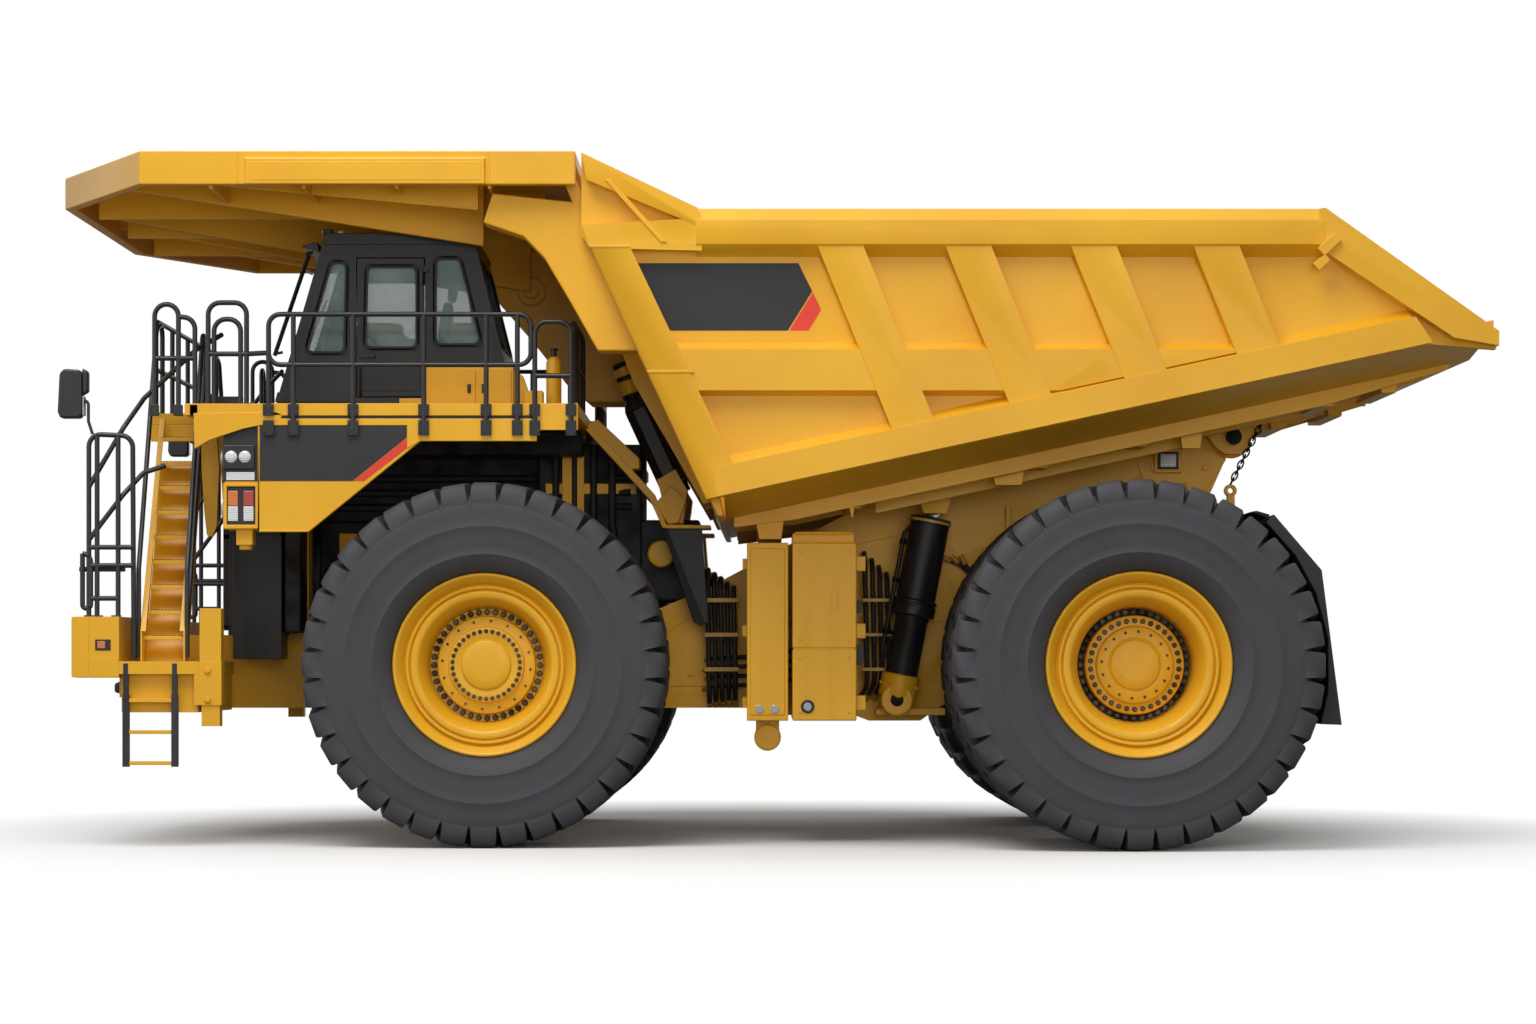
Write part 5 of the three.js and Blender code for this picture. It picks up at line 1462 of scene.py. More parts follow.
    def exhausts(self) -> None:
        """Exhaust ducts: eight-sided shrouds between a yellow elbow and its bracket."""
        for side in SIDES:
            name = side_name(side)
            y = side * 1.37
            duct = Shape(Finish.BLACK)
            duct.rod((2.0, y, 4.1), (1.6, y, 4.97), 0.178, 8, chamfer=0.012)
            duct.rod((1.6, y, 4.97), (1.545, y, 5.1), 0.178, 8, 0.13, chamfer=0.004)
            duct.use(Finish.DARK_STEEL)
            duct.rod((1.555, y, 5.07), (1.41, y, 5.5), 0.125, 24, chamfer=0.012)
            duct.piece(f"exhaust_{name}_finished", (f"exhaust_{name}",))
            band = Shape(Finish.YELLOW)
            band.rod((1.525, y, 5.14), (1.475, y, 5.3), 0.137, 24, chamfer=0.01)
            band.rod((1.462, y, 5.35), (1.42, y, 5.48), 0.145, 24, 0.12, chamfer=0.01)
            band.prism([(1.82, 4.14), (2.03, 4.26), (2.17, 4.02), (2.12, 3.63), (1.95, 3.63)], "y",
                y - 0.185, y + 0.185)
            band.piece(f"exhaust_bands_{name}", bevel=0.008)

    def air_cleaners(self) -> None:
        """Air cleaner drums with clamped lids on their plinth at the right of the deck."""
        drums = Shape(Finish.YELLOW)
        z = self.top_z
        drums.block((-2.2, -0.2), (1.2, 2.7), (z, z + 0.35))
        clamps = Shape(Finish.DARK_STEEL)
        for x in (-1.75, -0.65):
            centre = (x, 1.95, z)
            drums.turned([(0, 0.3), (0.41, 0.3), (0.418, 0.32), (0.418, 0.58), (0.43, 0.6),
                (0.418, 0.62), (0.418, 1.12), (0.43, 1.14), (0.42, 1.2), (0.33, 1.26), (0.3, 1.28),
                (0.3, 1.36), (0.27, 1.4), (0, 1.4)], centre, (0, 0, 1), 48)
            for low in (1.06, 0.4):
                clamps.turned([(0.419, low), (0.428, low), (0.428, low + 0.04),
                    (0.419, low + 0.04), (0.419, low)], centre, (0, 0, 1), 48)
        drums.block((-1.4, -1.0), (1.83, 2.07), (z + 0.5, z + 0.76))
        drums.piece("air_cleaner_finished", ("air_cleaner",), bevel=0.01)
        clamps.piece("air_cleaner_bands")

    def build(self) -> None:
        """Builds the deck."""
        self.plates()
        self.film_panels()
        self.lamps()
        self.tread_plate()
        self.equipment()
        self.guards()
        self.exhausts()
        self.air_cleaners()


# Access


@dataclass
class Access:
    """Bumper, platforms, ladders and the two stairways."""

    front_x: float = -4.52
    half_width: float = 3.8
    stair_x: tuple[float, float] = (-3.79, -3.3)
    walkway_z: float = 2.04
    deck_z: float = 4.85
    foot_y: float = 3.6
    head_y: float = 2.35
    treads: int = 9

    def bumper(self) -> None:
        """Bumper beam with rounded end caps, seams, side lamps, platforms and towing box."""
        beam = Shape(Finish.YELLOW)
        w = self.half_width
        beam.prism([(self.front_x, 2.5), (self.front_x + 0.03, 2.53), (-4.0, 2.53), (-4.0, 1.86),
            (self.front_x + 0.05, 1.86), (self.front_x, 1.9)], "y", -w, w)
        for side in SIDES:
            y = side * w
            beam.blocks(((self.front_x + 0.004, -4.33), (y - side * 0.4, y + side * 0.008),
                (1.865, 2.526)), ((-4.33, -4.0), (y - side * 0.02, y + side * 0.005),
                (1.87, 2.08)), ((-4.02, -3.13), (side * 1.1, y), (1.9, self.walkway_z)),
                ((-3.99, -3.15), (side * 1.12, side * 3.69), (1.48, 1.91)),
                ((-3.12, -2.885), (side * 3.565, y - side * 0.01), (2.02, 2.62)),
                ((-3.18, -2.88), (side * 3.56, y - side * 0.003), (1.56, 2.035)),
                ((-3.1, -2.9), (side * 3.58, y - side * 0.02), (1.33, 1.57)))
            for z in (1.62, 1.94):
                beam.nut((-3.03, y - side * 0.003, z), (0, side, 0), 0.06, 0.03)
        beam.block((-4.5, -4.1), (-0.9, 0.9), (1.62, 1.87))
        beam.piece("front_bumper_finished", ("front_bumper",), bevel=0.014, segments=3)
        lamps = Shape(Finish.BLACK)
        lens = Shape(Finish.AMBER_LENS)
        for side in SIDES:
            y = side * (self.half_width + 0.001)
            lamps.block((-4.26, -4.09), (y - side * 0.02, y + side * 0.008), (2.16, 2.28))
            lens.block((-4.235, -4.15), (y, y + side * 0.014), (2.18, 2.26))
            lamps.block((-4.528, -4.5), (side * 2.6, side * 3.0), (2.16, 2.28))
            lens.block((-4.536, -4.52), (side * 2.66, side * 2.94), (2.18, 2.26))
        lamps.piece("bumper_lamp_frames", bevel=0.004)
        lens.piece("bumper_lamp_lenses", bevel=0.004)
        hooks = Shape(Finish.CAST_IRON)
        for y in (-0.62, 0.62):
            hooks.prism([(-4.6, 1.78), (-4.46, 1.84), (-4.46, 1.64), (-4.6, 1.68)], "y", y - 0.06,
                y + 0.06)
        hooks.piece("towing_eyes", bevel=0.02)

    def ladder(self) -> None:
        """Swinging lower ladder: black stiles with yellow rungs."""
        stiles = Shape(Finish.BLACK)
        for x in (-3.965, -3.43):
            stiles.blocks(((x, x + 0.075), (-3.798, -3.735), (0.885, 1.68)),
                ((x + 0.008, x + 0.067), (-3.802, -3.735), (1.62, 2.02)))
        stiles.block((-3.96, -3.36), (-3.798, -3.735), (1.985, 2.02))
        stiles.piece("lower_ladder_stiles", bevel=0.006)
        rungs = Shape(Finish.YELLOW)
        for z in (0.925, 1.265, 1.61):
            rungs.block((-3.9, -3.42), (-3.79, -3.69), (z - 0.02, z + 0.02))
        rungs.piece("lower_ladder_rungs", bevel=0.005)

    def stairway(self, side: int) -> None:
        """Closed-back stairs with folded stringers and serrated tread edges."""
        name = side_name(side)
        rise = (self.deck_z - self.walkway_z) / (self.treads + 1)
        going = (self.foot_y - self.head_y) / self.treads
        stairs = Shape(Finish.YELLOW)
        x0, x1 = self.stair_x
        for x, inward in ((x0, 1), (x1, -1)):
            outline = [(side * (self.foot_y + 0.06), self.walkway_z + 0.002),
                (side * (self.foot_y + 0.06), self.walkway_z + 0.33),
                (side * (self.head_y + 0.002), self.deck_z - 0.06), (side * (self.head_y + 0.002),
                self.deck_z - 0.42), (side * (self.foot_y - 0.15), self.walkway_z + 0.002)]
            stairs.prism(outline, "x", x, x + 0.018 * inward)
            lip = [(side * (self.foot_y + 0.065), self.walkway_z + 0.33),
                (side * (self.foot_y + 0.045), self.walkway_z + 0.33),
                (side * (self.head_y - 0.015), self.deck_z - 0.06), (side * (self.head_y + 0.008),
                self.deck_z - 0.06)]
            stairs.prism(lip, "x", x, x + 0.06 * inward)
        edges = []
        for i in range(self.treads):
            z = self.walkway_z + rise * (i + 1)
            y = self.foot_y - going * i
            stairs.blocks(((x0 + 0.012, x1 - 0.012), (side * y, side * (y - going * 1.3)),
                (z - 0.02, z)), ((x0 + 0.012, x1 - 0.012), (side * y, side * (y - 0.016)),
                (z - 0.042, z)))
            edges.append([(x0 + 0.05, side * (y - 0.03), z), (x1 - 0.05, side * (y - 0.03), z)])
        stairs.prism([(side * (self.foot_y - 0.2), self.walkway_z + 0.002),
            (side * (self.foot_y - 0.185), self.walkway_z + 0.002), (side * (self.head_y + 0.012),
            self.deck_z - 0.55), (side * (self.head_y + 0.002), self.deck_z - 0.55)], "x",
            x0 + 0.012, x1 - 0.012)
        stairs.piece(f"stairway_{name}_finished", (f"stairway_{name}",), bevel=0.004)
        tooth = Shape()
        tooth.prism([(-0.022, -0.012), (0.022, -0.012), (0.022, 0.012), (-0.022, 0.012)], "y",
            -0.009, 0.009)
        row(f"stair_tread_teeth_{name}", tooth, 11, edges, Finish.BOLT)

    def build(self) -> None:
        """Builds the ways up to the deck."""
        self.bumper()
        self.ladder()
        for side in SIDES:
            self.stairway(side)


# Cab


@dataclass
class Cab:
    """Operator's cab: shell, door, glass, roof lamps, seat and wheel."""

    left_y: float = -2.9
    right_y: float = -0.8
    base_z: float = 4.93
    roof_z: float = 6.81

    QUARTER = [(-2.076, 5.488), (-1.629, 5.488), (-1.607, 6.506), (-1.786, 6.506)]
    DOOR = [(-1.407, 5.542), (-0.822, 5.542), (-0.822, 6.458), (-1.387, 6.458)]
    REAR_LEFT = [(-0.623, 5.578), (-0.097, 5.578), (-0.343, 6.55), (-0.623, 6.55)]
    RIGHT = [(-1.9, 5.49), (-0.3, 5.49), (-0.42, 6.5), (-1.62, 6.5)]

    def face_x(self, z: float, rear: bool) -> float:
        """Place of the sloping front or rear face at a height."""
        share = (z - self.base_z) / (self.roof_z - self.base_z)
        return 0.27 - 0.47 * share if rear else -2.4 + 0.55 * share

    def shell(self) -> None:
        """Shell, roof cap and the plates around the door opening."""
        refined("cab_shell", Finish.BLACK, 0.022)
        trim = Shape(Finish.BLACK)
        for y, out in ((self.left_y, -1), (self.right_y, 1)):
            trim.prism([(-1.9, 6.7), (-1.84, 6.825), (-0.21, 6.825), (-0.15, 6.7)], "y", y,
                y + out * 0.016)
            trim.prism([(-2.415, 4.94), (-2.385, 5.05), (-1.53, 5.05), (-1.53, 4.94)], "y", y,
                y + out * 0.012)
            trim.prism([(-0.71, 4.94), (-0.71, 5.05), (0.25, 5.05), (0.275, 4.94)], "y", y,
                y + out * 0.012)
        trim.prism([(-1.87, 6.8), (-0.19, 6.8), (-0.26, 6.835), (-1.8, 6.835)], "y",
            self.left_y + 0.05, self.right_y - 0.05)
        trim.block((-1.48, -0.76), (self.left_y - 0.03, self.left_y + 0.03), (4.885, 4.935))
        trim.prism([(-1.93, 6.63), (-1.95, 6.74), (-2.12, 6.7), (-2.12, 6.68)], "y",
            self.left_y + 0.08, self.right_y - 0.08)
        trim.piece("cab_roof_cap", bevel=0.012, segments=3)

    def door(self) -> None:
        """Door leaf with broken edges, its handle and grab bar."""
        refined("cab_door", Finish.BLACK, 0.01)
        trim = Shape(Finish.BLACK)
        trim.block((-1.475, -0.775), (self.left_y - 0.004, self.left_y + 0.01), (5.06, 5.44))
        trim.piece("cab_door_pressing", bevel=0.012, segments=3, body="cab_door")
        handle = Shape(Finish.DARK_STEEL)
        handle.tube([(-1.455, self.left_y + 0.01, 5.02), (-1.455, self.left_y - 0.05, 5.02),
            (-1.455, self.left_y - 0.05, 5.36), (-1.455, self.left_y + 0.01, 5.36)], 0.013, 12,
            0.03)
        handle.piece("cab_door_grab_bar", body="cab_door")
        self.gasket("cab_door_gasket", self.DOOR, self.left_y, -1, "cab_door")

    def gasket(self, name: str, outline: Outline, y: float, out: int, body: str) -> None:
        """A rubber gasket with rounded corners round a side window."""
        seal = Shape(Finish.GASKET)
        middle_x = sum(x for x, _ in outline) / len(outline)
        middle_z = sum(z for _, z in outline) / len(outline)
        for grow, width in ((0.0, 0.02), (0.016, 0.012)):
            corners = [Vector((x + math.copysign(grow, x - middle_x), y + out * 0.004,
                z + math.copysign(grow, z - middle_z))) for x, z in outline]
            start = (corners[0] + corners[1]) / 2
            path = rounded([start, *corners[1:], corners[0], start], 0.085, 6)
            rings = []
            for i, spot in enumerate(path):
                along = (path[(i + 1) % len(path)] - path[i - 1])
                if along.length < 1e-6:
                    along = path[1] - path[0]
                side = along.normalized().cross(Vector((0, 1, 0)))
                rings.append([spot + side * width + Vector((0, -out * 0.02, 0)),
                    spot + side * width + Vector((0, out * 0.006, 0)),
                    spot - side * width + Vector((0, out * 0.006, 0)),
                    spot - side * width + Vector((0, -out * 0.02, 0))])
            seal.loft(rings[:-1], closed=True)
        seal.piece(name, body=body)

    def glazing(self) -> None:
        """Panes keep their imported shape; each has a gasket."""
        for node in ("windscreen", "rear_glass", "quarter_glass", "left_rear_glass", "right_glass",
                "door_glass"):
            paint(node, Finish.GLASS)
        self.gasket("quarter_window_gasket", self.QUARTER, self.left_y, -1, FRAME)
        self.gasket("left_rear_window_gasket", self.REAR_LEFT, self.left_y, -1, FRAME)
        self.gasket("right_window_gasket", self.RIGHT, self.right_y, 1, FRAME)
        frames = []
        for rear, (y0, y1), (z0, z1) in ((False, (-2.74, -0.96), (5.48, 6.6)),
                (True, (-2.6, -1.1), (5.58, 6.55))):
            x0, x1 = self.face_x(z0, rear), self.face_x(z1, rear)
            middle = (y0 + y1) / 2
            frames.append([(x0, middle, z0), (x0, y0, z0), (x1, y0, z1), (x1, y1, z1),
                (x0, y1, z0), (x0, middle, z0)])
        tubes("windscreen_gaskets", frames, 0.018, 0.07, Finish.GASKET, sides=8)
        wipers = []
        for y in (-2.3, -1.45):
            foot, tip = 5.5, 6.25
            wipers.append([(self.face_x(foot, False) - 0.03, y, foot),
                (self.face_x(5.9, False) - 0.045, y + 0.16, 5.9), (self.face_x(tip, False) - 0.02,
                y + 0.28, tip)])
        tubes("wiper_arms", wipers, 0.009, 0.05, Finish.DARK_STEEL, sides=8)

    def roof(self) -> None:
        """Lamps, beacon, antenna and the two sloping braces on the roof."""
        black = Shape(Finish.BLACK)
        amber = Shape(Finish.AMBER_LENS)
        clear = Shape(Finish.CLEAR_LENS)
        for y in (-2.62, -2.3):
            black.block((-1.905, -1.8), (y - 0.07, y + 0.07), (6.828, 6.9))
            black.rod((-1.7, y, 6.83), (-1.7, y, 6.855), 0.05, 16)
            clear.block((-1.912, -1.9), (y - 0.06, y + 0.06), (6.84, 6.89))
            clear.turned([(0.044, 0.0), (0.044, 0.02), (0.03, 0.032), (0, 0.034)],
                (-1.7, y, 6.853), (0, 0, 1), 16)
        black.block((-0.6, -0.47), (-2.6, -2.42), (6.82, 6.89))
        amber.turned([(0.052, 0.0), (0.052, 0.055), (0.036, 0.075), (0, 0.08)],
            (-0.28, -2.5, 6.83), (0, 0, 1), 20)
        amber.turned([(0.03, 0.0), (0.03, 0.03), (0, 0.04)], (-0.535, -2.5, 6.885), (0, 0, 1), 16)
        black.piece("roof_lamp_bodies", bevel=0.006)
        amber.piece("roof_beacons")
        clear.piece("roof_lamp_lenses")
        bars = [[(-2.05, -2.86, 6.6), (-2.05, -2.86, 6.587), (-2.43, -2.86, 5.466)],
            [(-2.05, -2.75, 6.6), (-2.05, -2.75, 6.587), (-2.43, -2.75, 5.466)],
            [(-1.99, -2.86, 6.62), (-2.07, -2.86, 6.6)], [(-2.33, -2.86, 5.5),
            (-2.43, -2.86, 5.48)]]
        tubes("cab_front_braces", bars, 0.016, 0.04, Finish.DARK_STEEL, sides=10)
        whip = Shape(Finish.DARK_STEEL)
        whip.rod((-1.4, -1.8, 6.82), (-1.4, -1.8, 6.9), 0.02, 12)
        whip.rod((-1.4, -1.8, 6.89), (-1.42, -1.8, 7.1), 0.006, 8, 0.003)
        whip.piece("roof_antenna")

    def seat(self) -> None:
        """Suspension seat: cushions, arm rests and its bellows base."""
        x, y, floor = -1.15, -1.9, self.base_z + 0.08
        base = Shape(Finish.GASKET)
        for i in range(5):
            z = floor + 0.04 + i * 0.052
            base.prism([(x, y - 0.18), (x + 0.42, y - 0.18), (x + 0.42, y + 0.18), (x, y + 0.18)],
                "z", z, z + 0.046)
        base.blocks(((x - 0.03, x + 0.47), (y - 0.22, y + 0.22), (floor, floor + 0.05)),
            ((x - 0.04, x + 0.5), (y - 0.26, y + 0.26), (floor + 0.3, floor + 0.34)))
        for hand in (-1, 1):
            base.prism([(x + 0.43, floor + 0.6), (x + 0.56, floor + 0.6), (x + 0.56, floor + 0.66),
                (x + 0.43, floor + 0.69)], "y", y + hand * 0.2, y + hand * 0.35)
            base.block((x + 0.06, x + 0.5), (y + hand * 0.3, y + hand * 0.37),
                (floor + 0.62, floor + 0.69))
        base.piece("operator_seat_base", ("operator_seat",), bevel=0.012, segments=3,
            slot=Slot.SEAT)
        cushion = Shape(Finish.CLOTH)
        self.pad(cushion, Vector((x + 0.24, y, floor + 0.4)), (0.6, 0.58, 0.15), 0.0)
        self.pad(cushion, Vector((x + 0.55, y, floor + 0.78)), (0.13, 0.54, 0.72), 0.137)
        self.pad(cushion, Vector((x + 0.64, y, floor + 1.24)), (0.1, 0.3, 0.2), 0.137)
        made = cushion.piece("operator_seat_cushions")

    def pad(self, shape: Shape, middle: Vector, size: tuple[float, float, float],
            lean: float) -> None:
        """A crowned cushion whose sides pull in, turned back by an angle about Y."""
        turn = Matrix.Rotation(lean, 4, "Y")
        half = [length / 2 for length in size]
        steps = 14
        rings = []
        for i in range(steps + 1):
            up = -math.cos(math.pi * i / steps)
            spread = max(abs(math.sin(math.pi * i / steps)), 0.02) ** 0.42
            ring_points = []
            for j in range(40):
                turned = 2 * math.pi * j / 40
                cx, cy = math.cos(turned), math.sin(turned)
                bulge = (abs(cx) ** 4 + abs(cy) ** 4) ** -0.25
                spot = Vector((cx * bulge * half[0] * spread, cy * bulge * half[1] * spread,
                    up * half[2]))
                ring_points.append(middle + turn @ spot)
            rings.append(ring_points)
        shape.loft(rings)

    def controls(self) -> None:
        """Steering wheel on its column and the instrument panel."""
        x, y, floor = -1.72, -1.9, self.base_z + 0.08
        hub = Vector((x + 0.21, y, floor + 0.78))
        lean = Matrix.Rotation(0.7, 3, "Y")
        wheel = Shape(Finish.GASKET)
        wheel.rod((x, y, floor), (x, y, floor + 0.43), 0.06, 24, chamfer=0.006)
        wheel.rod((x, y, floor + 0.4), hub, 0.034, 20)
        wheel.prism([(x - 0.3, floor + 0.38), (x - 0.02, floor + 0.38), (x - 0.05, floor + 0.47),
            (x - 0.16, floor + 0.56), (x - 0.3, floor + 0.56)], "y", y - 0.62, y + 0.5)
        rim = []
        for i in range(48):
            turn = 2 * math.pi * i / 48
            out = lean @ Vector((math.cos(turn), math.sin(turn), 0))
            up = lean @ Vector((0, 0, 1))
            rim.append([hub + out * 0.23 + (out * math.cos(a) + up * math.sin(a)) * 0.019
                for a in (2 * math.pi * k / 10 for k in range(10))])
        wheel.loft(rim, closed=True)
        for degrees in (90, 210, 330):
            turn = math.radians(degrees)
            wheel.rod(hub, hub + lean @ Vector((math.cos(turn), math.sin(turn), 0)) * 0.225, 0.014,
                10)
        wheel.rod(hub - lean @ Vector((0, 0, 0.03)), hub + lean @ Vector((0, 0, 0.02)), 0.06, 24,
            chamfer=0.008)
        wheel.piece("steering_wheel_and_panel", ("steering_column",), bevel=0.006)

    def build(self) -> None:
        """Builds the cab."""
        self.shell()
        self.door()
        self.glazing()
        self.roof()
        self.seat()
        self.controls()


# Rails


@dataclass
class Rails:
    """Handrails, clamps, stair rails and mirrors."""

    tube: float = 0.028
    bend: float = 0.13
    deck_y: float = 3.978
    deck_z: float = 4.85
    top: float = 5.82
    middle: float = 5.27
    foot: float = 4.53

    def clamps(self, shape: Shape, x: float, side: int, y: float) -> None:
        """Two clamp blocks with bolts that hold a post to the deck's edge."""
        for low, high in ((4.5, 4.665), (4.715, 4.842)):
            shape.block((x - 0.058, x + 0.058), (side * 3.962, y + side * 0.024), (low, high))
            for dx in (-0.043, 0.043):
                for z in (low + 0.035, high - 0.035):
                    shape.nut((x + dx, y + side * 0.022, z), (0, side, 0), 0.022, 0.012)

    def deck_rails(self, side: int) -> None:
        """Rail along the outer edge of the deck and the hoops at its ends."""
        name = side_name(side)
        y = side * self.deck_y
        inner = side * 3.83
        floor = self.deck_z + 0.001
        hoop = 5.96
        chains = [[(-0.5, y, self.top), (0.517, y, self.top), (0.517, y, self.middle),
            (-2.34, y, self.middle), (-2.34, y, self.top), (-0.5, y, self.top)],
            *[[(x, y, self.top), (x, y, self.foot)] for x in (-2.07, -1.42, -0.65, 0.03, 0.37)],
            [(-2.34, y, self.top - 0.2), (-2.34, y, floor - 0.1)], [(0.56, y, 4.6),
            (0.56, y, self.top - 0.08), (0.955, y, self.top - 0.08), (0.955, y, 4.6)],
            [(0.56, y, 5.15), (0.955, y, 5.15)], [(-3.02, inner, floor), (-3.02, inner, hoop),
            (-2.6, inner, hoop), (-2.6, inner, floor)], [(-3.02, inner, 5.4), (-2.6, inner, 5.4)],
            [(-2.955, inner, floor), (-2.955, inner, 5.78), (-2.665, inner, 5.78),
            (-2.665, inner, floor)], [(-2.6, inner, 5.4), (-2.34, y, 5.4)],]
        tubes(f"deck_rails_{name}", chains, self.tube, self.bend, Finish.BLACK,
            (f"deck_handrail_{name}",))
        held = Shape(Finish.BLACK)
        for x in (-2.34, -2.07, -1.42, -0.65, 0.03, 0.37, 0.56, 0.955):
            self.clamps(held, x, side, y)
        for x in (-3.02, -2.6):
            held.block((x - 0.05, x + 0.05), (inner - 0.05, inner + 0.05), (floor, floor + 0.012))
        held.piece(f"deck_rail_clamps_{name}", bevel=0.004)

    def rear_cross_rail(self) -> None:
        """Rail across the rear edge of the deck, from each side toward the middle."""
        chains = []
        for side in SIDES:
            near, far = side * 3.9, side * 1.75
            chains.append([(0.975, near, 4.85), (0.975, near, 5.74), (0.975, far, 5.74),
                (0.975, far, 4.85)])
            chains.append([(0.975, near, 5.3), (0.975, far, 5.3)])
            chains += [[(0.975, side * y, 5.74), (0.975, side * y, 4.85)] for y in (3.5, 3.1, 2.4)]
        tubes("rear_cross_rails", chains, self.tube, self.bend, Finish.BLACK)
        plates = Shape(Finish.BLACK)
        for side in SIDES:
            for y in (3.9, 3.5, 3.1, 2.4, 1.75):
                plates.block((0.93, 1.02), (side * y - 0.05, side * y + 0.05), (4.852, 4.866))
        plates.piece("rear_cross_rail_feet", bevel=0.003)

    def front_rail(self) -> None:
        """Rail across the front edge of the deck."""
        x, floor, top, middle = -3.84, self.deck_z, 5.9, 5.35
        chains = [[(x, -2.3, floor), (x, -2.3, top), (x, 2.3, top), (x, 2.3, floor)],
            [(x, -2.3, middle), (x, 2.3, middle)], *[[(x, y, top), (x, y, floor)] for y in (-1.15,
            0.0, 1.15)]]
        tubes("front_rail_finished", chains, self.tube, self.bend, Finish.BLACK,
            ("front_handrail",))
        feet = Shape(Finish.BLACK)
        for y in (-2.3, -1.15, 0.0, 1.15, 2.3):
            feet.block((x - 0.045, x + 0.045), (y - 0.06, y + 0.06), (floor + 0.001,
                floor + 0.014))
        feet.piece("front_rail_feet", bevel=0.003)

    def access_rails(self, side: int) -> None:
        """Bumper rail, both rails of the stairs and the gate at their head."""
        name = side_name(side)
        y = side * 3.74
        bumper = 2.531
        foot_y, head_y = side * 3.6, side * 2.4
        left, right = -3.818, -3.28
        hoop_y = side * 3.86
        chains = [[(-4.34, y, bumper), (-4.34, y, 4.53), (-3.86, y, 4.51),
            (-3.86, side * 3.66, 2.06)], [(-4.25, y, bumper), (-4.25, y, 4.52)],
            [(-4.02, y, bumper), (-4.02, y, 4.51)], [(-4.34, y, 3.29), (-3.86, y, 3.29)],
            [(-4.34, y, 3.09), (-3.86, y, 3.09)], [(-4.34, y, 2.73), (-4.02, y, 2.73)],
            [(-4.34, y, 3.95), (-3.97, side * 3.7, 4.6), (-3.8, side * 3.35, 4.95),
            (-3.3, side * 2.9, 5.52), (-3.05, side * 2.6, 5.72)], [(-4.34, y, 3.37),
            (-3.97, side * 3.7, 3.87), (-3.78, side * 3.5, 4.12), (-3.56, side * 3.4, 4.2)],
            [(left, foot_y, 2.08), (left, foot_y, 3.05), (left, head_y, 5.8),
            (left, side * 2.0, 5.9), (left, side * 2.0, 4.87)], [(right, side * 3.64, 2.08),
            (right, side * 3.64, 3.05), (right, side * 2.52, 5.72), (right, side * 2.36, 5.72),
            (right, side * 2.36, 4.87)], [(right, side * 3.64, 2.45), (right, side * 2.36, 5.25)],
            [(-3.6, hoop_y, 4.72), (-3.6, hoop_y, 5.94), (-3.34, hoop_y, 5.94),
            (-3.34, hoop_y, 4.72)], [(-3.6, hoop_y, 5.35), (-3.16, hoop_y, 5.35)],
            [(-3.16, hoop_y, 4.72), (-3.16, hoop_y, 5.8), (-3.34, hoop_y, 5.8)],]
        lower = [[(-4.41, y, 3.22), (-4.41, y, 2.62), (-4.32, y, 2.62), (-4.32, y, 3.22),
            (-4.41, y, 3.22)], [(-4.45, side * 3.7, 3.05), (-3.95, side * 3.7, 3.05)],]
        tubes(f"access_rails_{name}", [*chains, *lower], self.tube, self.bend, Finish.BLACK,
            (f"access_rail_{name}",))
        feet = Shape(Finish.BLACK)
        for x in (-4.34, -4.24, -4.04):
            feet.block((x - 0.05, x + 0.05), (y - 0.05, y + 0.05), (bumper, bumper + 0.014))
        for x in (-3.6, -3.34, -3.16):
            feet.block((x - 0.045, x + 0.045), (hoop_y - side * 0.04, side * 3.95), (4.72, 4.84))
        feet.piece(f"access_rail_feet_{name}", bevel=0.004)

    def mirror(self, side: int) -> None:
        """Mirror head with a ribbed back on its bent arm."""
        name = side_name(side)
        x, y, foot = -4.34, side * 3.74, 4.53
        head = Shape(Finish.BLACK)
        head.prism([(x - 0.3, foot + 0.17), (x - 0.09, foot + 0.17), (x - 0.06, foot + 0.21),
            (x - 0.06, foot + 0.64), (x - 0.09, foot + 0.7), (x - 0.26, foot + 0.71),
            (x - 0.31, foot + 0.66), (x - 0.33, foot + 0.24)], "y", y - 0.09, y + 0.09)
        head.prism([(x - 0.065, foot + 0.42), (x + 0.0, foot + 0.46), (x + 0.0, foot + 0.68),
            (x - 0.065, foot + 0.72)], "y", y - 0.07, y + 0.07)
        head.piece(f"mirror_head_{name}", bevel=0.025, segments=4)
        glass = Shape(Finish.MIRROR)
        glass.block((x - 0.055, x - 0.045), (y - 0.075, y + 0.075), (foot + 0.2, foot + 0.41))
        glass.piece(f"mirror_glass_{name}", bevel=0.003)
        tubes(f"mirror_arm_{name}", [[(x - 0.07, y, foot + 0.37), (x - 0.005, y, foot + 0.36),
            (x - 0.005, y, foot + 0.14), (x + 0.04, y, foot)]], 0.017, 0.05, Finish.BLACK)

    def build(self) -> None:
        """Builds the rails."""
        for side in SIDES:
            self.deck_rails(side)
            self.access_rails(side)
            self.mirror(side)
        self.rear_cross_rail()
        self.front_rail()


# Chassis


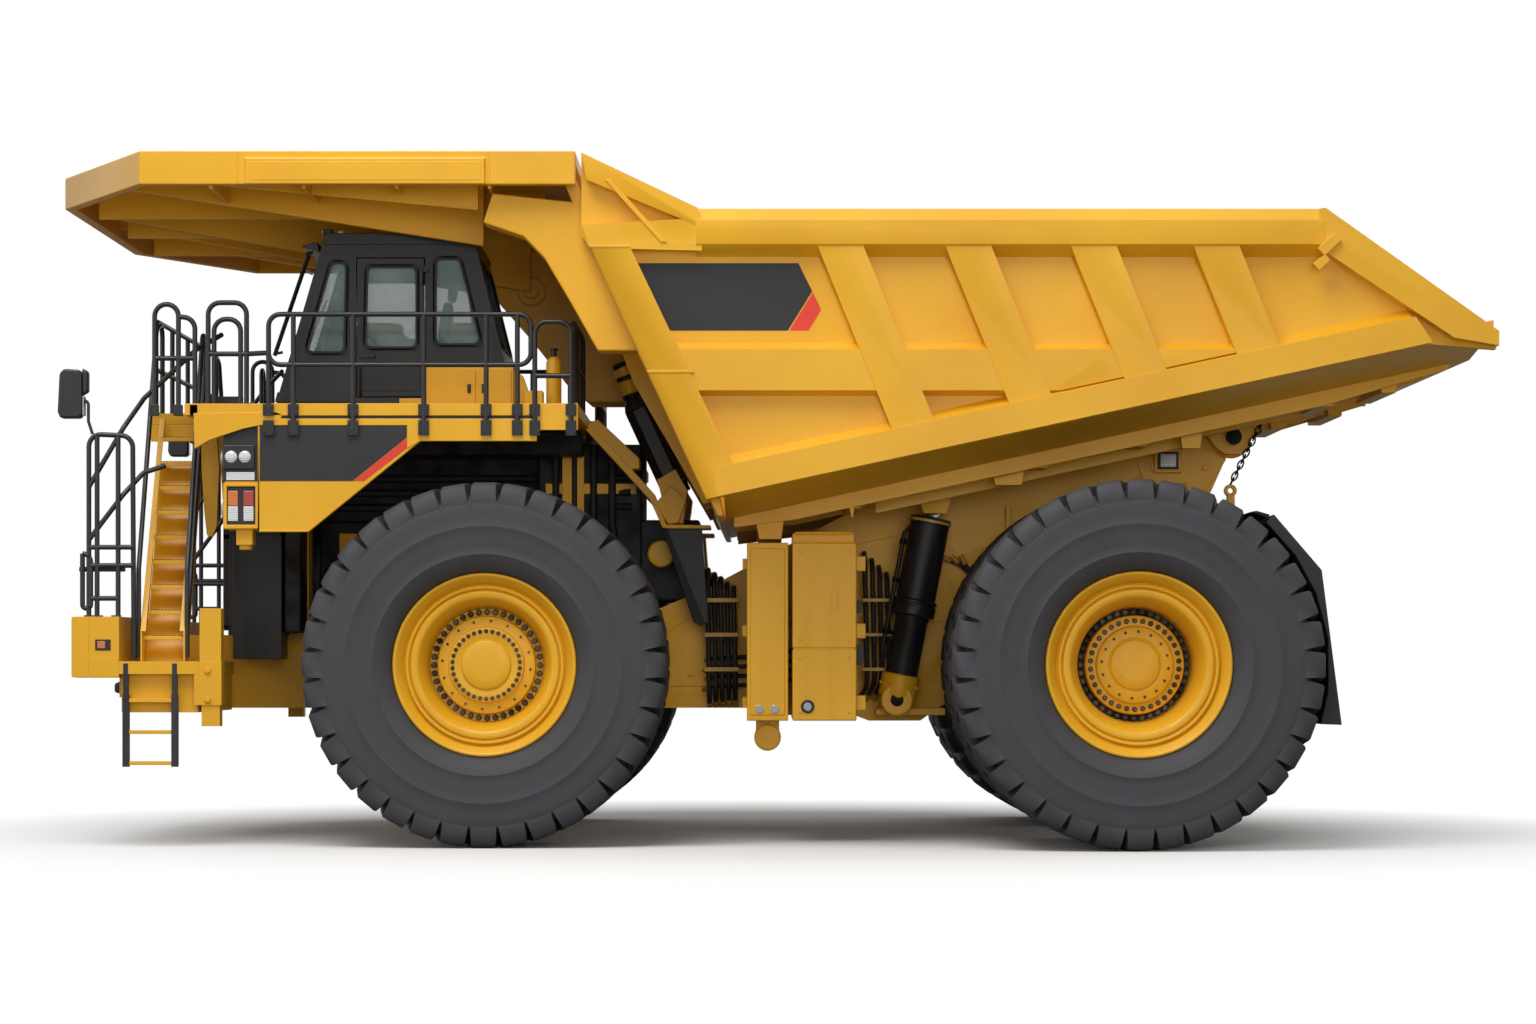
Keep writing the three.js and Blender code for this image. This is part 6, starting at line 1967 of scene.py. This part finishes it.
@dataclass
class Chassis:
    """Frame, tanks, hoses, axle, suspension, engine, radiator and mud flaps."""

    frame_y: float = 1.06
    tank_x: tuple[float, float] = (2.865, 4.085)
    tank_y: float = 3.15
    tank_z: tuple[float, float] = (1.38, 3.36)
    pivot: tuple[float, float] = (8.5, 4.65)

    def packed_parts(self) -> None:
        """Castings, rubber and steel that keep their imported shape, with broken edges."""
        for node, finish, bevel in (("main_frame", Finish.YELLOW, 0.02),
                ("rear_axle", Finish.YELLOW, 0.03), ("engine", Finish.CAST_IRON, 0.04),
                ("radiator", Finish.BLACK, 0.02), ("drive_line", Finish.DARK_STEEL, 0.02),
                ("tie_rod", Finish.DARK_STEEL, 0.012), ("fuel_tank", Finish.YELLOW, 0.03)):
            refined(node, finish, bevel)
        for side in SIDES:
            name = side_name(side)
            refined(f"front_strut_{name}", Finish.YELLOW, 0.02)
            refined(f"rear_strut_{name}", Finish.DARK_STEEL, 0.012)
            refined(f"knuckle_{name}", Finish.CAST_IRON, 0.02)
            refined(f"mudflap_{name}", Finish.FLAP, 0.02, [(Finish.YELLOW,
                lambda p: abs(p.y) < 1.3)])

    def frame_details(self) -> None:
        """Doublers, gussets, brackets and bolts on the frame's side plates."""
        plates = Shape(Finish.YELLOW)
        heads = Shape(Finish.YELLOW)
        for side in SIDES:
            y = side * self.frame_y
            inner, outer = y - side * 0.01, y + side * 0.02
            plates.prism([(4.0, 2.5), (5.3, 2.5), (5.5, 3.1), (5.0, 3.6), (4.1, 3.4)], "y", inner,
                outer)
            plates.prism([(7.6, 3.75), (8.15, 3.95), (8.45, 4.4), (8.15, 4.55), (7.4, 4.4)], "y",
                inner, outer)
            plates.prism([(1.6, 1.75), (2.75, 1.75), (2.75, 2.55), (2.2, 2.55), (1.6, 2.2)], "y",
                inner, outer)
            for x in (1.25, 2.55, 5.9, 6.9):
                top = 2.3 if x < 2 else 2.85 if x < 3 else 3.85
                plates.block((x - 0.03, x + 0.03), (inner, y + side * 0.12), (top - 0.62, top))
            plates.block((4.35, 5.15), (y - side * 0.01, side * 1.49), (1.42, 1.5))
            for x, z in ((4.25, 2.65), (4.65, 2.65), (5.05, 2.65), (5.25, 2.95), (4.25, 3.2),
                    (4.6, 3.32), (7.75, 4.0), (8.0, 4.1), (8.2, 4.3), (7.6, 4.3), (1.75, 1.9),
                    (2.2, 1.9), (2.6, 1.9), (2.6, 2.35)):
                heads.nut((x, outer, z), (0, side, 0), 0.07, 0.035)
            plates.turned([(0.112, 0.0), (0.24, 0.0), (0.24, 0.03), (0.22, 0.045), (0.112, 0.045),
                (0.112, 0.0)], (self.pivot[0], y, self.pivot[1]), (0, side, 0), 36)
            plates.block((7.6, 7.92), (y, y + side * 0.1), (4.24, 4.52))
        plates.piece("frame_side_plates", bevel=0.008)
        heads.piece("frame_bolts")
        lamps = Shape(Finish.BLACK)
        lenses = Shape(Finish.CLEAR_LENS)
        for side in SIDES:
            y = side * (self.frame_y + 0.1)
            lamps.block((7.64, 7.88), (y, y + side * 0.03), (4.28, 4.48))
            lenses.block((7.67, 7.85), (y + side * 0.02, y + side * 0.04), (4.305, 4.455))
        lamps.piece("frame_lamp_bodies", bevel=0.006)
        lenses.piece("frame_lamp_lenses", bevel=0.008)

    def left_tanks(self) -> None:
        """The two tanks on the left: panels, seams, caps, gauge and sample taps."""
        x0, x1 = self.tank_x
        y = -self.tank_y
        low, high = self.tank_z
        front = Shape(Finish.YELLOW)
        front.blocks(((x0, x0 + 0.46), (y, -1.55), (low, high)), ((x0 + 0.035, x0 + 0.425),
            (y - 0.012, y + 0.02), (low + 0.06, high - 0.06)))
        front.rod((x0 + 0.23, -2.9, low - 0.19), (x0 + 0.23, -2.5, low - 0.19), 0.15, 32,
            chamfer=0.02)
        front.block((x0 + 0.1, x0 + 0.36), (-2.85, -2.55), (low - 0.15, low + 0.01))
        front.piece("hydraulic_tank_finished", ("hydraulic_tank",), bevel=0.022, segments=4)
        rear = Shape(Finish.YELLOW)
        a, b = x0 + 0.505, x1
        split = low + 0.8
        rear.blocks(((a, b), (y, -1.55), (low, split - 0.006)), ((a, b), (y, -1.55),
            (split + 0.006, high)), ((a + 0.01, b - 0.01), (y + 0.012, -1.56),
            (split - 0.02, split + 0.02)), ((a, b - 0.02), (y + 0.1, -1.61),
            (high - 0.01, high + 0.11)), ((a + 0.03, b - 0.05), (y + 0.06, -1.64),
            (high + 0.09, high + 0.125)))
        rear.piece("hoist_oil_tank_finished", ("hoist_oil_tank",), bevel=0.018, segments=4)
        trim = Shape(Finish.YELLOW)
        for x in (a + 0.09, b - 0.09):
            for z in (low + 0.1, split - 0.1, split + 0.1, high - 0.1):
                trim.nut((x, y, z), (0, -1, 0), 0.035, 0.016)
        trim.blocks(((a + 0.2, a + 0.4), (y - 0.004, y), (low + 1.12, low + 1.26)),
            ((a + 0.44, a + 0.5), (y - 0.02, y), (low + 1.25, low + 1.45)))
        for z in (low + 0.2, low + 1.0, low + 1.75):
            trim.blocks(((x0 - 0.05, x0 + 0.01), (y + 0.25, y + 0.45), (z - 0.06, z + 0.06)),
                ((x1 - 0.01, x1 + 0.1), (y + 0.1, y + 0.35), (z - 0.08, z + 0.08)))
        trim.piece("tank_fittings", bevel=0.003)
        gauge = Shape(Finish.BLACK)
        gauge.turned([(0.045, 0.0), (0.075, 0.0), (0.075, 0.02), (0.06, 0.028), (0.045, 0.02),
            (0.045, 0.0)], (a + 0.17, y, low + 0.16), (0, -1, 0), 32)
        gauge.blocks(((x1 + 0.005, x1 + 0.075), (y + 0.1, y + 0.22), (low + 0.62, low + 0.86)),
            ((x1 + 0.005, x1 + 0.06), (y + 0.1, y + 0.22), (low + 1.2, low + 1.34)))
        gauge.use(Finish.MIRROR)
        gauge.turned([(0, 0), (0.05, 0), (0.05, 0.012), (0, 0.012)], (a + 0.17, y, low + 0.16),
            (0, -1, 0), 24)
        for x in (x0 + 0.14, x0 + 0.31):
            gauge.rod((x, y - 0.004, low + 0.13), (x, y - 0.03, low + 0.13), 0.045, 20)
        gauge.piece("tank_gauge", bevel=0.003)

    def bundle(self, name: str, paths: Sequence[Sequence[Point]], radius: float) -> None:
        """Hoses along paths, with a collar at both ends of each."""
        tubes(name, paths, radius, 0.18, Finish.HOSE, sides=12)
        ends = Shape(Finish.ZINC)
        for path in paths:
            for spot, ahead in ((path[0], path[1]), (path[-1], path[-2])):
                start = Vector(spot)
                along = (Vector(ahead) - start).normalized()
                ends.rod(start - along * 0.03, start + along * 0.09, radius * 1.28, 10)
        ends.piece(name + "_fittings")

    def hoses(self) -> None:
        """Hose bundles ahead of and behind the tanks, along the frame and by the axle."""
        for side in SIDES:
            name = side_name(side)
            paths = []
            for i in range(5):
                x = 2.4 + 0.075 * i
                y = side * (1.4 - 0.07 * (i % 2))
                paths.append([(x, side * 1.1, 3.1 - 0.05 * i), (x, y, 3.1 - 0.05 * i),
                    (x + 0.02, y, 1.62 + 0.04 * i), (x + 0.02, side * 1.1, 1.55)])
            self.bundle(f"front_hoses_{name}", paths, 0.03)
            paths = []
            for i in range(4):
                x = 4.22 + 0.085 * i
                y = side * (1.46 if i % 2 else 1.4)
                paths.append([(x, side * 1.1, 3.3 - 0.08 * i), (x, y, 3.3 - 0.08 * i),
                    (x + 0.03, y, 1.75 + 0.05 * i), (x - 0.05, side * 1.1, 1.62)])
            self.bundle(f"tank_hoses_{name}", paths, 0.028)
            paths = []
            for i in range(4):
                z = 2.2 - 0.11 * i
                y = side * (1.14 + 0.03 * (i % 2))
                paths.append([(2.35, y - side * 0.12, z - 0.16), (2.42, y, z - 0.12),
                    (2.95, y, z - 0.1), (3.5, y, z - 0.02)])
            self.bundle(f"frame_hoses_{name}", paths, 0.024)
            paths = []
            for i in range(3):
                y = side * (1.14 + 0.05 * i)
                paths.append([(5.15 + 0.1 * i, y, 3.25), (5.6, y, 3.05 - 0.12 * i),
                    (6.2, y, 3.2 - 0.1 * i), (6.9, y, 3.42 - 0.06 * i)])
            self.bundle(f"axle_hoses_{name}", paths, 0.024)
        clips = Shape(Finish.ZINC)
        for side in SIDES:
            for z in (1.95, 2.35, 2.75):
                clips.blocks(((2.36, 2.76), (side * 1.29, side * 1.45), (z - 0.025, z + 0.025)),
                    ((4.19, 4.53), (side * 1.36, side * 1.5), (z - 0.02, z + 0.02)))
            clips.blocks(((2.38, 2.74), (side * 1.06, side * 1.32), (2.33, 2.37)),
                ((4.21, 4.5), (side * 1.06, side * 1.4), (2.33, 2.37)))
        clips.piece("hose_clips", bevel=0.004)

    def engine_details(self) -> None:
        """Pipes, covers and filters on the engine's sides."""
        iron = Shape(Finish.CAST_IRON)
        yellow = Shape(Finish.YELLOW)
        for side in SIDES:
            y = side * 0.61
            for i in range(8):
                x = -1.95 + 0.28 * i
                yellow.block((x, x + 0.22), (y - side * 0.02, y + side * 0.08), (3.1, 3.55))
                iron.rod((x + 0.11, y, 2.85), (x + 0.11, y + side * 0.22, 3.02), 0.07, 16)
            iron.rod((-2.1, y + side * 0.24, 3.04), (0.35, y + side * 0.24, 3.04), 0.11, 24,
                chamfer=0.02)
            for i in range(3):
                yellow.rod((-1.6 + 0.35 * i, y + side * 0.12, 2.15), (-1.6 + 0.35 * i,
                    y + side * 0.12, 2.62), 0.11, 24, chamfer=0.03)
        iron.piece("engine_manifolds", bevel=0.006)
        yellow.piece("engine_covers", bevel=0.01)

    def radiator_details(self) -> None:
        """Fin rows and the frame bars of the grille."""
        fin = Shape()
        fin.prism([(-0.012, -0.05), (0.012, -0.05), (0.012, 0.05), (-0.012, 0.05)], "y", -0.012,
            0.012)
        chains = [[(-3.155, -1.46 + 0.073 * i, 2.5), (-3.155, -1.46 + 0.073 * i,
            4.46)] for i in range(41)]
        row("radiator_fins", fin, 18, chains, Finish.DARK_STEEL)
        bars = Shape(Finish.BLACK)
        for y in (-1.52, -0.5, 0.5, 1.52):
            bars.block((-3.19, -3.09), (y - 0.03, y + 0.03), (2.42, 4.54))
        for z in (2.43, 3.48, 4.53):
            bars.block((-3.188, -3.092), (-1.55, 1.55), (z - 0.03, z + 0.03))
        bars.piece("radiator_guard_bars", bevel=0.006)

    def flap_links(self) -> None:
        """Yellow arms and eyes of the mud flaps, and the seam rows of the rubber."""
        links = Shape(Finish.YELLOW)
        strips = Shape(Finish.DARK_STEEL)
        for side in SIDES:
            y = side * 1.36
            links.prism([(8.4, 3.44), (8.52, 3.44), (8.505, 3.98), (8.42, 3.98)], "y",
                y - side * 0.05, y + side * 0.05)
            links.turned([(0.03, -0.03), (0.075, -0.03), (0.075, 0.03), (0.03, 0.03),
                (0.03, -0.03)], (8.46, y, 4.02), (0, 1, 0), 24)
            links.block((8.36, 8.56), (side * 1.25, side * 1.47), (3.4, 3.46))
            strips.prism([(8.3, 3.65), (8.36, 3.66), (8.5, 3.62), (8.48, 3.58)], "y", side * 1.3,
                side * 4.46)
        links.piece("mudflap_links", bevel=0.01)
        strips.piece("mudflap_strips", bevel=0.004)

    def chains(self) -> None:
        """Chains from the bed's underside down to the mud flaps' eyes."""
        for side in SIDES:
            low = Vector((8.46, side * 1.36, 4.09))
            high = Vector((8.9, side * 1.36, 4.955))
            along = (high - low).normalized()
            flat = along.cross(Vector((0, 1, 0))).normalized()
            links = Shape(Finish.DARK_STEEL)
            count = 13
            for i in range(count):
                middle = low.lerp(high, (i + 0.5) / count)
                wide = flat if i % 2 else Vector((0, 1, 0))
                corners = []
                for turn in range(12):
                    angle = 2 * math.pi * turn / 12
                    corners.append(middle + along * 0.058 * math.cos(angle) + wide * 0.03
                        * math.sin(angle))
                across = along.cross(wide)
                rings = []
                for spot in corners:
                    out = (spot - middle).normalized()
                    rings.append([spot + (out * math.cos(a) + across * math.sin(a)) * 0.011
                        for a in (math.pi * k / 3 for k in range(6))])
                links.loft(rings, closed=True)
            links.use(Finish.YELLOW)
            links.rod(high - along * 0.02, high + along * 0.035, 0.045, 12)
            name = f"mudflap_chain_{side_name(side)}"
            made = bpy.data.objects.new(name, links.mesh(name))
            for each in links.finishes:
                made.data.materials.append(material_of(each))
            bpy.context.scene.collection.objects.link(made)
            made.data.shade_smooth()
            made.data.set_sharp_from_angle(angle=SMOOTH_ANGLE)
            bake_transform(made)

    def bay(self) -> None:
        """Dark blocks and pipes between the rails, behind and above the engine; the blocks fill the see-through
        bay as painted shade, standing in for its ducts and coolers.
        """
        # Painted shade: dark cast-iron blocks close the gaps where the bay would show through, in place of shaded
        # ducts and coolers.
        dark = Shape(Finish.CAST_IRON)
        dark.blocks(((0.42, 1.62), (-0.98, 0.98), (2.4, 4.58)), ((1.55, 2.3), (-0.9, 0.9),
            (2.75, 3.7)), ((-2.25, 0.95), (-1.5, 1.5), (4.42, 4.7)), ((-2.22, 0.66), (-0.7, 0.7),
            (3.68, 4.45)), ((-2.48, -2.28), (-1.62, 1.62), (2.37, 4.7)))
        dark.piece("engine_bay_coolers", bevel=0.03, segments=3)
        pipes = []
        for side in SIDES:
            for i in range(4):
                y = side * (1.0 + 0.03 * (i % 2))
                x = 0.62 + 0.22 * i
                pipes.append([(x, y, 4.55), (x, y, 3.3 + 0.12 * i), (x + 0.18, y, 2.5)])
            for i in range(3):
                z = 3.85 + 0.17 * i
                pipes.append([(-2.2, side * 0.74, z), (0.4, side * 0.74, z), (1.5, side * 1.0, z)])
        tubes("engine_bay_pipes", pipes, 0.045, 0.16, Finish.HOSE)
        bands = Shape(Finish.YELLOW)
        for side in SIDES:
            bands.blocks(((0.5, 1.56), (side * 0.97, side * 1.01), (3.0, 3.12)),
                ((0.5, 1.56), (side * 0.97, side * 1.01), (4.0, 4.12)))
            bands.rod((1.85, side * 0.9, 3.3), (1.85, side * 1.03, 3.3), 0.16, 24, chamfer=0.02)
        bands.piece("engine_bay_bands", bevel=0.006)

    def build(self) -> None:
        """Builds the chassis."""
        self.packed_parts()
        self.frame_details()
        self.left_tanks()
        self.hoses()
        self.engine_details()
        self.radiator_details()
        self.flap_links()
        self.chains()
        self.bay()


# Studio


@dataclass
class Studio:
    """Pale floor, soft light and the camera."""

    camera_place: tuple[float, float, float] = (0.065, -44.5, 2.0)
    focal_mm: float = 87.2
    sensor_mm: float = 36.0
    shift_up: float = 0.0996
    floor_half: float = 400.0
    floor_colour: str = "#F8F8F7"
    fade_from: float = 6.0          # the floor turns white to the camera between these
    fade_to: float = 11.0
    bounce_colour: str = "#8A8884"  # what the floor throws back on the truck
    room: float = 0.36              # strength of the even light from all round
    key_watts: float = 5400.0
    side_watts: float = 800.0
    fill_watts: float = 2700.0

    def floor(self) -> None:
        """Builds the floor."""
        mesh = bpy.data.meshes.new("studio_floor")
        half = self.floor_half
        mesh.from_pydata([(-half, -half, 0), (half, -half, 0), (half, half, 0), (-half, half, 0)],
            [], [(0, 1, 2, 3)])
        made = bpy.data.objects.new("studio_floor", mesh)
        bpy.context.scene.collection.objects.link(made)
        material, tree = new_material("matt_white_floor_paint")
        speck = add_node(tree, "ShaderNodeTexNoise", {"Scale": 0.4, "Detail": 2.0},
            {"Vector": place_of(tree)}).outputs[0]
        colour = blend_colours(tree, speck, linear(self.floor_colour), linear("#F6F6F5"))
        seen = add_node(tree, "ShaderNodeLightPath").outputs["Is Camera Ray"]
        colour = blend_colours(tree, seen, linear(self.bounce_colour), colour)
        shader = add_node(tree, "ShaderNodeBsdfPrincipled", {"Roughness": 0.9},
            {"Base Color": colour})
        away = add_node(tree, "ShaderNodeVectorMath", links={0: place_of(tree)},
            operation="LENGTH").outputs["Value"]
        share = add_node(tree, "ShaderNodeMath", links={0: ranged(tree, away, self.fade_from,
            self.fade_to), 1: seen}, operation="MULTIPLY")
        glow = add_node(tree, "ShaderNodeEmission", {"Color": (1.0, 1.0, 1.0, 1.0)})
        surface(tree, add_node(tree, "ShaderNodeMixShader", links={0: share.outputs[0],
            1: shader.outputs[0], 2: glow.outputs[0]}))
        mesh.materials.append(material)

    def room_light(self) -> None:
        """Even light from the room; what the camera and mirrors see of it is white."""
        world = bpy.data.worlds.new("studio_room")
        bpy.context.scene.world = world
        world.use_nodes = True
        tree = world.node_tree
        tree.nodes.clear()
        path = add_node(tree, "ShaderNodeLightPath").outputs
        seen = add_node(tree, "ShaderNodeMath", links={0: path["Is Camera Ray"],
            1: path["Is Transmission Ray"]}, operation="MAXIMUM").outputs[0]
        seen = add_node(tree, "ShaderNodeMath", links={0: seen, 1: path["Is Glossy Ray"]},
            operation="MAXIMUM").outputs[0]
        strength = ranged(tree, seen, 0.0, 1.0, self.room, 1.0)
        back = add_node(tree, "ShaderNodeBackground", {"Color": (1.0, 1.0, 1.0, 1.0)},
            {"Strength": strength})
        add_node(tree, "ShaderNodeOutputWorld", links={0: back.outputs[0]})

    def lamp(self, name: str, place: Point, target: Point, size: float, watts: float,
            mirrored: bool = True) -> None:
        """Adds a square soft lamp that looks at a point, seen in reflections or not."""
        data = bpy.data.lights.new(name, "AREA")
        data.size = size
        data.energy = watts
        made = bpy.data.objects.new(name, data)
        bpy.context.scene.collection.objects.link(made)
        made.visible_glossy = mirrored
        made.location = place
        made.rotation_euler = (Vector(target) - Vector(place)).to_track_quat("-Z", "Y").to_euler()

    def camera(self) -> None:
        """Adds the camera."""
        data = bpy.data.cameras.new("camera")
        data.lens = self.focal_mm
        data.sensor_width = self.sensor_mm
        data.shift_y = self.shift_up
        data.clip_end = 1000
        made = bpy.data.objects.new("camera", data)
        bpy.context.scene.collection.objects.link(made)
        made.location = self.camera_place
        made.rotation_euler = (math.radians(90), 0, 0)
        bpy.context.scene.camera = made

    def build(self) -> None:
        """Builds the studio."""
        self.camera()
        self.floor()
        self.room_light()
        middle = (0.0, 0.0, 3.5)
        self.lamp("key_lamp", (-6.0, -16.0, 26.0), middle, 16.0, self.key_watts)
        self.lamp("side_lamp", (-26.0, -22.0, 9.0), middle, 14.0, self.side_watts)
        self.lamp("fill_lamp", (4.0, -36.0, 6.0), middle, 14.0, self.fill_watts, False)
        bpy.context.scene.view_settings.view_transform = "Standard"


def main() -> None:
    """Builds every sub-assembly in order."""
    logging.basicConfig(level=logging.INFO, format="%(message)s")
    Studio().build()
    for side in SIDES:
        FrontWheel().build(side)
        RearWheel().build(side)
    Bed().build()
    Hoists().build()
    Deck().build()
    Access().build()
    Cab().build()
    Rails().build()
    Chassis().build()


if __name__ == "__main__":
    main()
